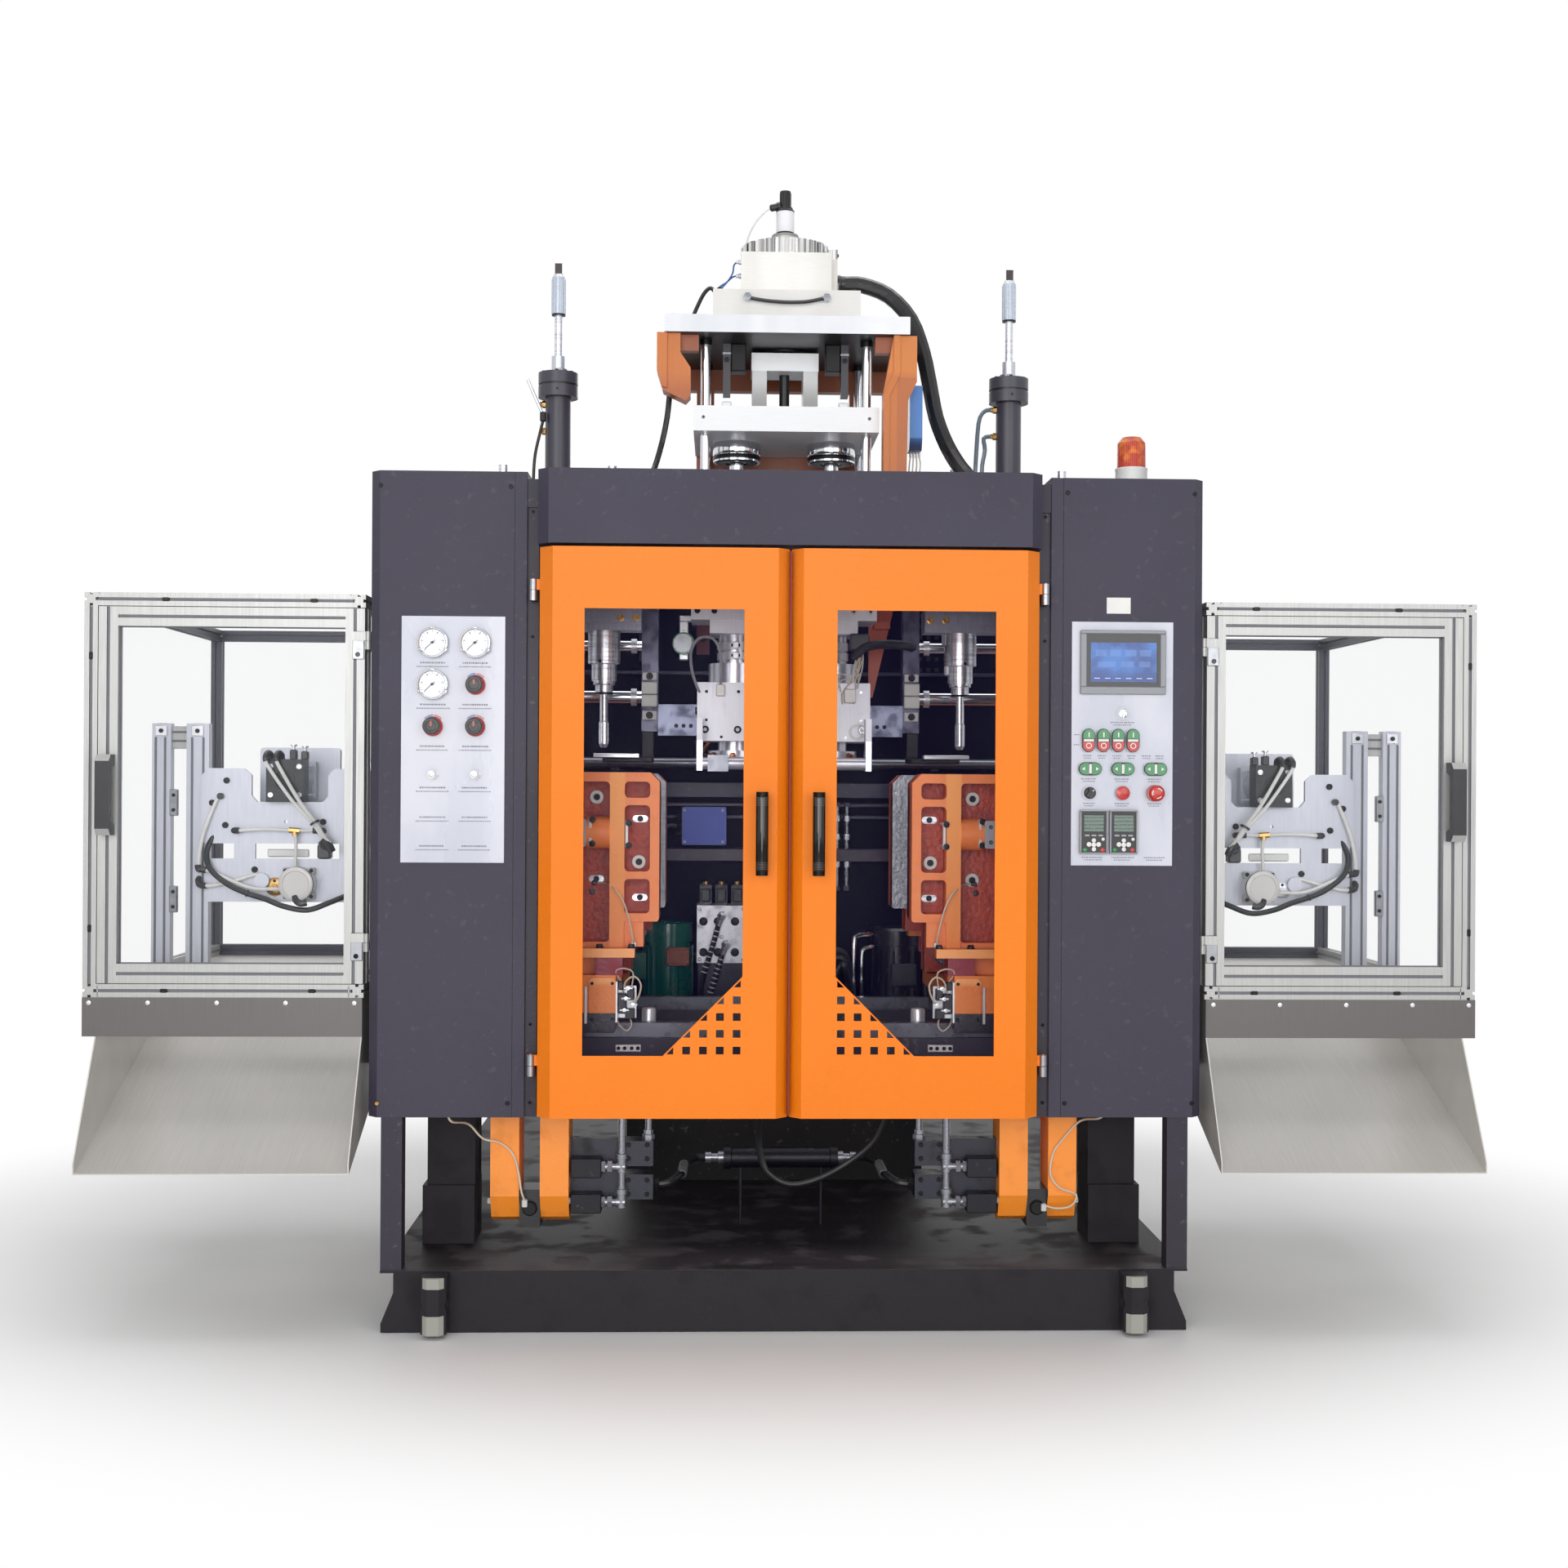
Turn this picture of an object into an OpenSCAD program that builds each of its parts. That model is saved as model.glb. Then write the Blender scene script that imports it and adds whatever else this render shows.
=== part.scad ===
// Double-station extrusion blow moulding machine with twin die head.
// X runs to the right, Y to the back and Z up. The origin is on the floor under the die head.

/* [Base frame] */
// Distance from the mould mid-plane to the back of the base
base_back = 2200; // [2000:10:2500]
// Height of the deck plate above the floor
deck_z = 153; // [130:1:200]
// Thickness of the deck plate
deck_t = 6; // [4:1:10]
// Thickness of the floor flange
flange_t = 22; // [12:1:30]
// Reach of the floor flange past the beam
flange_out = 31; // [15:1:45]
// Depth of the base beams
beam_w = 100; // [70:1:140]
// Distance of the lifting lugs from the ends of the base beams
lug_in = 107; // [80:1:150]
// Width of a lifting lug
lug_w = 62; // [40:1:80]
// Reach of a lifting lug past the base
lug_out = 70; // [55:1:90]
// Bore of a lifting lug
lug_bore = 44; // [25:1:50]
// Corner bevel of a lifting lug
lug_bevel = 16; // [6:1:20]

/* [Main frame] */
// Distance from the mould mid-plane to the back of the main frame
frame_back = 700; // [680:5:760]
// Distance from a column's centre to the cabinet's outer side
col_cover = 60; // [52:1:68]
// Side of the square columns
col = 52; // [40:1:60]
// Height of the top of the main frame
top_z = 2110; // [2090:5:2120]
// Height of the top beams
top_beam_h = 70; // [50:1:80]
// Distance of the head beams from the mould mid-plane
head_beam_y = 190; // [180:1:200]
// Depth of the head beams
head_beam_w = 60; // [40:1:70]
// Height of the top of the rail beams
rail_beam_z = 700; // [680:5:720]
// Height of the rail beams
rail_beam_h = 80; // [60:1:100]
// Depth of a rail beam
rail_beam_w = 80; // [60:1:90]
// Distance of the shuttle rails from the mould mid-plane
rail_y = 300; // [280:1:320]

/* [Housing] */
// Sheet thickness of the housing
sheet = 3; // [2:0.5:4]
// Width of the strip between a door and its cabinet
post_gap = 35; // [28:1:44]
// Width of a cabinet
cab_w = 386; // [380:1:392]
// Height of the bottom of the cabinets
cab_bottom = 531; // [500:1:560]
// Height of the top of the cabinets
cab_top = 2127; // [2120:1:2160]
// Depth of a cabinet
cab_depth = 150; // [130:1:155]
// Bevel on a cabinet's outer front edge
cab_bevel = 24; // [8:1:30]
// Reach of the header cover past the doors
header_reach = 5; // [2:1:8]
// Height of the bottom of the header cover
header_bottom = 1944; // [1940:1:1980]
// Distance by which header and doors stand proud of the cabinets
proud = 70; // [50:1:90]
// Bevel at the header's ends
header_bevel = 28; // [10:1:40]

/* [Doors] */
// Half of the gap between the two doors
door_gap = 3; // [2:0.5:6]
// Distance from the middle to a door's outer edge
door_out = 616; // [605:1:618]
// Height of the bottom of the doors
door_bottom = 540; // [520:1:560]
// Height of the top of the doors
door_top = 1936; // [1900:1:1940]
// Bevel on a door's outer edge
bevel_out = 34; // [10:1:40]
// Bevel on a door's inner edge
bevel_in = 28; // [10:1:34]
// Distance from the middle to a window's inner side
win_in = 114; // [100:1:125]
// Distance from the middle to a window's outer side
win_out = 504; // [480:1:530]
// Height of a window's lower edge
win_bottom = 693; // [660:1:720]
// Height of a window's upper edge
win_top = 1785; // [1740:1:1840]
// Leg of the perforated corner in each window
corner = 195; // [150:1:230]
// Side of a square hole in the perforated corner
grid_hole = 19; // [12:1:22]
// Pitch of the square holes
grid_pitch = 41; // [32:1:44]
// Width of the webs round the perforated corner
grid_web = 4; // [3:0.5:6]
// Thickness of the door panes
pane_t = 4; // [3:0.5:6]
// Diameter of a door handle's tube
handle_d = 30; // [22:1:36]
// Length of a door handle's tube
handle_l = 203; // [160:1:240]
// Height of the middle of the handles
handle_z = 1238; // [1150:1:1320]
// Distance from a door's inner edge to its handle
handle_in = 66; // [50:1:75]
// Distance from a door's front to the handle's axis
handle_off = 45; // [35:1:60]
// Diameter of a hinge knuckle
knuckle_d = 20; // [16:1:22]
// Height of a hinge knuckle
knuckle_h = 26; // [18:1:36]
// Diameter of a hinge pin
hinge_pin = 10; // [6:0.5:12]
// Running clearance round pins, rods and shafts
run = 0.3; // [0.2:0.05:0.5]

/* [Panels and controls] */
// Distance from a cabinet's inner side to its panel plate
panel_edge = 53; // [45:1:60]
// Width of a panel plate
panel_w = 254; // [240:1:270]
// Height of the bottom of the panel plates
panel_bottom = 1160; // [1120:1:1180]
// Height of the top of the panel plates
panel_top = 1768; // [1755:1:1800]
// Thickness of the panel plates
panel_t = 3; // [2:0.5:4]
// Spacing of the two gauge columns
gauge_gap = 104; // [95:1:112]
// Height of the top row of gauges
gauge_z = 1702; // [1695:1:1710]
// Pitch of the gauge rows
gauge_pitch = 103; // [95:1:108]
// Diameter of a pressure gauge
gauge_d = 73; // [60:1:80]
// Depth of a pressure gauge's bezel
gauge_h = 16; // [10:1:24]
// Diameter of a regulator knob
knob_d = 40; // [32:1:46]
// Height of a regulator knob
knob_h = 34; // [24:1:44]
// Diameter of a throttle valve's knob
throttle_d = 26; // [18:1:30]
// Height of the middle of the touch screen
screen_z = 1667; // [1660:1:1675]
// Width of the touch screen's bezel
screen_w = 214; // [190:1:230]
// Height of the touch screen's bezel
screen_h = 160; // [140:1:170]
// Depth of the touch screen's bezel
screen_t = 9; // [6:1:14]
// Height of the row of selector and emergency stop
stop_z = 1341; // [1335:1:1348]
// Spacing of the controls in that row
stop_pitch = 82; // [76:1:88]
// Diameter of the emergency stop's head
stop_d = 40; // [34:1:44]
// Travel of the emergency stop
stop_travel = 5; // [3:0.5:6]
// Height of the key switch
key_z = 1539; // [1535:1:1545]
// Width of a twin push button
twin_w = 30; // [26:1:32]
// Length of a twin push button
twin_l = 56; // [50:1:60]
// Height of a drive keypad
keypad_h = 108; // [90:1:120]
// Width of a drive keypad
keypad_w = 68; // [56:1:72]
// Diameter of the warning beacon
beacon_d = 76; // [60:1:90]
// Height of the warning beacon
beacon_h = 115; // [90:1:140]
// Distance from the right cabinet's inner side to the beacon
beacon_in = 216; // [150:1:280]

/* [Stations] */
// Clearance between a platen and the frame's columns
platen_gap = 29; // [20:1:34]
// Width of a mould platen
platen_w = 594; // [560:2:600]
// Height of the top of a mould platen
platen_top = 1387; // [1370:1:1389]
// Height of a mould platen
platen_h = 386; // [370:1:400]
// Thickness of a platen's web
platen_web = 50; // [35:1:60]
// Depth of a platen's ribs
platen_rib = 70; // [50:1:80]
// Distance from the mid-plane to an open platen's mould face
platen_open = 220; // [210:1:230]
// Thickness of a platen's outer wall
platen_wall = 24; // [16:1:26]
// Width of the pockets beside a platen's main ribs
pocket_w = 66; // [56:1:72]
// Width of a platen's main ribs
rib_w = 38; // [30:1:44]
// Diameter of the hubs that hold the clamp block
hub_d = 84; // [70:1:90]
// Spacing of the mould bolts
bolt_pitch = 240; // [200:5:280]
// Bore of the mould bolt holes
bolt_bore = 17.5; // [13:0.5:22]
// Height of the carriage's bed plate
bed_z = 770; // [765:1:780]
// Thickness of the carriage's bed plate
bed_t = 40; // [30:1:44]
// Width of the mould carriage
carriage_w = 378; // [372:2:386]
// Thickness of the carriage's end brackets
bracket_t = 46; // [40:1:52]
// Reach of the raised pads on the end brackets
bracket_lip = 6; // [4:0.5:8]
// Gap between the carriage and the cabinets
carriage_gap = 10; // [8:1:14]
// Running gap between a platen's foot and its end bracket
foot_gap = 8; // [6:0.5:10]
// Height of the guide shafts
shaft_z = 868; // [864:1:872]
// Diameter of the guide shafts
shaft_d = 40; // [30:1:46]
// Distance between the two guide shafts
shaft_gap = 330; // [324:1:336]
// Diameter of the clamp cylinder
clamp_d = 104; // [80:1:110]
// Width of a shuttle rail
rail_w = 35; // [28:1:40]
// Height of a shuttle rail
rail_h = 36; // [30:1:40]

/* [Blow units] */
// Distance between the two blow pins and between the two dies
pin_gap = 262; // [250:1:270]
// Height of the lower end of a raised blow pin
pin_z = 1457; // [1450:1:1480]
// Diameter of a blow pin
pin_d = 27; // [20:1:30]
// Diameter of a blow pin's collar
collar_d = 70; // [64:1:74]
// Diameter of a blow pin's sleeve
sleeve_d = 90; // [80:1:96]
// Height of the bottom of the raised blow block
blow_z = 1779; // [1770:1:1800]
// Height of the blow block
blow_h = 61; // [50:1:80]
// Width of the blow block
blow_w = 470; // [440:1:500]
// Stroke of the blow unit
blow_stroke = 110; // [80:1:112]
// Diameter of the blow cylinder
blow_cyl_d = 70; // [66:1:84]
// Height of the top of the blow cylinder's tube
blow_cyl_top = 2421; // [2400:1:2440]
// Diameter of the blow cylinder's flange
blow_flange_d = 109; // [95:1:120]
// Height of the blow cylinder's flange
blow_flange_h = 68; // [60:1:80]
// Diameter of the blow cylinder's rod
blow_rod_d = 22; // [18:1:26]
// Height of the bottom of the stroke stop sleeve
stop_sleeve_z = 2650; // [2648:1:2680]
// Length of the stroke stop sleeve
stop_sleeve_l = 104; // [80:1:120]
// Diameter of the stroke stop sleeve
stop_sleeve_d = 37; // [30:1:44]

/* [Head] */
// Half width of the die block
die_half = 235; // [230:1:250]
// Height of the bottom of the die block
die_z = 1475; // [1474:1:1490]
// Height of the die block
die_h = 159; // [140:1:170]
// Half depth of the die block
die_half_y = 110; // [100:1:120]
// Diameter of a head body
head_d = 150; // [130:1:160]
// Diameter of a head body's neck over the die block
head_neck_d = 96; // [84:1:110]
// Diameter of a die ring
die_ring_d = 150; // [130:1:160]
// Height of a die ring
die_ring_h = 42; // [34:1:44]
// Diameter of the knife bar
knife_bar_d = 34; // [28:1:36]
// Height of the knife bar
knife_z = 1414; // [1412:1:1416]
// Half width of the head's top plate
head_top_half = 325; // [310:1:340]
// Height of the bottom of the head's top plate
head_top_z = 2551; // [2545:1:2560]
// Thickness of the head's top plate
head_top_t = 47; // [35:1:55]
// Half depth of the head's top plate
head_top_y = 250; // [235:1:260]
// Distance of the guide columns from the middle
guide_x = 217; // [212:1:222]
// Distance of the guide columns from the mid-plane
guide_y = 150; // [140:1:160]
// Diameter of the guide columns
guide_d = 26; // [20:1:30]
// Height of the bottom of the lifting yoke
yoke_z = 2300; // [2295:1:2310]
// Thickness of the lifting yoke
yoke_t = 67; // [50:1:70]
// Half width of the lifting yoke
yoke_half = 248; // [240:1:256]
// Half depth of the lifting yoke
yoke_y = 200; // [180:1:205]
// Diameter of the chrome cylinders under the yoke
mandrel_d = 130; // [115:1:135]
// Diameter of the actuator's drum
drum_d = 245; // [220:1:260]

/* [Guards and chutes] */
// Gap between a cabinet and its guard
guard_clear = 21; // [19:1:27]
// Width of a guard
guard_w = 694; // [660:1:730]
// Distance from the mid-plane to the guard's front
guard_front = 490; // [480:1:500]
// Distance from the mid-plane to the guard's back
guard_back = 710; // [705:1:740]
// Height of the bottom of the guards
guard_bottom = 819; // [815:1:830]
// Height of the top of the guards
guard_top = 1826; // [1780:1:1860]
// Side of the square aluminium profile
alu = 33; // [30:1:40]
// Width of the slot in the profile
slot_w = 8; // [6:0.5:10]
// Depth of the slot in the profile
slot_d = 6; // [4:0.5:9]
// Thickness of a guard door
guard_door_t = 38; // [30:1:39]
// Width of a guard door's stiles
stile = 48; // [40:1:56]
// Gap round a guard door
guard_gap = 2; // [1:0.5:4]
// Height of the chute's band
band_h = 97; // [80:1:110]
// Height of the chute's lip above the floor
lip_z = 413; // [390:1:440]
// Distance from the mid-plane to the chute's lip
lip_d = 650; // [620:5:680]
// Distance from the mid-plane to the chute's top end
chute_back = 300; // [260:5:340]

/* [Extruder] */
// Height of the barrel's axis
barrel_z = 1850; // [1840:1:1860]
// Outer diameter of the barrel
barrel_d = 130; // [120:1:140]
// Diameter of the screw
screw_d = 70; // [60:1:80]
// Distance from the mid-plane to the back end of the barrel
barrel_back = 1560; // [1540:5:1600]
// Outer diameter of the heater bands
heater_d = 176; // [160:1:190]
// Diameter of the hopper
hopper_d = 500; // [420:5:540]
// Height of the hopper's rim
hopper_top = 2470; // [2440:5:2480]
// Diameter of the extruder motor
motor_d = 300; // [260:5:320]
// Height of the oil tank's top
tank_z = 650; // [640:5:654]

/* [Hidden] */
$fn = 48;
// Widths, from the doors outwards
header_half = door_out + header_reach;
cab_in = door_out + post_gap;
cab_out = cab_in + cab_w;
col_x = cab_out - col_cover;
col_in = col_x - col / 2;
col_out = col_x + col / 2;
base_half = col_x - 7;
lug_x = base_half - lug_in;
panel_in = cab_in + panel_edge;
panel_out = panel_in + panel_w;
mid_panel = (panel_in + panel_out) / 2;
gauge_in = panel_in + 72;
gauge_out = gauge_in + gauge_gap;
beacon_x = cab_in + beacon_in;
guard_in = cab_out + guard_clear;
guard_out = guard_in + guard_w;
station_x = col_in - platen_gap - platen_w / 2;
// Depths, from the open platens forwards
platen_back = platen_open + platen_web + platen_rib;
foot_y = platen_back - 10;
bed_half_y = foot_y + foot_gap + bracket_t;
front_y = -(bed_half_y + bracket_lip + carriage_gap + cab_depth);
skin_y = front_y - proud;
col_y = front_y + sheet + 1;
panel_y = front_y - panel_t;
hinge_x = (door_out + cab_in) / 2;
hinge_y = front_y - 22;
frame_top = top_z + 20;
head_base_t = 40;
head_base_top = top_z + head_base_t;
platen_bottom = platen_top - platen_h;
die_gap = pin_gap / 2;
guard_y = -guard_front;

// Box between two opposite corners
module slab(a, b) {
    translate(a) cube(b - a);
}

// Box with bevelled vertical edges at its front, y0 being the front
module bevelled(x0, x1, y0, y1, z0, z1, c0, c1) {
    translate([0, 0, z0])
        linear_extrude(z1 - z0)
            polygon([[x0, y1], [x0, y0 + c0], [x0 + c0, y0], [x1 - c1, y0], [x1, y0 + c1], [x1, y1]]);
}

// Plate with rounded corners in the XZ plane, from y0 to y1
module round_plate(x0, x1, y0, y1, z0, z1, r) {
    translate([0, y1, 0])
        rotate([90, 0, 0])
            linear_extrude(y1 - y0)
                union() {
                    translate([x0 + r, z0]) square([x1 - x0 - 2 * r, z1 - z0]);
                    translate([x0, z0 + r]) square([x1 - x0, z1 - z0 - 2 * r]);
                    for (x = [x0 + r, x1 - r], z = [z0 + r, z1 - r])
                        translate([x, z]) circle(r);
                }
}

// Round bar along X, Y or Z
module bar_x(d, x0, x1, y, z) {
    translate([x0, y, z]) rotate([0, 90, 0]) cylinder(h = x1 - x0, d = d);
}
module bar_y(d, y0, y1, x, z) {
    translate([x, y1, z]) rotate([90, 0, 0]) cylinder(h = y1 - y0, d = d);
}
module bar_z(d, z0, z1, x, y) {
    translate([x, y, z0]) cylinder(h = z1 - z0, d = d);
}

// Outline in the YZ plane, extruded from x0 to x1
module side_plate(x0, x1, outline) {
    translate([x0, 0, 0])
        rotate([90, 0, 90])
            linear_extrude(x1 - x0) polygon(outline);
}

// Outline in the XZ plane, extruded from y0 to y1
module front_plate(y0, y1, outline) {
    translate([0, y1, 0])
        rotate([90, 0, 0])
            linear_extrude(y1 - y0) polygon(outline);
}

module both_sides() {
    children();
    mirror([1, 0, 0]) children();
}

// Base: flanged beams, deck plate, end gussets and lifting lugs
module base_beam_x(y0) {
    slab([-base_half, y0, flange_t], [base_half, y0 + beam_w, deck_z - deck_t]);
}
module lifting_lug() {
    lug_z0 = flange_t / 2;
    difference() {
        translate([0, 0, lug_z0])
            linear_extrude(deck_z - 3 - lug_z0)
                polygon([
                    [lug_x - lug_w / 2, front_y],
                    [lug_x - lug_w / 2, front_y - lug_out + lug_bevel],
                    [lug_x - lug_w / 2 + lug_bevel, front_y - lug_out],
                    [lug_x + lug_w / 2 - lug_bevel, front_y - lug_out],
                    [lug_x + lug_w / 2, front_y - lug_out + lug_bevel],
                    [lug_x + lug_w / 2, front_y]
                ]);
        bar_x(lug_bore, lug_x - lug_w, lug_x + lug_w, front_y - lug_out / 2, (lug_z0 + deck_z) / 2);
    }
}
module base_frame() color("#3b3a3f") {
    flange_y = beam_w + flange_out;
    for (y = [front_y, base_back - flange_y])
        slab([-base_half - flange_out, y, 0], [base_half + flange_out, y + flange_y, flange_t]);
    // Flat tie across the middle of the front bay
    slab([-base_half, -beam_w / 2, 0], [base_half, beam_w / 2, flange_t]);
    for (y = [front_y, frame_back, (frame_back + base_back) / 2, base_back - beam_w])
        base_beam_x(y);
    both_sides() {
        slab([base_half - beam_w, front_y, flange_t], [base_half, base_back, deck_z - deck_t]);
        for (y = [front_y, base_back - beam_w])
            front_plate(y, y + gusset_t, [
                [base_half, flange_t], [base_half + flange_out, flange_t], [base_half, flange_t + deck_z / 2]
            ]);
        lifting_lug();
        translate([0, base_back + front_y, 0]) mirror([0, 1, 0]) lifting_lug();
    }
    slab([-col_out, front_y, deck_z - deck_t], [col_out, base_back, deck_z]);
    both_sides() valve_box();
    extruder_stand();
}
gusset_t = 12;

// Guarded valve box on its plinth behind a front column
module valve_box() {
    plinth = [135, 150, 152];
    cover = [124, 130, 205];
    x = col_in - 9 - plinth.x;
    y = front_y + 276;
    inset = (plinth.y - cover.y) / 2;
    slab([x, y, deck_z], [x + plinth.x, y + plinth.y, deck_z + plinth.z]);
    slab([x, y + inset, deck_z + plinth.z], [x + cover.x, y + inset + cover.y, deck_z + plinth.z + cover.z]);
}

// Welded stand of square tube under the extruder
module extruder_stand() {
    post = 80;
    half = 290;
    y0 = frame_back + 20;
    beam_z = extruder_bed_z - post;
    both_sides() {
        for (y = [y0, (frame_back + base_back) / 2, base_back - beam_w])
            slab([half - post, y, deck_z], [half, y + post, beam_z]);
        slab([half - post, y0, beam_z], [half, base_back, extruder_bed_z]);
    }
    for (y = [y0, base_back - post])
        slab([-half, y, beam_z], [half, y + post, extruder_bed_z]);
}

// Main frame: columns, beams, door posts and brackets for the guards
module upper_frame() color("#47434c") {
    both_sides() {
        for (y = [col_y, frame_back - col])
            slab([col_in, y, deck_z], [col_out, y + col, top_z]);
        slab([col_in, col_y + col, top_z - top_beam_h], [col_out, frame_back - col, top_z]);
        slab([col_in, col_y + col, rail_beam_z - rail_beam_h], [col_out, frame_back - col, rail_beam_z]);
        // Door post
        slab([door_out + 7, front_y + 10, cab_bottom], [cab_in, front_y + 70, top_z - top_beam_h]);
        // Brackets for the guard
        for (y = [front_y + 170, frame_back - 200])
            slab([col_out, y, rail_beam_z - 60], [guard_in, y + 60, guard_bottom + alu]);
        slab([col_out, frame_back - col, guard_top - alu], [guard_in, frame_back, guard_top]);
        for (z = hinge_heights())
            frame_knuckle(z);
    }
    for (y = [col_y, -head_beam_y - head_beam_w / 2, head_beam_y - head_beam_w / 2, frame_back - col])
        slab([-col_in, y, top_z - top_beam_h], [col_in, y + (abs(y) < 300 ? head_beam_w : col), top_z]);
    for (y = [-rail_y, rail_y])
        slab([-col_in, y - rail_beam_w / 2, rail_beam_z - rail_beam_h],
             [col_in, y + rail_beam_w / 2, rail_beam_z]);
}

function hinge_heights() = [door_bottom + 96, door_top - 130];

// Lower half of a door hinge with its pin, on the door post
module frame_knuckle(z) {
    bar_z(knuckle_d, z, z + knuckle_h, hinge_x, hinge_y);
    slab([hinge_x - 6, hinge_y, z], [hinge_x + 6, front_y + 10, z + knuckle_h]);
    bar_z(hinge_pin, z + knuckle_h, z + 2 * knuckle_h, hinge_x, hinge_y);
}

// Steel cabinet round the front column, with a channel for the column and a notch for the beam
module cabinet() {
    fit = 0.5;
    difference() {
        bevelled(cab_in, cab_out, front_y, front_y + cab_depth, cab_bottom, cab_top, 1, cab_bevel);
        slab([col_in - fit, front_y + sheet, cab_bottom - 1],
             [col_out + fit, front_y + cab_depth + 1, top_z + fit]);
        slab([cab_in - 1, front_y + sheet, top_z - top_beam_h - fit],
             [col_out, front_y + sheet + col + 2, top_z + fit]);
        // Shadow gap of the cabinet's front cover
        slab([cab_in + 30, front_y - 1, cab_bottom - 1], [cab_in + 31.5, front_y + 2, cab_top + 1]);
    }
}
module left_cabinet() color("#57535e") mirror([1, 0, 0]) cabinet();
module right_cabinet() color("#57535e") cabinet();

// Folded header cover, open at the back
module header_panel() color("#57535e") {
    difference() {
        bevelled(-header_half, header_half, skin_y, col_y, header_bottom, cab_top, header_bevel, header_bevel);
        bevelled(-header_half + sheet, header_half - sheet, skin_y + sheet, col_y + 1,
                 header_bottom + sheet, cab_top - sheet, header_bevel, header_bevel);
    }
}

// Back wall with an opening for the extruder barrel
module rear_panel() color("#3a393f") {
    difference() {
        slab([-col_in, frame_back - sheet, tank_z + 5], [col_in, frame_back, top_z - top_beam_h]);
        bar_y(heater_d + 24, frame_back - 2 * sheet, frame_back + sheet, 0, barrel_z);
        // Louvres
        for (x = [-600, 600], n = [0:7])
            slab([x - 150, frame_back - 2 * sheet, 900 + n * 40], [x + 150, frame_back + sheet, 912 + n * 40]);
    }
}

// Twin cranked arms under the front rail beam, with the shuttle cylinder between them
arm_w = 73;
arm_gap = 53;
arm_d = 120;
arm_x = station_x + 27;
arm_y = -rail_y - rail_beam_w / 2 - 58;
arm_end = 230;
module support_arm(x) {
    top = rail_beam_z - rail_beam_h;
    mid = arm_y + arm_d / 2;
    side_plate(x - arm_w / 2, x + arm_w / 2, [
        [arm_y + arm_d, top], [arm_y + arm_d, arm_end + 73], [mid + 32, arm_end + 15], [mid, arm_end],
        [mid - 32, arm_end + 15], [arm_y, arm_end + 73], [arm_y, top]
    ]);
}
module support_arms() color("#ff8b1d") both_sides() {
    inner = arm_x - arm_gap / 2 - arm_w;
    for (s = [-1, 1])
        support_arm(arm_x + s * (arm_w + arm_gap) / 2);
    // Pivot block between the arms
    slab([arm_x - arm_gap / 2, arm_y + 15, arm_end - 10], [arm_x + arm_gap / 2, arm_y + arm_d - 15, arm_end + 87]);
    // Hydraulic blocks of the shuttle cylinder
    for (z = [286, 372])
        slab([inner - 214, arm_y + 40, z], [inner - 134, arm_y + 110, z + 64]);
    slab([inner - 134, arm_y + 55, 280], [inner, arm_y + 95, 440]);
}

// Shuttle rails on the rail beams
module shuttle_rails() color("#b9bcc2") {
    for (y = [-rail_y, rail_y])
        slab([-col_in + 10, y - rail_w / 2, rail_beam_z], [col_in - 10, y + rail_w / 2, rail_beam_z + rail_h]);
}

// Chrome tie rods on hanger plates behind the blow pins
hanger_w = 47;
rods = [[1606, 36], [1752, 30]];
module cross_rods() color("#c4c7d2") both_sides() {
    y0 = head_beam_y - head_beam_w / 2;
    x0 = die_half + 115;
    x1 = col_in - 51;
    slab([x0, y0, 1507], [x0 + hanger_w, y0 + head_beam_w, top_z - top_beam_h]);
    slab([x1, y0, 1560], [x1 + 20, y0 + head_beam_w, top_z - top_beam_h]);
    for (r = rods)
        bar_x(r[1], x0 + hanger_w, x1, head_beam_y, r[0]);
    // Split clamp on the hanger and the plate that steadies the die block
    slab([x0 + 4, y0 - 10, 1576], [x0 + hanger_w - 4, y0, 1648]);
    slab([die_half + 3, y0 + 6, 1496], [x0, y0 + 22, 1585]);
}

// Door: folded sheet with bevelled edges, window and perforated corner
module door_leaf() {
    lip = 26;
    difference() {
        bevelled(door_gap, door_out, skin_y, front_y, door_bottom, door_top, bevel_in, bevel_out);
        bevelled(door_gap + sheet, door_out - sheet, skin_y + sheet, front_y - sheet,
                 door_bottom + sheet, door_top - sheet, bevel_in, bevel_out);
        slab([door_gap + lip, front_y - 2 * sheet, door_bottom + lip],
             [door_out - lip, front_y + sheet, door_top - lip]);
        window_cut();
    }
    // Handle on two posts
    x = door_gap + handle_in;
    y = skin_y - handle_off;
    bar_z(handle_d, handle_z - handle_l / 2, handle_z + handle_l / 2, x, y);
    for (z = [handle_z - handle_l / 2 + 22, handle_z + handle_l / 2 - 22])
        bar_y(16, y, skin_y, x, z);
    // Upper hinge halves
    for (z = hinge_heights())
        door_knuckle(z + knuckle_h + 1);
}
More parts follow.
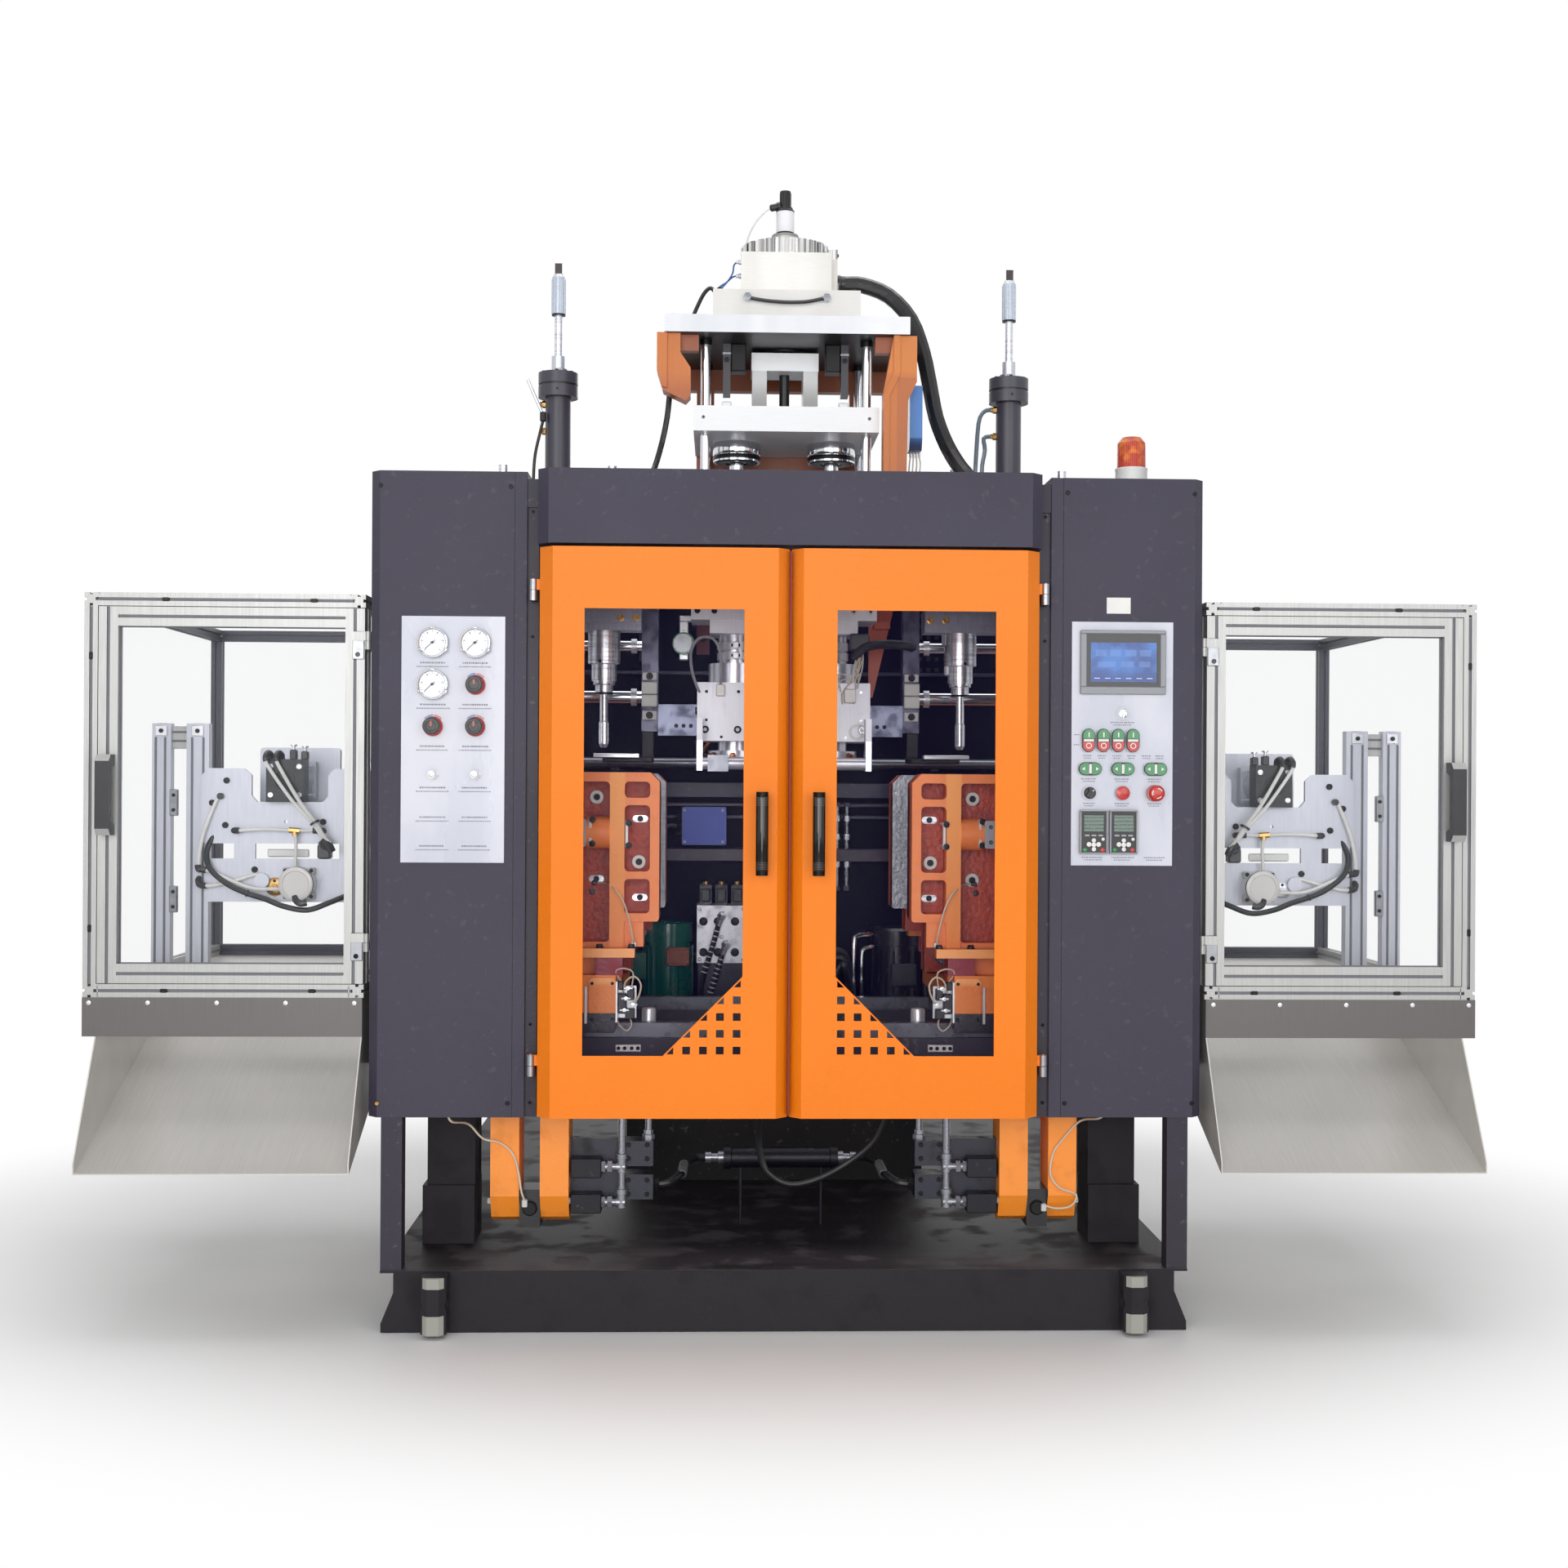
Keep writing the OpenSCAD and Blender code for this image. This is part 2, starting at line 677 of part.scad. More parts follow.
module window_cut() {
    difference() {
        slab([win_in, skin_y - 1, win_bottom], [win_out, skin_y + 2 * sheet, win_top]);
        front_plate(skin_y - 2, skin_y + 3 * sheet, [
            [win_in - 1, win_bottom - 1], [win_in + corner, win_bottom - 1], [win_in - 1, win_bottom + corner]
        ]);
    }
    // Square holes, cut off where they meet the corner's slanted edge
    rows = floor(corner / grid_pitch);
    free = corner - grid_web * sqrt(2);
    for (i = [0:rows], j = [0:rows - i]) {
        a = grid_web + i * grid_pitch;
        b = grid_web + j * grid_pitch;
        rest = free - a - b;
        if (rest > 2 * grid_web)
            front_plate(skin_y - 1, skin_y + 2 * sheet, [
                for (p = [
                    [0, 0], [min(grid_hole, rest), 0], if (rest > grid_hole) [grid_hole, min(grid_hole, rest - grid_hole)],
                    if (rest > grid_hole) [min(grid_hole, rest - grid_hole), grid_hole], [0, min(grid_hole, rest)]
                ]) [win_in + a + p[0], win_bottom + b + p[1]]
            ]);
    }
}
module door_knuckle(z) {
    difference() {
        union() {
            bar_z(knuckle_d, z, z + knuckle_h, hinge_x, hinge_y);
            slab([door_out, hinge_y - 5, z], [hinge_x, hinge_y + 5, z + knuckle_h]);
        }
        bar_z(hinge_pin + 2 * run, z - 1, z + knuckle_h + 1, hinge_x, hinge_y);
    }
}
module door_pane() {
    slab([win_in - 12, skin_y + sheet, win_bottom - 12],
         [win_out + 12, skin_y + sheet + pane_t, win_top + 12]);
}
module left_door() color("#ff8b1d") mirror([1, 0, 0]) door_leaf();
module right_door() color("#ff8b1d") door_leaf();
module left_door_pane() color("#7079b8", 0.5) mirror([1, 0, 0]) door_pane();
module right_door_pane() color("#7079b8", 0.5) door_pane();

// Panel plate with bores for the spindles behind it
module panel_plate(bores) {
    difference() {
        slab([panel_in, panel_y, panel_bottom], [panel_out, front_y, panel_top]);
        for (b = bores)
            bar_y(8 + 2 * run, panel_y - 1, front_y + 1, b[0], b[1]);
    }
}
regulators = [
    [gauge_in, gauge_z - gauge_pitch],
    [gauge_out, gauge_z - 2 * gauge_pitch],
    [gauge_in, gauge_z - 2 * gauge_pitch]
];
throttle_z = gauge_z - 3.15 * gauge_pitch;
module pneumatic_panel() color("#d9dceb") mirror([1, 0, 0]) {
    panel_plate(regulators);
    for (x = [gauge_in, gauge_out]) {
        bar_y(throttle_d, panel_y - 10, panel_y, x, throttle_z);
        bar_y(throttle_d * 0.6, panel_y - 24, panel_y - 10, x, throttle_z);
    }
}
module pressure_gauges() color("#c9ccd4") mirror([1, 0, 0]) {
    for (p = [[gauge_in, gauge_z], [gauge_out, gauge_z], [gauge_out, gauge_z - gauge_pitch]])
        translate([p[0], panel_y, p[1]])
            rotate([90, 0, 0])
                difference() {
                    union() {
                        cylinder(h = 5, d = gauge_d);
                        cylinder(h = gauge_h, d = gauge_d - 9);
                    }
                    translate([0, 0, gauge_h - 4]) cylinder(h = 5, d = gauge_d - 17);
                }
}
module regulator_knob(n) {
    p = regulators[n];
    translate([-p[0], panel_y - run, p[1]])
        rotate([90, 0, 0]) {
            cylinder(h = knob_h * 0.45, d = knob_d);
            cylinder(h = knob_h, d = knob_d * 0.78);
            translate([0, 0, -panel_t]) cylinder(h = panel_t + 1, d = 8);
            translate([-2, 0, knob_h - 1]) cube([4, knob_d * 0.36, 3]);
        }
}
module regulator_knob_1() color("#a51f22") regulator_knob(0);
module regulator_knob_2() color("#a51f22") regulator_knob(1);
module regulator_knob_3() color("#a51f22") regulator_knob(2);

// Bush that holds a control, standing on the panel
module bush(x, z, d, bore) {
    difference() {
        bar_y(d, panel_y - 8, panel_y, x, z);
        bar_y(bore + 2 * run, panel_y - 9, panel_y + 1, x, z);
    }
}
stop_stem = 20;
button_d = 28;
selector_x = mid_panel - stop_pitch;
stop_x = mid_panel + stop_pitch;
module control_panel() color("#d9dceb") {
    panel_plate([]);
    bush(selector_x, stop_z, 38, button_d);
    bush(mid_panel, stop_z, 38, button_d);
    bush(stop_x, stop_z, 38, stop_stem);
    bush(mid_panel, key_z, 30, 18);
    // Twin push buttons, upright and lying
    for (n = [0:3])
        round_plate(mid_panel - 86 + n * 37 - twin_w / 2, mid_panel - 86 + n * 37 + twin_w / 2,
                    panel_y - 9, panel_y, 1472 - twin_l / 2, 1472 + twin_l / 2, 6);
    for (n = [-1:1])
        round_plate(mid_panel + n * stop_pitch - twin_l / 2, mid_panel + n * stop_pitch + twin_l / 2,
                    panel_y - 9, panel_y, 1401 - twin_w / 2, 1401 + twin_w / 2, 6);
}
module touch_screen() color("#9aa0ad") {
    difference() {
        round_plate(mid_panel - screen_w / 2, mid_panel + screen_w / 2, panel_y - screen_t, panel_y,
                    screen_z - screen_h / 2, screen_z + screen_h / 2, 5);
        slab([mid_panel - screen_w / 2 + 20, panel_y - screen_t - 1, screen_z - screen_h / 2 + 22],
             [mid_panel + screen_w / 2 - 20, panel_y - screen_t + 1.5, screen_z + screen_h / 2 - 14]);
    }
}
module drive_keypads() color("#33363f") {
    for (n = [0, 1]) {
        x = mid_panel - 106 + n * (keypad_w + 7);
        round_plate(x, x + keypad_w, panel_y - 12, panel_y, panel_bottom + 30,
                    panel_bottom + 30 + keypad_h, 4);
    }
}
module emergency_stop() color("#c8141b") {
    bar_y(stop_stem, panel_y - 20, panel_y - stop_travel - 0.6, stop_x, stop_z);
    translate([stop_x, panel_y - 17, stop_z])
        rotate([90, 0, 0])
            rotate_extrude() polygon([
                [0, 0], [stop_d / 2 - 3, 0], [stop_d / 2, 4], [stop_d / 2, 9],
                [stop_d / 2 - 4, 14], [0, 16]
            ]);
}
module reset_button() color("#c8141b") {
    bar_y(button_d, panel_y - 13, panel_y - 5, mid_panel, stop_z);
}
module mode_selector() color("#1c1c20") {
    bar_y(button_d, panel_y - 14, panel_y - 1, selector_x, stop_z);
    slab([selector_x - 4, panel_y - 26, stop_z - button_d / 2 + 1],
         [selector_x + 4, panel_y - 13, stop_z + button_d / 2 - 1]);
}
module key_switch() color("#a9adb5") {
    bar_y(18, panel_y - 11, panel_y - 1, mid_panel, key_z);
    slab([mid_panel - 1.2, panel_y - 20, key_z - 4], [mid_panel + 1.2, panel_y - 10, key_z + 4]);
    bar_x(22, mid_panel - 1.5, mid_panel + 1.5, panel_y - 30, key_z);
}
module warning_beacon() color("#e0501c") {
    y = front_y + cab_depth / 2;
    base_h = beacon_h * 0.3;
    translate([beacon_x, y, cab_top])
        rotate_extrude() polygon([
            [0, 0], [beacon_d / 2, 0], [beacon_d / 2, base_h], [beacon_d / 2 - 2, base_h],
            [beacon_d / 2 - 3, beacon_h - 14], [beacon_d / 2 - 14, beacon_h], [0, beacon_h]
        ]);
}

// Mould carriage: bed plate, guide blocks, end brackets, guide shafts and clamp cylinder
foot_top = shaft_z + 67;
module carriage() translate([station_x, 0, 0]) {
    half = carriage_w / 2;
    bed_top = bed_z + bed_t;
    guide_l = 100;
    difference() {
        slab([-half, -bed_half_y, bed_z], [half, bed_half_y, bed_top]);
        slab([-half + 69, -160, bed_z - 1], [half - 69, 160, bed_top + 1]);
    }
    for (s = [-1, 1], y = [-rail_y, rail_y]) {
        x = s * (half - 6 - guide_l / 2);
        difference() {
            slab([x - guide_l / 2, y - rail_w, rail_beam_z + 12], [x + guide_l / 2, y + rail_w, bed_z]);
            slab([x - half, y - rail_w / 2 - 0.5, rail_beam_z],
                 [x + half, y + rail_w / 2 + 0.5, rail_beam_z + rail_h + 0.5]);
        }
    }
    for (s = [0, 1])
        mirror([0, s, 0]) end_bracket(half, bed_top);
    inner_y = bed_half_y - bracket_t;
    for (x = [-shaft_gap / 2, shaft_gap / 2])
        bar_y(shaft_d, -inner_y, inner_y, x, shaft_z);
    bar_y(clamp_d, -inner_y, inner_y, 0, shaft_z);
}

// End bracket: beam with raised pads, shaft holders and top flange
module end_bracket(half, bed_top) {
    inner_y = bed_half_y - bracket_t;
    beam_top = bed_top + 56;
    holder = [shaft_gap / 2 - 28, shaft_gap / 2 + 41];
    slab([-half, -bed_half_y, bed_z - 44], [half, -inner_y, beam_top]);
    both_sides() {
        front_plate(-bed_half_y - bracket_lip, -bed_half_y, [
            [half - 68, bed_z - 30], [half, bed_z - 30], [half, beam_top - 14], [half - 8, beam_top - 6],
            [half - 60, beam_top - 6], [half - 68, beam_top - 14]
        ]);
        slab([holder[0], -bed_half_y + bracket_lip, beam_top], [holder[1], -inner_y, foot_top - 23]);
    }
    slab([-holder[1] - 31, -bed_half_y - bracket_lip, foot_top - 23], [holder[1] + 31, -inner_y, foot_top]);
}
module left_carriage() color("#8d8f96") mirror([1, 0, 0]) carriage();
module right_carriage() color("#8d8f96") carriage();

// Front platen of the right-hand station: web, ribs, pockets, clamp block on its hubs, and foot
module platen() translate([station_x, 0, 0]) {
    half = platen_w / 2;
    pocket_x = half - platen_wall - pocket_w;
    rib_in = pocket_x - rib_w;
    mid = (platen_top + platen_bottom) / 2;
    floor_y = -platen_open - platen_web;
    neck_y = -platen_open - 16;
    rows = [[platen_bottom + 21, platen_bottom + 110], [platen_bottom + 129, platen_top - 85],
            [platen_top - 66, platen_top - platen_wall]];
    difference() {
        union() {
            round_plate(-half, half, -platen_back, -platen_open, platen_bottom, platen_top, 8);
            slab([-half + 40, -foot_y, foot_top], [half - 40, neck_y, platen_bottom + 1]);
            slab([-shaft_gap / 2 - 35, -foot_y, bed_z + bed_t + 6], [shaft_gap / 2 + 35, neck_y, foot_top]);
            for (s = [0, 1])
                mirror([s, 0, 0]) slab([rib_in, -platen_back, foot_top], [pocket_x, -foot_y + 1, platen_bottom + 10]);
        }
        for (s = [0, 1], r = rows)
            mirror([s, 0, 0]) round_plate(pocket_x, pocket_x + pocket_w, -platen_back - 1, floor_y, r[0], r[1], 12);
        round_plate(-rib_in, rib_in, -platen_back - 1, floor_y, foot_top + 12, platen_top - platen_wall, 12);
        // Bevelled upper corners
        for (x = [-half, half])
            translate([x, -platen_back, platen_top]) rotate([0, 45, 0]) cube([34, 3 * platen_back, 34], center = true);
        for (x = [-bolt_pitch / 2, bolt_pitch / 2], z = [-bolt_pitch / 2, bolt_pitch / 2])
            bar_y(bolt_bore, -platen_back, -platen_open + 1, x, mid + z);
        for (x = [-shaft_gap / 2, shaft_gap / 2])
            bar_y(shaft_d + 2 * run, -platen_back, -platen_open, x, shaft_z);
        bar_y(clamp_d + 12, -platen_back, -platen_open, 0, shaft_z);
    }
    // Clamp block between the hubs of the main ribs
    block = 108;
    clamp_z = mid + 36;
    round_plate(-block, block, -platen_back - 8, floor_y, clamp_z - 36, clamp_z + 36, 6);
    for (s = [0, 1])
        mirror([s, 0, 0]) bar_x(hub_d, block, rib_in, -platen_back + 34, clamp_z);
}
module left_front_platen() color("#d9673a") mirror([1, 0, 0]) platen();
module right_front_platen() color("#d9673a") platen();
module left_rear_platen() color("#d9673a") mirror([1, 0, 0]) mirror([0, 1, 0]) platen();
module right_rear_platen() color("#d9673a") mirror([0, 1, 0]) platen();

// Blow cylinders on mounting plates that span the head beams
guide_rod_x = 150;
guide_rod_d = 25;
piston_d = blow_cyl_d - 16;
nut_d = 49;
module blow_cylinders() color("#4b4a52") both_sides() translate([station_x, 0, 0]) {
    edge = head_beam_y + head_beam_w / 2;
    tube_z = frame_top + 16;
    difference() {
        union() {
            slab([-guide_rod_x - 35, -edge, top_z], [guide_rod_x + 35, edge, frame_top]);
            bar_z(blow_cyl_d, frame_top, blow_cyl_top, 0, 0);
            bar_z(blow_flange_d, frame_top, tube_z, 0, 0);
            bar_z(blow_flange_d, blow_cyl_top, blow_cyl_top + blow_flange_h / 2 - 3, 0, 0);
            bar_z(blow_flange_d - 8, blow_cyl_top + blow_flange_h / 2 - 3, blow_cyl_top + blow_flange_h / 2 + 3, 0, 0);
            bar_z(blow_flange_d, blow_cyl_top + blow_flange_h / 2 + 3, blow_cyl_top + blow_flange_h, 0, 0);
            bar_z(stop_sleeve_d, blow_cyl_top + blow_flange_h, stop_collar_top, 0, 0);
            for (x = [-guide_rod_x, guide_rod_x])
                bar_z(guide_rod_d + 20, frame_top, frame_top + 30, x, 0);
        }
        bar_z(blow_rod_d + 2 * run, top_z - 1, stop_collar_top + 1, 0, 0);
        bar_z(piston_d + 2 * run, tube_z, blow_cyl_top - 10, 0, 0);
        for (x = [-guide_rod_x, guide_rod_x])
            bar_z(guide_rod_d + 2 * run, top_z - 1, frame_top + 31, x, 0);
    }
}
stop_collar_top = stop_sleeve_z - blow_stroke - 4;

// Blow unit: block, two blow pins, guide rods, rod with piston and stop sleeve
module blow_unit() translate([station_x, 0, 0]) {
    block_top = blow_z + blow_h;
    slab([-blow_w / 2, -45, blow_z], [blow_w / 2, 45, block_top]);
    slab([-blow_w / 2, -56, blow_z + 20], [blow_w / 2, -45, blow_z + blow_h - 12]);
    for (x = [-pin_gap / 2, pin_gap / 2])
        translate([x, 0, 0])
            rotate_extrude() polygon([
                [0, pin_z], [pin_d / 2 - 5, pin_z], [pin_d / 2, pin_z + 10], [pin_d / 2, pin_z + 70],
                [pin_d / 2 - 2, pin_z + 74], [pin_d / 2 - 2, pin_z + 146], [nut_d / 2, pin_z + 146],
                [nut_d / 2, pin_z + 172], [collar_d / 2 - 5, pin_z + 174], [collar_d / 2 - 5, pin_z + 184],
                [collar_d / 2, pin_z + 184], [collar_d / 2, pin_z + 229], [sleeve_d / 2, pin_z + 232],
                [sleeve_d / 2, blow_z], [0, blow_z]
            ]);
    for (x = [-guide_rod_x, guide_rod_x])
        bar_z(guide_rod_d, block_top, top_z + 15 + blow_stroke, x, 0);
    bar_z(blow_rod_d, block_top, stop_sleeve_z, 0, 0);
    bar_z(piston_d, blow_cyl_top - 50, blow_cyl_top - 12, 0, 0);
    bar_z(stop_sleeve_d, stop_sleeve_z, stop_sleeve_z + stop_sleeve_l, 0, 0);
    slab([-10, -10, stop_sleeve_z + stop_sleeve_l], [10, 10, stop_sleeve_z + stop_sleeve_l + 38]);
}
module left_blow_unit() color("#c9ccd6") mirror([1, 0, 0]) blow_unit();
module right_blow_unit() color("#c9ccd6") blow_unit();

// Die head: flow block, head bodies, dies, extruder adapter and knife bar
head_flange_d = head_d + 30;
rod_d = 40;
module die_head() color("#c3c5cc") {
    ring_top = die_z - 25;
    ring_z = ring_top - die_ring_h;
    neck_z = die_z + die_h + 56;
    plate_z = barrel_z - 81;
    flow_z = plate_z + 36;
    flow_top = barrel_z + 70;
    difference() {
        union() {
            slab([-die_half, -die_half_y, die_z], [die_half, die_half_y, die_z + die_h]);
            slab([-die_half + 33, -90, plate_z], [die_half - 33, 90, flow_z]);
            slab([-die_half - 18, -100, flow_z], [die_half + 18, 90, flow_top]);
            bar_y(heater_d, 90, 180, 0, barrel_z);
            for (x = [-die_gap, die_gap]) {
                bar_z(head_d, die_z + die_h, neck_z, x, 0);
                bar_z(head_neck_d, neck_z, plate_z, x, 0);
                bar_z(head_d, flow_top, top_z - 30, x, 0);
                bar_z(head_flange_d, top_z - 30, top_z, x, 0);
                bar_z(head_neck_d, ring_top, die_z, x, 0);
                bar_z(die_ring_d, ring_z, ring_top, x, 0);
            }
        }
        for (x = [-die_gap, die_gap]) {
            bar_z(rod_d + 2 * run, top_z - 130, top_z + 1, x, 0);
            bar_z(46, ring_z - 1, die_z - 20, x, 0);
        }
    }
    bar_y(34, -die_half_y - 12, -die_half_y, 0, die_z + die_h / 2);
    // Knife bar on its hangers
    bar_x(knife_bar_d, -die_half, die_half, knife_bar_y, knife_z);
    for (x = [-die_half, die_half - 16])
        slab([x, knife_bar_y - 20, knife_z - 20], [x + 16, -die_half_y, die_z + 60]);
}
knife_bar_y = -die_half_y - 40;
knife_x = 30 - die_half;
slider_w = 55;
module parison_knife() color("#6a6c74") {
    difference() {
        slab([knife_x, knife_bar_y - 26, knife_z - 22], [knife_x + slider_w, knife_bar_y + 26, knife_z + 22]);
        bar_x(knife_bar_d + 2 * run, knife_x - 1, knife_x + slider_w + 1, knife_bar_y, knife_z);
    }
    slab([knife_x + 15, knife_bar_y + 26, knife_z - 14], [knife_x + slider_w - 15, 70, knife_z - 10]);
}

// Head frame: base plate, guide columns and top plate
module head_frame() color("#c9ccd2") {
    edge = head_beam_y + head_beam_w / 2;
    difference() {
        slab([-340, -edge, top_z], [340, edge, head_base_top]);
        for (x = [-die_gap, die_gap])
            bar_z(rod_d + 6, top_z - 1, head_base_top + 1, x, 0);
    }
    for (x = [-guide_x, guide_x], y = [-guide_y, guide_y])
        bar_z(guide_d, head_base_top, head_top_z, x, y);
    difference() {
        slab([-head_top_half, -head_top_y, head_top_z], [head_top_half, head_top_y, head_top_z + head_top_t]);
        bar_z(rod_d + 2 * run, head_top_z - 1, head_top_z + head_top_t + 1, 0, 0);
    }
    for (x = [-170, 150])
        slab([x, -120, yoke_z + yoke_t + 45], [x + 20, -80, head_top_z]);
}

// Painted brackets beside and behind the head frame
bracket_side = 345;
bracket_w = 62;
bracket_y = 15 - head_top_y;
module head_brackets() color("#f08a2c") {
    side = bracket_side;
    inner = yoke_half + 8;
    rear_y = head_top_y - 44;
    z = head_top_z;
    // Hanging bracket at the left, cranked inwards over the yoke
    front_plate(bracket_y, bracket_y + 60, [
        [-side, z], [-side, z - 99], [-side + 16, z - 151], [-side + 76, z - 179], [-inner, z - 165],
        [-inner, z - 91], [-side + bracket_w, z - 51], [-side + bracket_w, z]
    ]);
    slab([-side + 5, bracket_y + 60, z - 60], [-side + 45, bracket_y + 115, z]);
    // Post at the right, cranked outwards under the top plate
    front_plate(bracket_y, bracket_y + 55, [
        [inner, head_base_top], [inner + bracket_w, head_base_top], [inner + bracket_w + 4, z - 171],
        [side, z - 121], [side, z], [side - bracket_w, z], [side - 80, z - 101], [inner, z - 151]
    ]);
    // Posts and cross beams behind the guide columns
    post = guide_x + 28;
    slab([-post, rear_y, head_base_top + 114], [post, rear_y + 40, head_base_top + 174]);
    slab([-side + 5, rear_y, z - 60], [side - 5, rear_y + 40, z]);
    both_sides() {
        slab([post - 50, rear_y, head_base_top], [post, rear_y + 40, z]);
        // Arm under the top plate
        slab([guide_x + 18, bracket_y + 20, z - 42], [side - 30, bracket_y + 50, z]);
    }
}

// Yoke that sets the die gap: plate, portal, chrome cylinders and mandrel rods
module parison_yoke() color("#c9ccd2") {
    yoke_top = yoke_z + yoke_t;
    portal_z = yoke_top + 125;
    portal_top = head_top_z - 10;
    difference() {
        slab([-yoke_half, -yoke_y, yoke_z], [yoke_half, yoke_y, yoke_top]);
        for (x = [-guide_x, guide_x], y = [-guide_y, guide_y])
            bar_z(guide_d + 2 * run, yoke_z - 1, yoke_top + 1, x, y);
    }
    for (x = [-die_gap, die_gap]) {
        bar_z(mandrel_d, yoke_z - 52, yoke_z, x, 0);
        bar_z(rod_d, top_z - 60, yoke_z - 52, x, 0);
    }
    for (x = [-90, 50])
        slab([x, -60, yoke_top], [x + 40, 60, portal_z]);
    slab([-92, -60, portal_z], [92, 60, portal_top]);
    bar_z(28, yoke_top, portal_z, 0, 0);
    bar_z(rod_d, portal_top, head_top_z + head_top_t + 40, 0, 0);
}

// Parison controller on the top plate: block, valve box, finned drum and position sensor
module parison_actuator() color("#d0d2d8") {
    z0 = head_top_z + head_top_t;
    z1 = z0 + 86;
    z2 = z1 + 117;
    z3 = z2 + 41;
    difference() {
        slab([-198, -180, z0], [198, 180, z1]);
        bar_z(rod_d + 2 * run, z0 - 1, z1 - 6, 0, 0);
    }
    slab([-drum_d / 2, -drum_d / 2, z1], [drum_d / 2, drum_d / 2, z2]);
    slab([drum_d / 2, -60, z1 + 30], [drum_d / 2 + 20, 60, z2 + 26]);
    translate([0, 0, z2]) difference() {
        cylinder(h = z3 - z2, d = drum_d - 2);
        for (a = [0:15:345])
            rotate([0, 0, a]) translate([drum_d / 2 - 7, -3, -1]) cube([12, 6, z3 - z2 + 2]);
    }
    bar_z(72, z3, z3 + 38, 0, 0);
    bar_z(44, z3 + 38, z3 + 44, 0, 0);
    bar_z(50, z3 + 44, z3 + 102, 0, 0);
    bar_z(42, z3 + 102, z3 + 112, 0, 0);
    bar_z(30, z3 + 112, z3 + 160, 0, 0);
}

// Extruder: barrel with heater bands, screw, gearbox with motor, and hopper
throat_y = barrel_back - 130;
module extruder_barrel() color("#a9abb2") {
    difference() {
        union() {
            bar_y(barrel_d, 180, barrel_back, 0, barrel_z);
            bar_y(heater_d + 20, 180, 210, 0, barrel_z);
            for (n = [0:5])
                bar_y(heater_d, 240 + n * 180, 390 + n * 180, 0, barrel_z);
            bar_y(heater_d + 60, barrel_back - 40, barrel_back, 0, barrel_z);
            slab([-90, throat_y - 90, barrel_z], [90, throat_y + 90, barrel_z + 130]);
        }
        bar_y(screw_d + 2 * run, 175, barrel_back + 1, 0, barrel_z);
        bar_z(84, barrel_z, barrel_z + 131, 0, throat_y);
    }
}
module extruder_screw() color("#8f9299") {
    core = screw_d * 0.7;
    lead = 100;
    length = barrel_back - 300;
    translate([0, 260 + length, barrel_z])
        rotate([90, 0, 0])
            linear_extrude(length, twist = 360 * length / lead, slices = round(length / 12), segments = 10)
                translate([(screw_d - core) / 2 - 0.4, 0]) circle(d = core, $fn = 10);
    bar_y(screw_d - 6, 260 + length - 8, barrel_back + 60, 0, barrel_z);
    translate([0, 262, barrel_z]) rotate([90, 0, 0]) cylinder(h = 60, d1 = core - 18, d2 = 8);
}
gear_back = barrel_back + 260;
extruder_bed_z = barrel_z - 300;
drive_half = 190;
module extruder_drive() color("#2f5f7a") {
    difference() {
        slab([-drive_half, barrel_back, extruder_bed_z], [drive_half, gear_back, barrel_z + 170]);
        bar_y(screw_d - 6 + 2 * run, barrel_back - 1, barrel_back + 61, 0, barrel_z);
    }
    for (z = [extruder_bed_z + 20, barrel_z + 120])
        slab([-drive_half - 15, barrel_back + 20, z], [drive_half + 15, gear_back - 20, z + 30]);
    bar_y(motor_d, gear_back, gear_back + 330, 0, extruder_bed_z + motor_d / 2 + 20);
    slab([-110, gear_back + 40, extruder_bed_z], [110, gear_back + 290, extruder_bed_z + 40]);
    for (n = [0:7])
        bar_y(motor_d + 20, gear_back + 40 + n * 34, gear_back + 48 + n * 34, 0, extruder_bed_z + motor_d / 2 + 20);
}
module hopper() color("#c9ccd2") {
    z0 = barrel_z + 130;
    cone = 250;
    translate([0, throat_y, z0])
        rotate_extrude() polygon([
            [45, 0], [90, 0], [90, 12], [48, 12], [48, 40], [hopper_d / 2, 40 + cone],
            [hopper_d / 2, hopper_top - z0], [hopper_d / 2 - 3, hopper_top - z0],
            [hopper_d / 2 - 3, 41 + cone], [45, 41]
        ]);
}

// Hydraulic set: tank, pump motor and valve manifold
tank_half = 450;
tank_d = 150;
module oil_tank() color("#4c4a52") {
    y = frame_back - 30 - tank_d;
    slab([-tank_half, y, deck_z], [tank_half, y + tank_d, tank_z]);
    // Hand-hole covers
    for (n = [-1:1])
        translate([n * tank_half / 1.5, 0, 0]) slab([-70, y - 8, deck_z + 120], [70, y, tank_z - 120]);
}
pump_x = 121 - tank_half;
pump_y = frame_back - 104;
pump_d = 136;
module pump_motor() color("#0e5a55") {
    d = pump_d;
    bar_z(d + 20, tank_z, tank_z + 24, pump_x, pump_y);
    bar_z(d, tank_z + 24, tank_z + 262, pump_x, pump_y);
    for (a = [0:20:340])
        translate([pump_x, pump_y, tank_z + 60]) rotate([0, 0, a])
            translate([d / 2 - 2, -2, 0]) cube([11, 4, 150]);
    bar_z(d + 14, tank_z + 224, tank_z + 281, pump_x, pump_y);
    slab([pump_x - 110, pump_y - 40, tank_z + 110], [pump_x - 66, pump_y + 40, tank_z + 190]);
}
manifold = [150, 132, 175];
manifold_gap = 11;
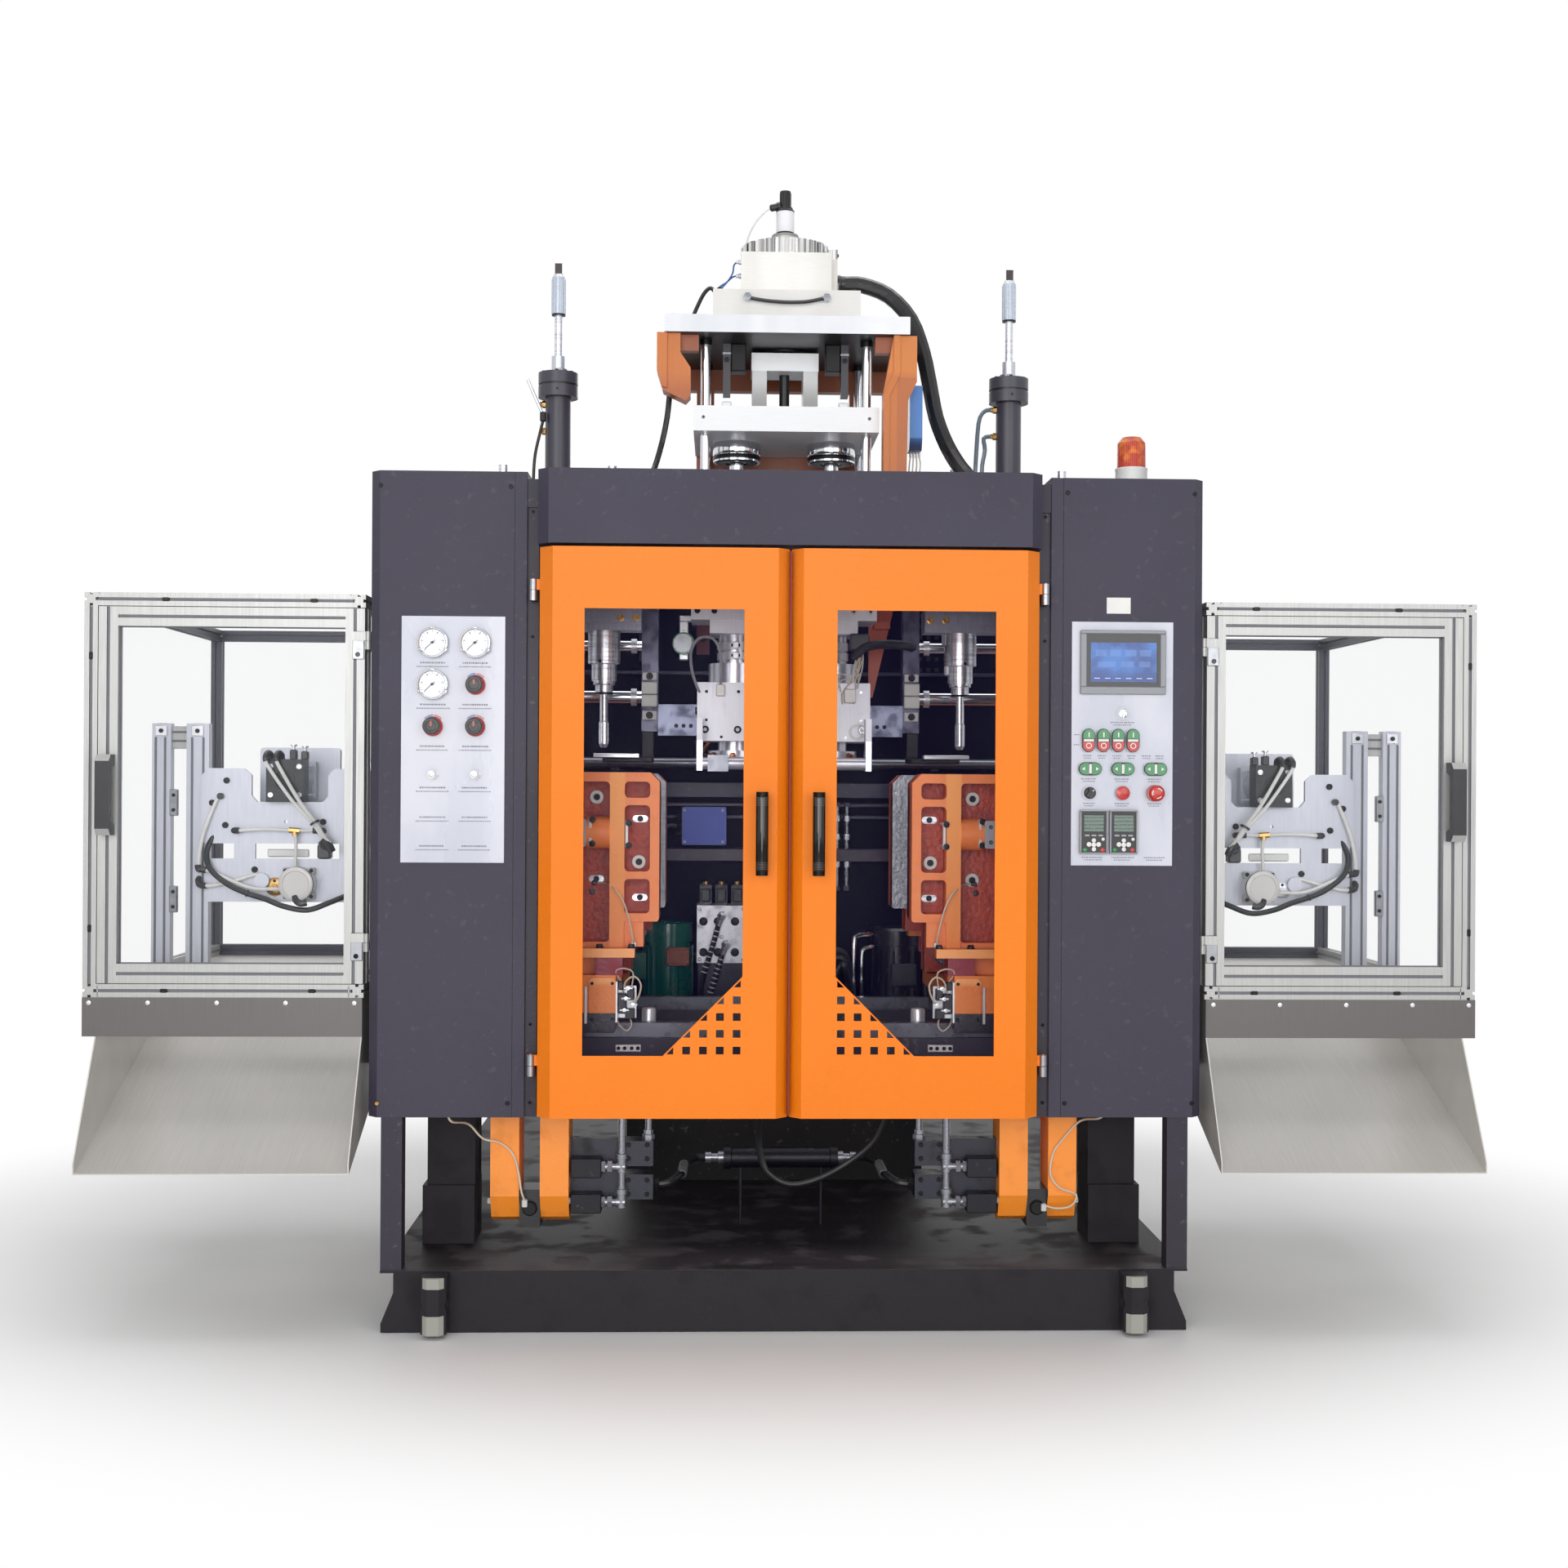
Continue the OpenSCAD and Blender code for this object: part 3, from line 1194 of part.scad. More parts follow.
module valve_manifold() color("#b9bcc4") {
    x = pump_x + pump_d / 2 + 10 + manifold_gap;
    y = pump_y - 72;
    z = tank_z + 163;
    slab([x + 4, y + 6, tank_z], [x + manifold.x - 10, y + manifold.y - 6, z]);
    slab([x, y, z], [x + manifold.x, y + manifold.y, z + manifold.z]);
    for (n = [0:2])
        translate([n * manifold.x * 0.32, 0, 0])
            slab([x + 8, y + 6, z + manifold.z], [x + 44, y + manifold.y - 6, z + manifold.z + 62]);
}
// Terminal box on the rear panel and sensor box on the head's right-hand post
terminal = [138, 60, 118];
terminal_z = 1169;
sensor_box = [34, 80, 171];
module junction_boxes() color("#2b4fa0") {
    x = -2.1 * terminal.x;
    y = frame_back - sheet;
    round_plate(x, x + terminal.x, y - terminal.y, y, terminal_z, terminal_z + terminal.z, 6);
    side = bracket_side - 13;
    front = bracket_y + 55;
    back = front + sensor_box.y;
    top = head_top_z - 120;
    low = top - sensor_box.z;
    side_plate(side, side + sensor_box.x, [
        [front, top], [front, low + 30], [front + 15, low], [back - 10, low], [back, low + 30], [back, top]
    ]);
}

// Aluminium profile along Z with a slot in each side
module profile(l) {
    difference() {
        cube([alu, alu, l]);
        for (x = [-0.01, alu - slot_d])
            translate([x, (alu - slot_w) / 2, -1]) cube([slot_d + 0.01, slot_w, l + 2]);
        for (y = [-0.01, alu - slot_d])
            translate([(alu - slot_w) / 2, y, -1]) cube([slot_w, slot_d + 0.01, l + 2]);
    }
}
module profile_x(x0, x1, y, z) {
    translate([x0, y, z]) rotate([90, 0, 90]) profile(x1 - x0);
}
module profile_y(x, y0, y1, z) {
    translate([x, y1, z]) rotate([90, 0, 0]) profile(y1 - y0);
}
module profile_z(x, y, z0, z1) {
    translate([x, y, z0]) profile(z1 - z0);
}

// Guard frame: posts and rails round the trimming bay
trim_y = -100;
inner_post_y = guard_y + guard_door_t + guard_gap;
module guard_frame() {
    z0 = guard_bottom;
    z1 = guard_top - alu;
    outer = guard_out - alu;
    back = guard_back - alu;
    for (z = [z0, z1]) {
        for (x = [guard_in, outer])
            profile_y(x, guard_y, guard_back, z);
        profile_x(guard_in + alu, outer, guard_y, z);
        profile_x(guard_in + alu, outer, back, z);
    }
    profile_x(guard_in + alu, outer, trim_y, z0);
    for (x = [guard_in, outer])
        profile_z(x, back, z0 + alu, z1);
    profile_z(outer, guard_y, z0 + alu, z1);
    profile_z(guard_in, inner_post_y, z0 + alu, z1);
    for (z = guard_hinge_heights())
        guard_frame_knuckle(z);
}
module guard_frames() color("#b4b7bf") both_sides() guard_frame();

function guard_hinge_heights() = [guard_bottom + 116, guard_top - 138];
guard_hinge_x = guard_in - 8;
guard_hinge_y = guard_y - 7;
guard_knuckle_d = 14;
guard_knuckle_h = 22;
guard_pin = 6;
module guard_frame_knuckle(z) {
    bar_z(guard_knuckle_d, z, z + guard_knuckle_h, guard_hinge_x, guard_hinge_y);
    slab([guard_in - 6, guard_hinge_y, z], [guard_in, inner_post_y + alu, z + guard_knuckle_h]);
    bar_z(guard_pin, z + guard_knuckle_h, z + 2 * guard_knuckle_h, guard_hinge_x, guard_hinge_y);
}

// Fixed clear panes, seated in the slots of the outer side and the back of each guard
module guard_panes() color("#dfe6ea", 0.4) both_sides() {
    mid = alu / 2;
    seat = slot_d - run;
    z0 = guard_bottom + alu - seat;
    z1 = guard_top - alu + seat;
    slab([guard_out - mid - pane_t / 2, guard_y + alu - seat, z0],
         [guard_out - mid + pane_t / 2, guard_back - alu + seat, z1]);
    slab([guard_in + alu, guard_back - mid - pane_t / 2, z0], [guard_out - alu, guard_back - mid + pane_t / 2, z1]);
}

// Guard door: mitred profile frame with a bar handle
module guard_door() {
    x0 = guard_in + guard_gap;
    x1 = guard_out - alu - guard_gap;
    z0 = guard_bottom + alu + guard_gap;
    z1 = guard_top - alu - guard_gap;
    y1 = guard_y + guard_door_t;
    groove = stile / 2;
    difference() {
        slab([x0, guard_y, z0], [x1, y1, z1]);
        slab([x0 + stile, guard_y - 1, z0 + stile], [x1 - stile, y1 + 1, z1 - stile]);
        // Slots along the stiles and rails
        for (x = [x0 + groove, x1 - groove])
            slab([x - slot_w / 2, guard_y - 1, z0 - 1], [x + slot_w / 2, guard_y + slot_d, z1 + 1]);
        for (z = [z0 + groove, z1 - groove])
            slab([x0 + stile, guard_y - 1, z - slot_w / 2], [x1 - stile, guard_y + slot_d, z + slot_w / 2]);
    }
    for (z = guard_hinge_heights())
        difference() {
            union() {
                bar_z(guard_knuckle_d, z + guard_knuckle_h + 1, z + 2 * guard_knuckle_h + 1, guard_hinge_x, guard_hinge_y);
                slab([guard_hinge_x, guard_y - 5, z + guard_knuckle_h + 1],
                     [x0 + 30, guard_y, z + 2 * guard_knuckle_h + 1]);
            }
            bar_z(guard_pin + 2 * run, z, z + 2 * guard_knuckle_h + 3, guard_hinge_x, guard_hinge_y);
        }
    // Bow handle on the outer stile
    hz = (z0 + z1) / 2;
    side_plate(x1 - 42, x1 - 8, [
        [guard_y, hz - 100], [guard_y - 34, hz - 100], [guard_y - 48, hz - 84], [guard_y - 48, hz + 84],
        [guard_y - 34, hz + 100], [guard_y, hz + 100], [guard_y, hz + 76], [guard_y - 26, hz + 68],
        [guard_y - 26, hz - 68], [guard_y, hz - 76]
    ]);
}
module guard_door_pane() {
    x0 = guard_in + guard_gap + stile;
    x1 = guard_out - alu - guard_gap - stile;
    z0 = guard_bottom + alu + guard_gap + stile;
    z1 = guard_top - alu - guard_gap - stile;
    y = guard_y + guard_door_t / 2;
    slab([x0, y - pane_t / 2, z0], [x1, y + pane_t / 2, z1]);
}
module left_guard_door() color("#b4b7bf") mirror([1, 0, 0]) guard_door();
module right_guard_door() color("#b4b7bf") guard_door();
module left_guard_pane() color("#dfe6ea", 0.4) mirror([1, 0, 0]) guard_door_pane();
module right_guard_pane() color("#dfe6ea", 0.4) guard_door_pane();

// Product chute: folded sheet with a sloping floor, side walls and a front band
module product_chute() {
    x0 = guard_in + 3;
    x1 = guard_out - alu + 1;
    t = sheet;
    lip = [-lip_d, lip_z];
    top = [chute_back, guard_bottom];
    side = [lip, [-lip_d, lip_z + 25], [guard_y - t, guard_bottom - band_h], [guard_y - t, guard_bottom], top];
    side_plate(x0, x0 + t, side);
    side_plate(x1 - t, x1, side);
    side_plate(x0, x1, [lip, [-lip_d, lip_z - t], [chute_back, guard_bottom - t], top]);
    slab([x0, guard_y - t, guard_bottom - band_h], [guard_out, guard_y, guard_bottom]);
    slab([guard_out - t, guard_y, guard_bottom - band_h], [guard_out, guard_back, guard_bottom]);
    slab([x0, chute_back, guard_bottom - t], [guard_out - t, guard_back, guard_bottom]);
}
module product_chutes() color("#a3a09c") both_sides() product_chute();

// Trimming units: posts, mounting plates and cylinders
trim_x = guard_in + 0.4 * guard_w;
trim_w = 0.63 * guard_w;
trim_z = guard_bottom + 543;
trim_rod = 30;
trim_plate_t = 12;
module trim_unit() {
    z0 = guard_bottom + alu;
    x0 = trim_x - trim_w / 2;
    x1 = trim_x + trim_w / 2;
    cut0 = trim_x - trim_w / 4;
    cut1 = trim_x + trim_w / 4.6;
    plate_y = trim_y - trim_plate_t;
    top = trim_z + 31;
    bottom = trim_z - 171;
    low_top = bottom - 41;
    for (p = [[x0 - 8, x0 + 32, top + 27], [x1 - 6, x1 + 54, trim_z + 151], [guard_out - 102, guard_out - 52, trim_z + 151]])
        slab([p[0], trim_y, z0], [p[1], trim_y + alu, p[2]]);
    // Upper plate with a cut-out for the cylinder's clamp
    difference() {
        front_plate(plate_y, trim_y, [
            [x0, bottom], [x1, bottom], [x1 + 12, bottom + 12], [x1 + 12, top - 20], [x1 - 10, top],
            [cut1 + 20, top], [cut1, top - 18], [cut1, trim_z - 42], [cut1 - 15, trim_z - 59],
            [cut0 + 15, trim_z - 59], [cut0, trim_z - 44], [cut0, top - 18], [cut0 - 18, top], [x0, top]
        ]);
        for (p = [[x0 + 32, -2], [x0 + 32, -147], [x0 + 122, -112], [x0 + 222, -112], [x1 - 54, -122], [x1 - 19, -62]])
            bar_y(9, plate_y - 1, trim_y + 1, p[0], trim_z + p[1]);
    }
    // Lower plate on two straps
    round_plate(x0, x1, plate_y, trim_y, low_top - 116, low_top, 6);
    for (x = [x0 + 22, x1 - 134])
        slab([x, plate_y, low_top], [x + 0.13 * trim_w, trim_y, bottom]);
    difference() {
        union() {
            slab([trim_x - 50, plate_y - 30, trim_z - 59], [trim_x + 50, trim_y + 20, trim_z + 56]);
            bar_y(88, trim_y + 20, trim_y + 110, trim_x, trim_z);
            slab([trim_x - 50, trim_y + 110, trim_z - 50], [trim_x + 50, trim_y + 134, trim_z + 50]);
        }
        bar_y(trim_rod + 2 * run, trim_y - 20, trim_y + 135, trim_x, trim_z);
    }
    bar_y(90, plate_y - 58, plate_y, trim_x - 36, low_top - 65);
    bar_y(40, plate_y - 16, plate_y, trim_x + 64, low_top - 58);
}
module trim_units() color("#b9bbc4") both_sides() trim_unit();
module trim_punch() {
    y0 = trim_y + 144;
    bar_y(trim_rod, trim_y, y0, trim_x, trim_z);
    round_plate(trim_x - 110, trim_x + 110, y0, y0 + 20, trim_z - 110, trim_z + 90, 10);
}
module left_trim_punch() color("#8f929a") mirror([1, 0, 0]) trim_punch();
module right_trim_punch() color("#8f929a") trim_punch();

// Cables and hoses that the machine holds at both ends, as swept tubes
function unit(v) = v / norm(v);
function spline(p, i, t) = let (
    n = len(p) - 1,
    a = p[max(i - 1, 0)], b = p[i], c = p[min(i + 1, n)], d = p[min(i + 2, n)]
) 0.5 * (2 * b + (c - a) * t + (2 * a - 5 * b + 4 * c - d) * t * t + (3 * b - a - 3 * c + d) * t * t * t);
function smooth(p, k) = [
    for (i = [0:len(p) - 2], j = [0:k - 1]) spline(p, i, j / k),
    p[len(p) - 1]
];
function tangent(q, i) = unit(q[min(i + 1, len(q) - 1)] - q[max(i - 1, 0)]);
function normals(q, i = 0, last = [0, 1, 0.01]) = i == len(q) ? [] : let (
    t = tangent(q, i),
    n = unit(last - t * (last * t))
) concat([n], normals(q, i + 1, n));
module cable(points, d, k = 3, sides = 10) {
    q = smooth(points, k);
    frames = normals(q);
    rings = [
        for (i = [0:len(q) - 1]) let (n = frames[i], b = cross(tangent(q, i), n))
            for (s = [0:sides - 1]) q[i] + (n * cos(360 * s / sides) + b * sin(360 * s / sides)) * d / 2
    ];
    last = (len(q) - 1) * sides;
    polyhedron(rings, concat(
        [[for (s = [0:sides - 1]) s]],
        [[for (s = [sides - 1:-1:0]) last + s]],
        [for (i = [0:len(q) - 2], s = [0:sides - 1]) let (a = i * sides + s, b = i * sides + (s + 1) % sides)
            [a, a + sides, b + sides, b]]
    ));
}
head_bundle = [
    [142.8, -20, 2742], [158, -20, 2742], [174, -20, 2742], [215, -22, 2740], [285, -32, 2710],
    [345, -50, 2640], [378, -70, 2545], [396, -85, 2450], [412, -100, 2360], [440, -120, 2280],
    [470, -150, 2220], [490, -168, 2190], [496, -174, 2168], [496, -174, 2149], [496, -174, 2130.3]
];
left_cable = [
    [-312, -140, 2490.7], [-312, -140, 2478], [-312, -140, 2462], [-313, -136, 2420], [-320, -126, 2350],
    [-334, -122, 2280], [-352, -146, 2210],
    [-368, -182, 2166], [-372, -188, 2144], [-372, -188, 2127], [-372, -188, 2110.3]
];
function cylinder_hose(z, out, y) = [
    [589.7, 0, z], [582, 0, z], [574, 0, z], [556, -2, z - 6], [540 + out, -12, z - 40],
    [528 + out, -44, 2240], [520 + out, y + 10, 2180], [518 + out, y, 2160], [518 + out, y, 2145],
    [518 + out, y, 2130.3]
];
module hoses_and_cables() color("#17171a") {
    cable(head_bundle, 44);
    cable(left_cable, 16);
    cable(cylinder_hose(2404, 0, -100), 12);
    cable(cylinder_hose(2330, 18, -112), 12);
}

base_frame();
upper_frame();
left_cabinet();
right_cabinet();
header_panel();
rear_panel();
support_arms();
shuttle_rails();
cross_rods();
left_door();
right_door();
left_door_pane();
right_door_pane();
pneumatic_panel();
pressure_gauges();
regulator_knob_1();
regulator_knob_2();
regulator_knob_3();
control_panel();
touch_screen();
drive_keypads();
emergency_stop();
reset_button();
mode_selector();
key_switch();
warning_beacon();
left_carriage();
right_carriage();
left_front_platen();
left_rear_platen();
right_front_platen();
right_rear_platen();
blow_cylinders();
left_blow_unit();
right_blow_unit();
die_head();
parison_knife();
head_frame();
head_brackets();
parison_yoke();
parison_actuator();
extruder_barrel();
extruder_screw();
extruder_drive();
hopper();
oil_tank();
pump_motor();
valve_manifold();
junction_boxes();
guard_frames();
guard_panes();
left_guard_door();
right_guard_door();
left_guard_pane();
right_guard_pane();
product_chutes();
trim_units();
left_trim_punch();
right_trim_punch();
hoses_and_cables();
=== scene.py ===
import bmesh
import bpy
import random
from math import cos, pi, radians, sin, sqrt, tau
from mathutils import Matrix, Vector


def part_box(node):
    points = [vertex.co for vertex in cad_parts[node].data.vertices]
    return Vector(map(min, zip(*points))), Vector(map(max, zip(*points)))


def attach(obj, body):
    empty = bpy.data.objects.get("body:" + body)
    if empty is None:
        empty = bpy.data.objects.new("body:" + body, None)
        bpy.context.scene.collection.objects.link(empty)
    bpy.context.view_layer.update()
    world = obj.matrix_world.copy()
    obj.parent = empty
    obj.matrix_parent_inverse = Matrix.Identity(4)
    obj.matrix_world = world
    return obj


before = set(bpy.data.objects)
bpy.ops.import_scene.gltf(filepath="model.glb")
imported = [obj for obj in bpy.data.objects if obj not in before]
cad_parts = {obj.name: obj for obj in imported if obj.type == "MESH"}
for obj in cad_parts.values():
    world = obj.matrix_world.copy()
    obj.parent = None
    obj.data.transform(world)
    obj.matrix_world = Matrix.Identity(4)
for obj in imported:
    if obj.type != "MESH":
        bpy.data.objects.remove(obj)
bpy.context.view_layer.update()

# Base frame. Welded channel beams with a floor flange, a deck plate and four lifting lugs, painted dark grey
# in one coat. The deck is walked on and carries granulate dust and scuffs; the lugs' chamfers are worn bare.


class Wire:
    """One output of a shader node, with the arithmetic that a finish needs."""

    def __init__(self, finish, socket):
        self.finish, self.socket = finish, socket

    def maths(self, operation, *values):
        return self.finish.node("Math", {"operation": operation}, *values)

    def __add__(self, other):
        return self.maths("ADD", self, other)

    __radd__ = __add__

    def __sub__(self, other):
        return self.maths("SUBTRACT", self, other)

    def __rsub__(self, other):
        return self.maths("SUBTRACT", other, self)

    def __mul__(self, other):
        return self.maths("MULTIPLY", self, other)

    __rmul__ = __mul__

    def __abs__(self):
        return self.maths("ABSOLUTE", self)

    def __lt__(self, other):
        return self.maths("LESS_THAN", self, other)

    def __gt__(self, other):
        return self.maths("GREATER_THAN", self, other)

    def __mod__(self, other):
        return self.maths("FLOORED_MODULO", self, other)

    def fade(self, low, high):
        """0 below low and 1 above high."""
        return self.finish.node("MapRange", {"interpolation_type": "SMOOTHSTEP"}, self, low, high, 0.0, 1.0)

    def between(self, low, high):
        return (self > low) * (self < high)


def tint(code):
    """Colour code as linear red, green, blue and alpha."""
    parts = [int(code[i:i + 2], 16) / 255 for i in (1, 3, 5)]
    return tuple(c / 12.92 if c < 0.04045 else ((c + 0.055) / 1.055) ** 2.4 for c in parts) + (1.0,)


class Finish:
    """A paint, metal or plastic. Its pattern lies in the machine's own coordinates, in metres."""

    def __init__(self, name, colour, rough, metal=0.0, **constants):
        self.material = bpy.data.materials.new(name)
        self.material.use_nodes = True
        self.tree = self.material.node_tree
        self.shader = self.tree.nodes["Principled BSDF"]
        self.place = Wire(self, self.tree.nodes.new("ShaderNodeTexCoord").outputs["Object"])
        self.colour = tint(colour)
        for name, value in constants.items():
            self.shader.inputs[name.replace("_", " ")].default_value = value
        self.feed("Base Color", self.colour)
        self.feed("Roughness", rough)
        self.feed("Metallic", metal)

    def node(self, kind, settings, *values, **named):
        made = self.tree.nodes.new("ShaderNode" + kind)
        for key, value in settings.items():
            setattr(made, key, value)
        sockets = [s for s in made.inputs if s.enabled]
        for socket, value in list(zip(sockets, values)) + [(made.inputs[k], v) for k, v in named.items()]:
            if isinstance(value, Wire):
                self.tree.links.new(value.socket, socket)
            elif value is not None:
                socket.default_value = value
        return Wire(self, next(s for s in made.outputs if s.enabled))

    def feed(self, name, value):
        if isinstance(value, Wire):
            self.tree.links.new(value.socket, self.shader.inputs[name])
        else:
            self.shader.inputs[name].default_value = value

    def axes(self):
        split = self.node("SeparateXYZ", {}, self.place).socket.node
        return [Wire(self, s) for s in split.outputs]

    def stretched(self, x, y, z):
        return self.node("VectorMath", {"operation": "MULTIPLY"}, self.place, (x, y, z))

    def noise(self, scale, detail=2.0, place=None):
        return self.node("TexNoise", {}, Vector=place or self.place, Scale=scale, Detail=detail)

    def mix(self, mask, a, b):
        a, b = (tint(c) if isinstance(c, str) else c for c in (a, b))
        return self.node("Mix", {"data_type": "RGBA"}, mask, a, b)

    def layers(self, shade, *coats):
        """A colour under coats, each a mask and its colour."""
        for mask, colour in coats:
            shade = self.mix(mask, shade, colour)
        return shade

    def coated(self, shade, *coats):
        self.feed("Base Color", self.layers(shade, *coats))

    def shade(self):
        """What feeds the colour so far."""
        return Wire(self, self.shader.inputs["Base Color"].links[0].from_socket)

    def bump(self, height, depth):
        self.feed("Normal", self.node("Bump", {}, Strength=1.0, Distance=depth, Height=height))

    def worn(self, swing, least, *grain):
        self.feed("Roughness", self.noise(*grain) * swing + least)
        return self

    def mottled(self, a, b, *grain):
        self.feed("Base Color", self.mix(self.noise(*grain), a, b))
        return self

    def grained(self, depth, *grain):
        self.bump(self.noise(*grain), depth)
        return self


def paint(name, colour, rough=0.42, peel=260.0, depth=0.0004, dirt="#2a2420", dirty=0.25, **constants):
    """Sprayed enamel: orange-peel surface, faint cloudiness and a little settled dust."""
    coat = Finish(name, colour, rough, **constants)
    cloud = coat.noise(3.0, 4.0)
    specks = coat.noise(46.0, 5.0).fade(0.62, 0.72)
    coat.coated(coat.colour, (cloud.fade(0.35, 0.75) * dirty, dirt), (specks * dirty * 0.35, "#b9b2a6"))
    coat.feed("Roughness", rough + cloud * 0.16 - 0.08)
    coat.bump(coat.noise(peel, 2.0), depth)
    return coat


def dress(finish, *nodes):
    for name in nodes:
        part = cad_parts[name]
        part.data.materials.clear()
        part.data.materials.append(finish.material)


base_paint = paint("base_paint", "#0e0c10", 0.5, dirty=0.2, Specular_IOR_Level=0.15)
x, y, z = base_paint.axes()
deck = z.between(0.1525, 0.1535)
scuffs = base_paint.noise(9.0, 6.0).fade(0.48, 0.66)
streaks_and_reflection = base_paint.noise(2.2, 5.0, base_paint.stretched(1, 6, 1)).fade(0.42, 0.7)
ground = (abs(x) > 0.831) * (abs(x) < 0.895) * (z < 0.151) * (abs(y - 0.825) > 1.396)
# Painted shade: the deck is near black at the back; towards the front it is lighter with wear and scuffs.
front = y.fade(-0.24, -0.52)
wear = deck * (scuffs * 0.35 + front * (0.4 + scuffs * 0.4))
bare = ground * (abs(y - 0.825) > 1.434) * (1 - z.between(0.058, 0.124))
base_paint.coated("#201d21", (wear, "#5a5459"), (deck * streaks_and_reflection * 0.5, "#181518"),
    (1 - deck, "#2c292e"), (bare, "#a3a29b"))
base_paint.feed("Roughness", 0.5 + scuffs * 0.25)
dress(base_paint, "base_frame")
scene = bpy.context.scene

SIDES = ((-1, "left"), (1, "right"))
# Places that many fittings sit on, in millimetres: middle of a mould station and of a die along X, faces of the
# panels, trimming plates and rear wall along Y, tops of the tank, head beams, head frame and controller along Z
STATION, DIE, SHEET, BAY, WALL = 625, 131, -553.2, -111.8, 697.4
TANK, BEAMS, HEAD_TOP, CONTROL_TOP = 649.6, 2129.6, 2597.6, 2683.6
FRONT, BACK, UP, DOWN, RIGHT, LEFT = (0, -1, 0), (0, 1, 0), (0, 0, 1), (0, 0, -1), (1, 0, 0), (-1, 0, 0)


def stepped(*sizes):
    """Profile of a stepped pin: radius and end of each step in turn, every shoulder 1 mm deep."""
    points, start = [(0, 0)], 0
    for r, end in zip(sizes[::2], sizes[1::2]):
        points += [(r, start), (r, end)]
        start = end + 1
    return points + [(0, sizes[-1])]


def capped(r, rim, top_r, top):
    """Profile of a disc whose edge is eased from the rim's height to the top."""
    return [(0, 0), (r, 0), (r, rim), (top_r, top), (0, top)]


def hoop(bore, r, height):
    """Profile of a flat ring, left open along its bore."""
    return [(bore, 0), (r, 0), (r, height), (bore, height)]


def around(count, radius, cx=0, cy=0, offset=0.0):
    """Evenly spaced points on a circle, as pairs."""
    turns = [tau * (k + offset) / count for k in range(count)]
    return [(cx + radius * cos(t), cy + radius * sin(t)) for t in turns]


def flip(side, *points):
    """The points as given for the right half (1), or mirrored to the left half (-1)."""
    return [(side * a, b, c) for a, b, c in points]


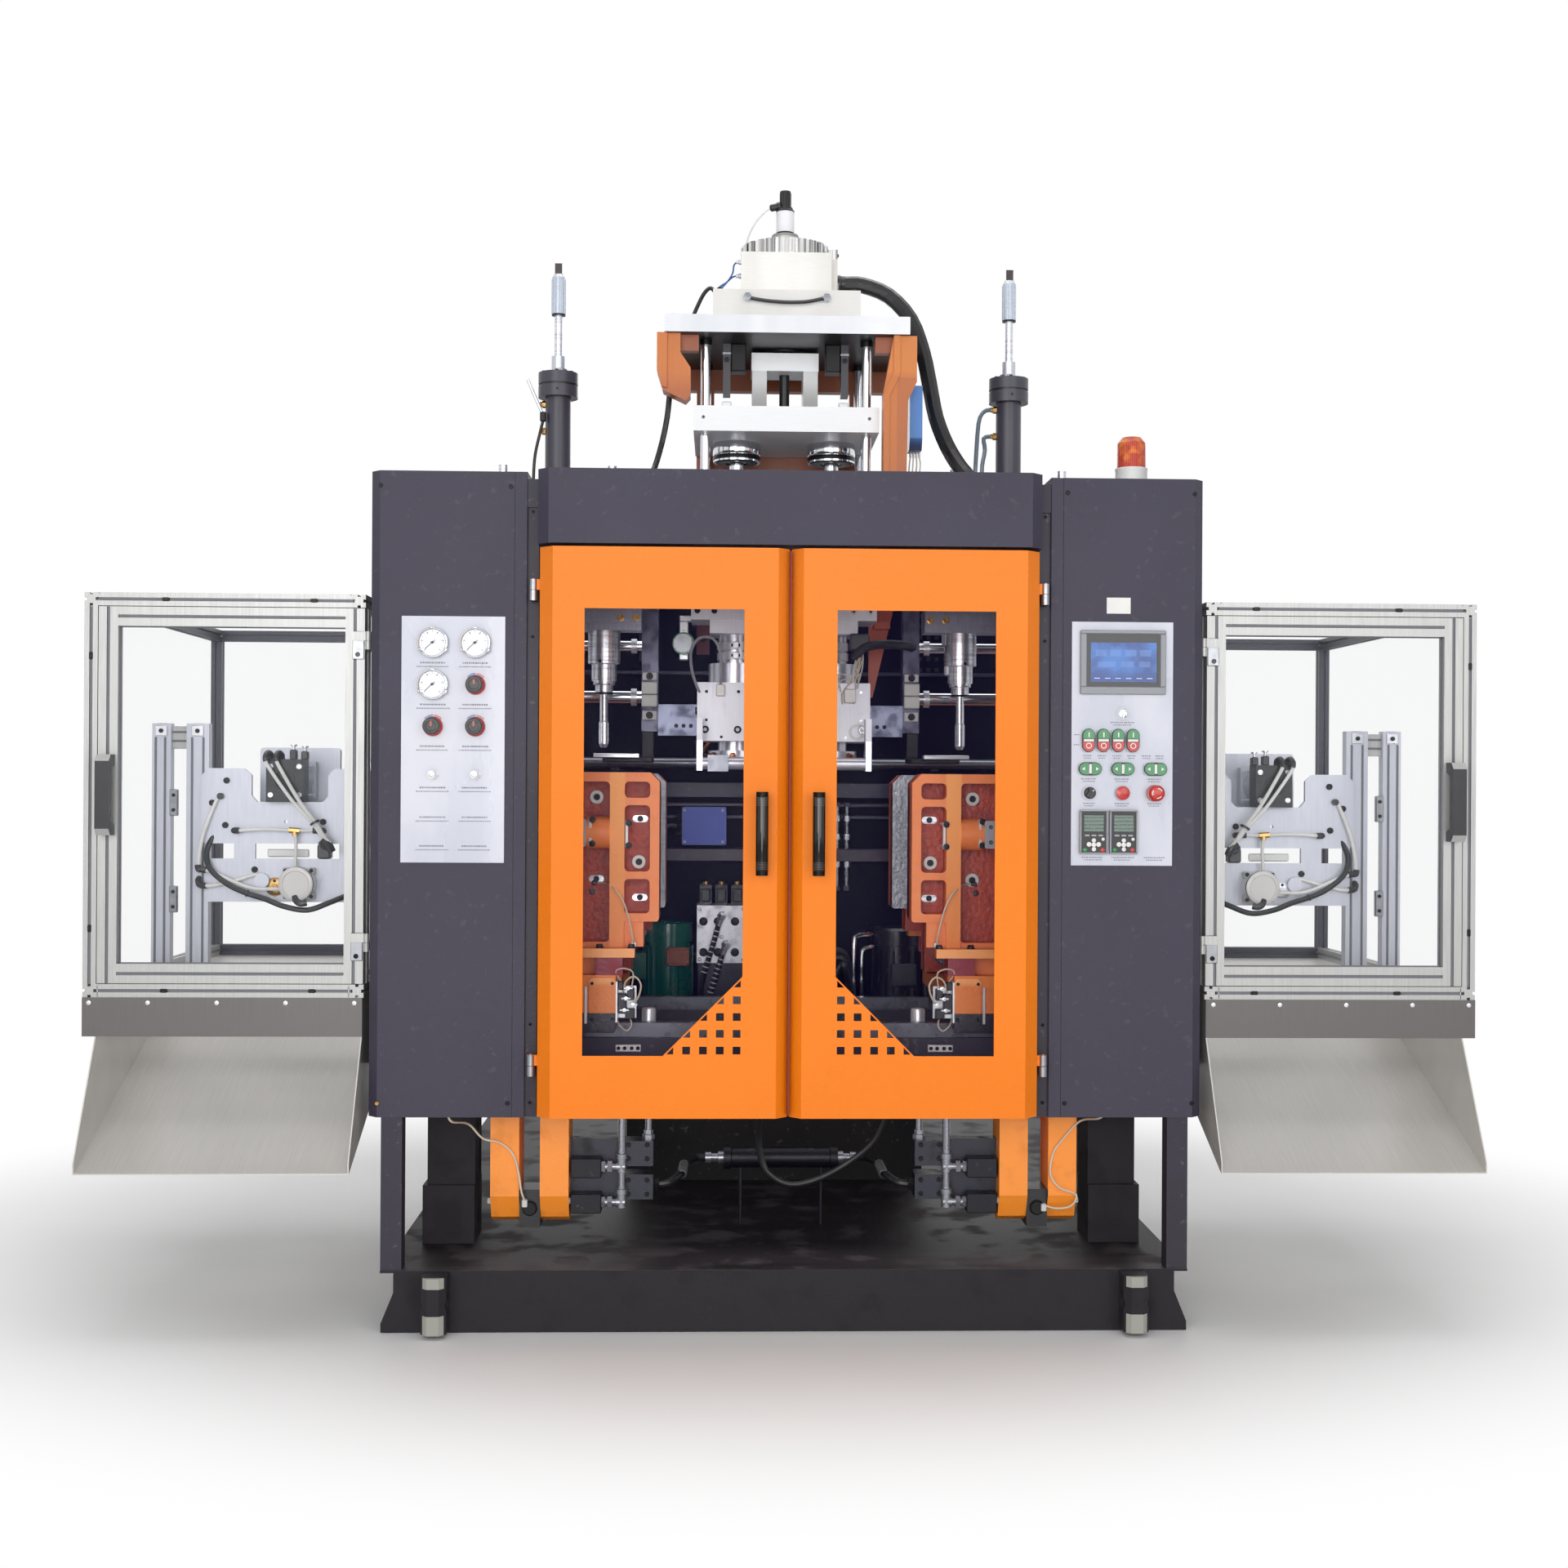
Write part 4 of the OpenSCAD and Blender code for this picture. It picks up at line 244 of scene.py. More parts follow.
class Part:
    """A fitted piece while it is made: shapes in millimetres, each in the finish set before it."""

    def __init__(self, name):
        self.name, self.mesh, self.finishes, self.sharp = name, bmesh.new(), [], 0.6

    def use(self, finish):
        if finish not in self.finishes:
            self.finishes.append(finish)
        self.current = self.finishes.index(finish)
        return self

    def skin(self, points, faces):
        made = [self.mesh.verts.new(Vector(p) / 1000) for p in points]
        for face in faces:
            f = self.mesh.faces.new([made[i] for i in face])
            f.material_index = self.current
        return self

    def block(self, low, high, ease=0.0):
        """Box with eased edges between two corners, which may be mirrored in x and y."""
        (x0, x1), (y0, y1) = [sorted(pair) for pair in zip(low[:2], high[:2])]
        z0, z1 = low[2], high[2]
        e = min(ease, min(x1 - x0, y1 - y0, z1 - z0) / 2.01)
        if not e:
            points = [(px, py, pz) for pz in (z0, z1) for px, py in ((x0, y0), (x1, y0), (x1, y1), (x0, y1))]
            return self.skin(points, [(3, 2, 1, 0), (4, 5, 6, 7), (0, 1, 5, 4), (1, 2, 6, 5),
                (2, 3, 7, 6), (3, 0, 4, 7)])
        points = []
        for inset, h in ((e, z0), (0, z0 + e), (0, z1 - e), (e, z1)):
            a, b, c, d = x0 + inset, x1 - inset, y0 + inset, y1 - inset
            rim = [(a + e, c), (b - e, c), (b, c + e), (b, d - e), (b - e, d), (a + e, d), (a, d - e), (a, c + e)]
            points += [(px, py, h) for px, py in rim]
        faces = [tuple(range(7, -1, -1)), tuple(range(24, 32))]
        for k in range(0, 24, 8):
            faces += [(k + i, k + (i + 1) % 8, k + 8 + (i + 1) % 8, k + 8 + i) for i in range(8)]
        return self.skin(points, faces)

    def turned(self, at, axis, profile, sides):
        """Turned shape: (radius, height) pairs along the axis from at."""
        at, a = Vector(at), Vector(axis).normalized()
        u = Vector(RIGHT) if max(abs(a.y), abs(a.z)) > 0.99 else a.orthogonal().normalized()
        v = a.cross(u)
        points, faces, last = [], [], None
        for r, h in profile:
            count = sides if r else 1
            ring = range(len(points), len(points) + count)
            for i in range(count):
                t = radians(360.0 * i / sides)
                points.append(at + a * h + (u * cos(t) + v * sin(t)) * r)
            if last:
                for i in range(sides):
                    j = (i + 1) % sides
                    quad = [last[i % len(last)], last[j % len(last)], ring[j % count], ring[i % count]]
                    quad = list(dict.fromkeys(quad))
                    if len(quad) > 2:
                        faces.append(quad)
            last = ring
        return self.skin(points, faces)

    def hose(self, points, d, sides=8, steps=5):
        """Round tube along a smooth curve through the points."""
        p = [Vector(q) for q in points]
        path = []
        for i in range(len(p) - 1):
            a, b, c, e = p[max(i - 1, 0)], p[i], p[i + 1], p[min(i + 2, len(p) - 1)]
            for k in range(steps if i < len(p) - 2 else steps + 1):
                t = k / steps
                path.append(0.5 * (2 * b + (c - a) * t + (2 * a - 5 * b + 4 * c - e) * t * t
                    + (3 * b - a - 3 * c + e) * t ** 3))
        side = Vector((0.31, 0.87, 0.38))
        verts, faces = [], []
        for i, q in enumerate(path):
            run = (path[min(i + 1, len(path) - 1)] - path[max(i - 1, 0)]).normalized()
            side = (side - run * side.dot(run)).normalized()
            up = run.cross(side)
            for k in range(sides):
                t = tau * k / sides
                verts.append(q + (side * cos(t) + up * sin(t)) * d / 2)
        for i in range(len(path) - 1):
            for k in range(sides):
                j = (k + 1) % sides
                faces.append((i * sides + k, i * sides + j, (i + 1) * sides + j, (i + 1) * sides + k))
        faces.append(tuple(range(sides - 1, -1, -1)))
        faces.append(tuple(range((len(path) - 1) * sides, len(path) * sides)))
        return self.skin(verts, faces)

    def plate(self, outline, low, high, axis="y"):
        """Flat plate: an outline, given as pairs, between two heights along the axis."""
        place = {"y": lambda a, b, h: (a, h, b), "x": lambda a, b, h: (h, a, b),
            "z": lambda a, b, h: (a, b, h)}[axis]
        n = len(outline)
        points = [place(a, b, low) for a, b in outline] + [place(a, b, high) for a, b in outline]
        faces = [tuple(range(n)), tuple(range(2 * n - 1, n - 1, -1))]
        faces += [(i, n + i, n + (i + 1) % n, (i + 1) % n) for i in range(n)]
        return self.skin(points, faces)

    def socket_screw(self, at, axis, d, h=None):
        """Cap screw with a hexagon socket."""
        r, h = d / 2, h or d * 0.55
        self.turned(at, axis, [(0, 0), (r, 0), (r, h - 0.12 * d), (r * 0.86, h), (r * 0.5, h)], 16)
        return self.turned(at, axis, [(r * 0.5, h), (r * 0.46, h - 0.3 * d), (0, h - 0.3 * d)], 6)

    def hex_bolt(self, at, axis, d, washer=True):
        r = d / 2
        base = d * 0.1 if washer else 0
        if washer:
            self.turned(at, axis, [(0, 0), (r * 1.35, 0), (r * 1.35, base), (r * 0.9, base)], 20)
        return self.turned(at, axis, [(r, base), (r, base + d * 0.38), (r * 0.82, base + d * 0.5),
            (0, base + d * 0.5)], 6)

    def fit(self, body, slot):
        bmesh.ops.remove_doubles(self.mesh, verts=self.mesh.verts, dist=2e-6)
        bmesh.ops.recalc_face_normals(self.mesh, faces=self.mesh.faces)
        for face in self.mesh.faces:
            face.smooth = True
        for edge in self.mesh.edges:
            edge.smooth = len(edge.link_faces) == 2 and edge.calc_face_angle(3.2) < self.sharp
        data = bpy.data.meshes.new(self.name)
        self.mesh.to_mesh(data)
        self.mesh.free()
        thing = bpy.data.objects.new(self.name, data)
        scene.collection.objects.link(thing)
        for finish in self.finishes:
            data.materials.append(finish.material)
        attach(thing, body)
        return thing


# Main frame. Square tube columns and beams welded to the deck, with the door posts, the hinges' fixed halves and
# the brackets that carry the guards. Painted like the housing; a low zone at each side is dark navy.
frame_paint = paint("frame_paint", "#34313e", 0.45, dirty=0.3, Specular_IOR_Level=0.3)
x, y, z = frame_paint.axes()
box_zone = (abs(x) < 0.9402) * (abs(x) > 0.8045) * y.between(-0.2745, -0.1235) * (z < 0.5105)
frame_paint.coated(frame_paint.shade(), (box_zone, "#171a28"))
dress(frame_paint, "upper_frame")
wall_coat = paint("rear_wall_coat", "#35323f", 0.5, dirty=0.2, Specular_IOR_Level=0.12)
x, y, z = wall_coat.axes()
wall_coat.coated(wall_coat.shade(), (y < 0.6985, "#0b0a1e"))
dress(wall_coat, "rear_panel")

# Housing. Two folded steel cabinets and a header cover, powder coated violet grey with a fine wrinkle, each cabinet
# closed by a cover with a screw in every corner. The strips beside the doors carry one screw at each end.
coat = paint("housing_coat", "#3c3948", 0.5, peel=420.0, depth=0.0007, dirty=0.12,
    dirt="#2d2a33", Specular_IOR_Level=0.3)
dress(coat, "left_cabinet", "right_cabinet", "header_panel")
dress(paint("tank_coat", "#17161d", 0.45, dirty=0.4, Specular_IOR_Level=0.2), "oil_tank")
black_steel = Finish("black_steel", "#1b1a1c", 0.38, 0.6).grained(0.0002, 900.0).worn(0.3, 0.22, 30.0, 4.0)
brass = Finish("brass", "#b9945a", 0.3, 1.0)
brass.coated("#b9945a", (brass.noise(60.0, 4.0).fade(0.4, 0.7), "#8d6c3c"))
screws = Part("housing_screws")
for x_mm, z_mm in ((-1012, 2090), (1012, 2090), (1012, 566), (-1012, 566), (-692, 2090), (692, 2090),
        (-692, 566), (692, 566)):
    screws.use(brass if (x_mm, z_mm) == (-1012, 566) else black_steel)
    screws.socket_screw((x_mm, -550, z_mm), FRONT, 11, 3.5)
for side in (-1, 1):
    for z_mm in (2030, 1720, 760, 566):
        screws.use(black_steel).socket_screw((side * 638, -540, z_mm), FRONT, 9, 2.5)
screws.fit("frame", "dark_plastic")

# Doors. Folded steel sheet, powder coated orange with a fine leather grain, with a bevel down each side and a
# corner of square holes below the window. A seal of red rubber closes the gap between the two.
door_coat = Finish("door_coat", "#ff8a1e", 0.4, Specular_IOR_Level=0.25)
x, y, z = door_coat.axes()
grain = door_coat.noise(330.0, 3.0)
rub = door_coat.noise(14.0, 5.0).fade(0.6, 0.78) * z.fade(1.0, 0.5)
grip = y < -0.6285
# Painted highlight: the doors turn lighter towards the top, where the lamps light them more.
door_coat.coated("#f58112", (door_coat.noise(1.6, 3.0).fade(0.3, 0.8) * 0.35, "#ee7408"),
    (z.fade(1.2, 2.0) * 0.3, "#f08f42"), (rub * 0.14, "#b8621c"), (grip, "#120f0e"))
door_coat.feed("Metallic", grip * 0.5)
door_coat.feed("Roughness", 0.33 + grain * 0.16 - grip * 0.24)
door_coat.bump(grain, 0.0009)
dress(door_coat, "left_door", "right_door")
pane = Finish("tinted_pane", "#17143f", 0.06, Alpha=0.05, Specular_IOR_Level=0.1)
pane.mottled("#17133f", "#231e5c", 2.0, 2.0)
pane.worn(0.06, 0.02, 25.0, 3.0)
dress(pane, "left_door_pane", "right_door_pane")
seal_rubber = Finish("seal_rubber", "#7c1d12", 0.6).worn(0.3, 0.45, 120.0).grained(0.0003, 500.0)
seal = Part("door_seal").use(seal_rubber)
seal.plate([(-2.6, -612), (2.4, -612), (2.4, -604), (0.6, -598), (0.6, -560), (-2.6, -560)], 546, 1930, "z")
seal.fit("left_door_body", "black_rubber")

# Door handles. Bent tube in black chrome on two feet, with a chequered grip zone at each end.
black_chrome = Finish("black_chrome", "#120f0e", 0.14, 0.5, Coat_Weight=0.4)
x, y, z = black_chrome.axes()
chequer = ((z * 260) % 1.0 > 0.42) * ((x * 320 + z * 130) % 1.0 > 0.42)
grid = chequer * (abs(z - 1.238) > 0.068) * (abs(z - 1.238) < 0.092)
black_chrome.coated("#120f0e", (grid, "#5b5350"))
black_chrome.feed("Roughness", grid * 0.3 + 0.14)
black_chrome.bump(grid, 0.0006)
hinge_steel = Finish("zinc_plate", "#b4b6ba", 0.34, 0.9).mottled("#a9abaf", "#7b7d82", 40.0, 4.0)
hinge_steel.worn(0.25, 0.22, 80.0, 3.0)
for side, name in SIDES:
    handle = Part(name + "_door_handle").use(black_chrome)
    cx = side * 69
    handle.turned((cx, -665, 1136.2), UP, [(0, 0), (6, 1.2), (10.9, 4.5), (14.2, 9.4), (15.4, 15.4), (15.4, 188.2),
        (14.2, 194.2), (10.9, 199.1), (6, 202.4), (0, 203.6)], 28)
    for inner, outer in zip(around(14, 9.6, cx, -665, 0.5), around(14, 15.2, cx, -665, 0.5)):
        for tip, root in ((1139.5, 1151), (1336.5, 1325)):
            handle.hose([(*inner, tip), (*outer, root)], 2.4, 5, 1)
    for z_mm in (1158.5, 1317.5):
        handle.turned((cx, -620, z_mm), FRONT,
            [(0, 0), (13, 0), (13, 3), (9, 6), (8.4, 12), (8.4, 40), (0, 40)], 20)
    handle.fit(name + "_door_body", "dark_plastic")
    leaf = Part(name + "_hinge_leaves").use(hinge_steel)
    fixed = Part(name + "_hinge_fixed").use(hinge_steel)
    for z_mm in (636, 1806):
        leaf.turned((side * 633.5, -572, z_mm + 27.3), UP, [(0, 25.4), (10.4, 25.4), (10.4, 0), (6, 0)], 20)
        leaf.turned((side * 633.5, -572, z_mm + 52.8), UP, [(0, 3.2), (4, 2.8), (5.6, 0), (0, 0)], 16)
        fixed.turned((side * 633.5, -572, z_mm + 0.6), UP, [(0, 0), (10.4, 0), (10.4, 25.2), (6, 25.2)], 20)
    leaf.fit(name + "_door_body", "bare_steel")
    fixed.fit("frame", "bare_steel")

# Left panel. Aluminium sheet painted lavender white, still under its protective film, with the air gauges, the
# pressure regulators and the throttle valves. Each fitting sits in a hole of the sheet and is clamped from behind.
panel_coat = Finish("panel_coat", "#b1b5c6", 0.28, Coat_Weight=0.25)
film = panel_coat.noise(7.0, 6.0, panel_coat.stretched(1.0, 1.0, 0.45))
creases = panel_coat.node("TexNoise", {"noise_type": "RIDGED_MULTIFRACTAL"},
    Vector=panel_coat.place, Scale=6.0, Detail=3.0)
panel_coat.coated("#bcc0cd", (film.fade(0.35, 0.7), "#cecfda"))
panel_coat.feed("Roughness", film * 0.3 + 0.14)
panel_coat.bump(film * 0.6 + creases * 0.25, 0.0016)
dress(panel_coat, "pneumatic_panel", "control_panel")
chrome = Finish("chrome", "#dcdde0", 0.1, 1.0).worn(0.14, 0.04, 35.0, 4.0).mottled("#e4e5e8", "#c2c4ca", 9.0, 3.0)
dial_white = Finish("dial_white", "#e9ebf2", 0.3, Coat_Weight=0.7).worn(0.15, 0.2, 60.0)
black_plastic = Finish("black_plastic", "#151417", 0.36).mottled("#121114", "#232126", 30.0, 4.0)
black_plastic.worn(0.3, 0.2, 240.0, 3.0)
black_plastic.grained(0.0001, 1400.0)
ink = Finish("grey_ink", "#6d6f7c", 0.5).mottled("#5f6170", "#8b8d99", 300.0)
dress(chrome, "pressure_gauges")


def disc_rays(part, centre, y, inner, outer, angles, width):
    """Short bars on a dial, as thin raised strips."""
    for t in angles:
        a = radians(t)
        along, across = Vector((cos(a), 0, sin(a))), Vector((-sin(a), 0, cos(a))) * width / 2
        c = Vector((centre[0], y, centre[1]))
        corners = [c + along * inner - across, c + along * outer - across, c + along * outer + across,
            c + along * inner + across]
        part.skin(corners + [p + Vector((0, 0.5, 0)) for p in corners],
            [(0, 1, 2, 3), (7, 6, 5, 4), (0, 4, 5, 1), (1, 5, 6, 2), (2, 6, 7, 3), (3, 7, 4, 0)])


gauges = Part("gauge_dials")
for gx, gz in ((-776, 1702), (-880, 1702), (-880, 1599)):
    gauges.use(chrome).turned((gx, -568.8, gz), FRONT,
        [(37.4, 0), (37.9, 2), (37, 4.6), (34.2, 5.4), (32, 3.2), (31.2, 1.2)], 40)
    gauges.use(dial_white).turned((gx, -569, gz), FRONT, [(31.4, 0), (31.4, 1.4), (0, 1.4)], 40)
    gauges.use(black_plastic)
    disc_rays(gauges, (gx, gz), -571.0, 25, 29, range(-45, 226, 15), 0.7)
    disc_rays(gauges, (gx, gz), -571.0, 22.5, 29, range(-45, 226, 54), 1.2)
    disc_rays(gauges, (gx, gz), -572.2, -9, 24, (222,), 1.6)
    disc_rays(gauges, (gx, gz), -571.0, 0, 7, (0, 180), 1.2)
    gauges.turned((gx, -570.6, gz), FRONT, [(3.4, 0), (3.4, 1.8), (0, 2.2)], 12)
    for cx, cz in around(3, 35.4, gx, gz, 0.75):
        gauges.use(chrome).turned((cx, -569, cz), FRONT, [(5.6, 0), (5.6, 3.4), (3.2, 4.8), (0, 4.8)], 14)
        gauges.use(black_steel).turned((cx, -573.9, cz), FRONT, [(1.4, 0), (1.2, 0.3), (0, 0.3)], 8)
gauges.fit("frame", "chrome")

# Regulator knobs. Red collar with a ribbed black cap that pulls out to unlock. The arc beside each knob shows
# which way lowers and which way raises the pressure.
red_plastic = Finish("red_plastic", "#b0201d", 0.35, Coat_Weight=0.3).mottled("#a61b18", "#c8322a", 18.0, 4.0)
red_plastic.worn(0.2, 0.22, 200.0)
blue_ink = Finish("blue_ink", "#3d6fc4", 0.4).worn(0.3, 0.3, 200.0)
dress(red_plastic, "regulator_knob_1", "regulator_knob_2", "regulator_knob_3", "emergency_stop", "reset_button")
arcs = Part("pressure_arcs")


def toothed(count, inner, outer, cx, cy):
    """Outline of a knurled knob: every second point lies further out."""
    pairs = zip(around(count, inner, cx, cy), around(count, outer, cx, cy))
    return [pair[k % 2] for k, pair in enumerate(pairs)]


for number in (1, 2, 3):
    low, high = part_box("regulator_knob_%d" % number)
    kx, kz = 500 * (low[0] + high[0]), 500 * (low[2] + high[2])
    cap = Part("regulator_cap_%d" % number).use(red_plastic)
    cap.turned((kx, -553.5, kz), FRONT, [(0, 0), (24.4, 0), (24.8, 2.4), (23.4, 8.6), (21.4, 10.4), (0, 10.4)], 36)
    cap.use(black_plastic)
    cap.plate(toothed(56, 20.4, 21.5, kx, kz), -572, -587.4)
    cap.turned((kx, -587.3, kz), FRONT, [(20.2, 0), (18.8, 2.6), (12.6, 3.0), (11.8, 1.6), (0, 1.6)], 36)
    cap.fit("regulator_body_%d" % number, "dark_plastic")
    disc_rays(arcs.use(blue_ink), (kx, kz), -553.8, 26, 29.5, range(92, 136, 6), 1.8)
    disc_rays(arcs.use(red_plastic), (kx, kz), -553.8, 26, 29.5, range(44, 86, 6), 1.8)
arcs.fit("frame", "red_plastic")

# Throttle valves. Knurled brass screws, nickel plated, each in a lock nut on the sheet.
nickel = Finish("nickel", "#c9c6c0", 0.22, 1.0).worn(0.25, 0.12, 50.0, 3.0)
valves = Part("throttle_valves").use(nickel)
for vx in (-776, -880):
    valves.turned((vx, SHEET, 1377.6), FRONT, [(0, 0), (13.6, 0), (13.6, 1.4), (11.6, 2.0)], 24)
    valves.turned((vx, -555.2, 1377.6), FRONT, [(11.8, 0), (11.8, 5.2), (10.4, 6.4), (7, 6.4)], 6)
    valves.plate(toothed(36, 7.6, 8.5, vx, 1377.6), -563, -577.4)
    valves.turned((vx, -577.4, 1377.6), FRONT, [(7.4, 0), (5.6, 1.2), (3.1, 1.2), (3.0, 0.3), (0, 0.3)], 18)
valves.fit("frame", "chrome")


def dashes(part, x_mid, z_mid, width, seed, y=SHEET, height=3.0):
    """A plain row of short strokes where the real panel has a printed line."""
    draw = random.Random(seed)
    at = x_mid - width / 2
    while at < x_mid + width / 2 - 3:
        run = draw.uniform(2.0, 5.0)
        part.block((at, y, z_mid - height / 2), (min(at + run, x_mid + width / 2), y + 0.6, z_mid + height / 2))
        at += run + draw.uniform(1.2, 2.2)


marks = Part("panel_marks").use(ink)
for n, (mx, mz) in enumerate([(-880, 1653), (-776, 1653), (-880, 1550), (-776, 1550), (-880, 1447), (-776, 1447),
        (-880, 1345), (-776, 1345), (-880, 1272), (-776, 1272), (-880, 1201), (-776, 1201)]):
    dashes(marks, mx, mz, 64, n, height=4.0)
    dashes(marks, mx, mz - 9.5, 82, 50 + n, height=2.6)
marks.fit("frame", "panel_paint")

# Touch screen. Grey moulded bezel screwed to the panel, a black glass border and a lit blue display with plain
# fields for the machine's values.
screen = Finish("screen", "#8d9096", 0.4)
x, y, z = screen.axes()


def field(fx, fz, half_x, half_z):
    """1 inside a rectangle of the panel, given in millimetres."""
    return (abs(x - fx / 1000) < half_x / 1000) * (abs(z - fz / 1000) < half_z / 1000)


glass = field(831.5, 1672, 92.5, 66) * (y < -0.5595)
lit = field(832.5, 1667, 82.5, 49) * glass
shade = screen.mix(screen.noise(14.0, 5.0).fade(0.4, 0.62), "#183f86", "#2f68b4")
for fx, fz, hx, hz in ((776, 1690, 14, 8), (812, 1690, 14, 8), (850, 1690, 14, 8), (887, 1690, 14, 8),
        (790, 1662, 22, 7), (842, 1662, 16, 7), (885, 1662, 14, 7)):
    shade = screen.mix(field(fx, fz, hx, hz) * 0.2, shade, "#7fa6dc")
for k in range(6):
    shade = screen.mix(field(766 + 26.4 * k, 1627, 11, 5.5) * 0.55, shade, "#12357f")
    shade = screen.mix(field(766 + 26.4 * k, 1627, 7, 1) * 0.8, shade, "#c9dcf6")
body = screen.mix(screen.noise(400.0, 2.0), "#85888e", "#9c9fa5")
screen.coated(screen.mix(glass, body, "#0b0c14"), (lit, shade))
screen.feed("Roughness", 0.45 - glass * 0.36)
screen.feed("Emission Color", screen.mix(lit, "#000000", shade))
screen.shader.inputs["Emission Strength"].default_value = 0.16
screen.bump(screen.noise(900.0) * (1 - glass), 0.0002)
dress(screen, "touch_screen")
bezel = Part("screen_bezel").use(screen)
for low, high in (((724, -565, 1738), (938, -559, 1747)), ((724, -565, 1587), (938, -559, 1606)),
        ((724, -565, 1606), (739, -559, 1738)), ((924, -565, 1606), (938, -559, 1738))):
    bezel.block(low, high, 1.6)
bezel.fit("frame", "grey_plastic")

# Push buttons. Twin start and stop buttons in a black frame, upright for the motors and lying for the movements,
# with moulded green and red caps and white marks.
green_plastic = Finish("green_plastic", "#16793f", 0.3, Coat_Weight=0.4).mottled("#12703a", "#1f8a4b", 20.0, 3.0)
green_plastic.worn(0.2, 0.2, 200.0)
white_plastic = Finish("white_plastic", "#e6e6e4", 0.35).mottled("#ececea", "#d8d8d4", 12.0, 3.0)
white_plastic.worn(0.2, 0.28, 150.0)


def pill(cx, cz, half_w, half_h, steps=8):
    """Outline of a rectangle whose short ends are half circles."""
    r, upright = min(half_w, half_h), half_h > half_w
    reach = max(half_w, half_h) - r
    out = []
    for end in (1, -1):
        for k in range(steps + 1):
            t = pi * k / steps + (0 if upright else -pi / 2)
            px, pz = r * cos(t) * end, r * sin(t) * end
            out.append((cx + px + (0 if upright else reach * end), cz + pz + (reach * end if upright else 0)))
    return out


def half_pill(cx, cz, half_w, half_h, sign):
    upright = half_h > half_w
    arc = [(px, pz) for px, pz in pill(cx, cz, half_w, half_h) if sign * (pz - cz if upright else px - cx) > 0.2]
    if upright:
        return arc + [(cx - sign * half_w, cz + sign * 4), (cx + sign * half_w, cz + sign * 4)]
    return arc + [(cx + sign * 4, cz + sign * half_h), (cx + sign * 4, cz - sign * half_h)]


buttons = Part("push_buttons")
for bx in (745, 782, 819, 856):
    buttons.use(black_plastic).plate(pill(bx, 1472, 16.5, 29.5), -561.6, -564.4)
    buttons.use(green_plastic).plate(half_pill(bx, 1472, 14.4, 27.4, 1), -564, -568.4)
    buttons.use(red_plastic).plate(half_pill(bx, 1472, 14.4, 27.4, -1), -564, -567.6)
    buttons.use(white_plastic).block((bx - 13, -566.6, 1468.8), (bx + 13, -564, 1475.2), 0.6)
    buttons.use(white_plastic).block((bx - 1.5, -568.8, 1480), (bx + 1.5, -568, 1492))
    buttons.turned((bx, -567.4, 1458.6), FRONT, [(5.2, 0), (7.2, 0), (7.2, 0.7), (5.2, 0.7), (5.2, 0)], 20)
for bx in (749, 831, 913):
    buttons.use(black_plastic).plate(pill(bx, 1401, 29.5, 16.5), -561.6, -564.4)
    for sign in (-1, 1):
        buttons.use(green_plastic).plate(half_pill(bx, 1401, 27.4, 14.4, sign), -564, -568)
        buttons.use(white_plastic).plate([(bx + sign * 21, 1401), (bx + sign * 14, 1405.5),
            (bx + sign * 14, 1396.5)], -567.8, -568.5)
    buttons.block((bx - 3.4, -569, 1389), (bx + 3.4, -564, 1413), 0.8)
buttons.fit("frame", "dark_plastic")

# Selector, reset button, emergency stop and key switch. Black and red rings hold the heads on the panel, a white
# and a chromed one the key switch. The stop head is a red mushroom with three dotted turning marks.
selector = Part("selector_knob").use(black_plastic)
selector.turned((749, -560, 1341), FRONT, capped(15, 5, 12.6, 7.4), 28)
bar = [(13, 0), (9, 5), (-9, 5), (-13, 0), (-9, -5), (9, -5)]
turn = [(749 + (a - b) * 0.7071, 1341 + (a + b) * 0.7071) for a, b in bar]
selector.plate(turn, -566, -578)
selector.use(white_plastic)
disc_rays(selector, (749, 1341), -578.5, 3, 11, (45,), 2.0)
selector.fit("selector_body", "dark_plastic")
dress(black_plastic, "mode_selector", "drive_keypads")
dress(chrome, "key_switch")
rings = Part("button_rings")
for rx, radius, finish in ((749, 17.5, black_plastic), (831, 16.5, black_plastic), (913, 20.5, red_plastic)):
    rings.use(finish).turned((rx, SHEET, 1341), FRONT,
        [(radius - 2, 0), (radius, 0), (radius, 2.6), (radius - 1, 4), (radius - 2, 4), (radius - 2, 0)], 32)
rings.use(white_plastic).turned((831, SHEET, 1539), FRONT,
    [(10, 0), (17.5, 0), (17, 2.2), (12, 3.4), (10, 3.4), (10, 0)], 28)
rings.use(chrome).turned((831, -556.4, 1539), FRONT, [(8.4, 0), (12, 0), (11.4, 3), (8.4, 3), (8.4, 0)], 28)
rings.fit("frame", "chrome")
cap = Part("reset_cap").use(red_plastic)
cap.turned((831, -565.3, 1341), FRONT, [(0, 0), (17.4, 0), (17.4, 1.6), (15.6, 2.6), (0, 2.9)], 32)
cap.fit("reset_body", "red_plastic")
mushroom = Part("stop_head").use(red_plastic)
front = 1000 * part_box("emergency_stop")[0][1]
mushroom.turned((913, front + 8, 1341), FRONT,
    [(16, 0), (18.6, 1.2), (18.4, 4), (15.4, 7.6), (9, 9.4), (0, 9.8)], 32)
mushroom.use(white_plastic)
for k in range(15):
    a = radians(30 + 120 * (k // 5) + 12 * (k % 5))
    at = (913 + 12.2 * cos(a), front - 0.6, 1341 + 12.2 * sin(a))
    mushroom.turned(at, FRONT, [(1.5, 0), (1.4, 0.7), (0, 0.8)], 6)
mushroom.fit("stop_body", "red_plastic")

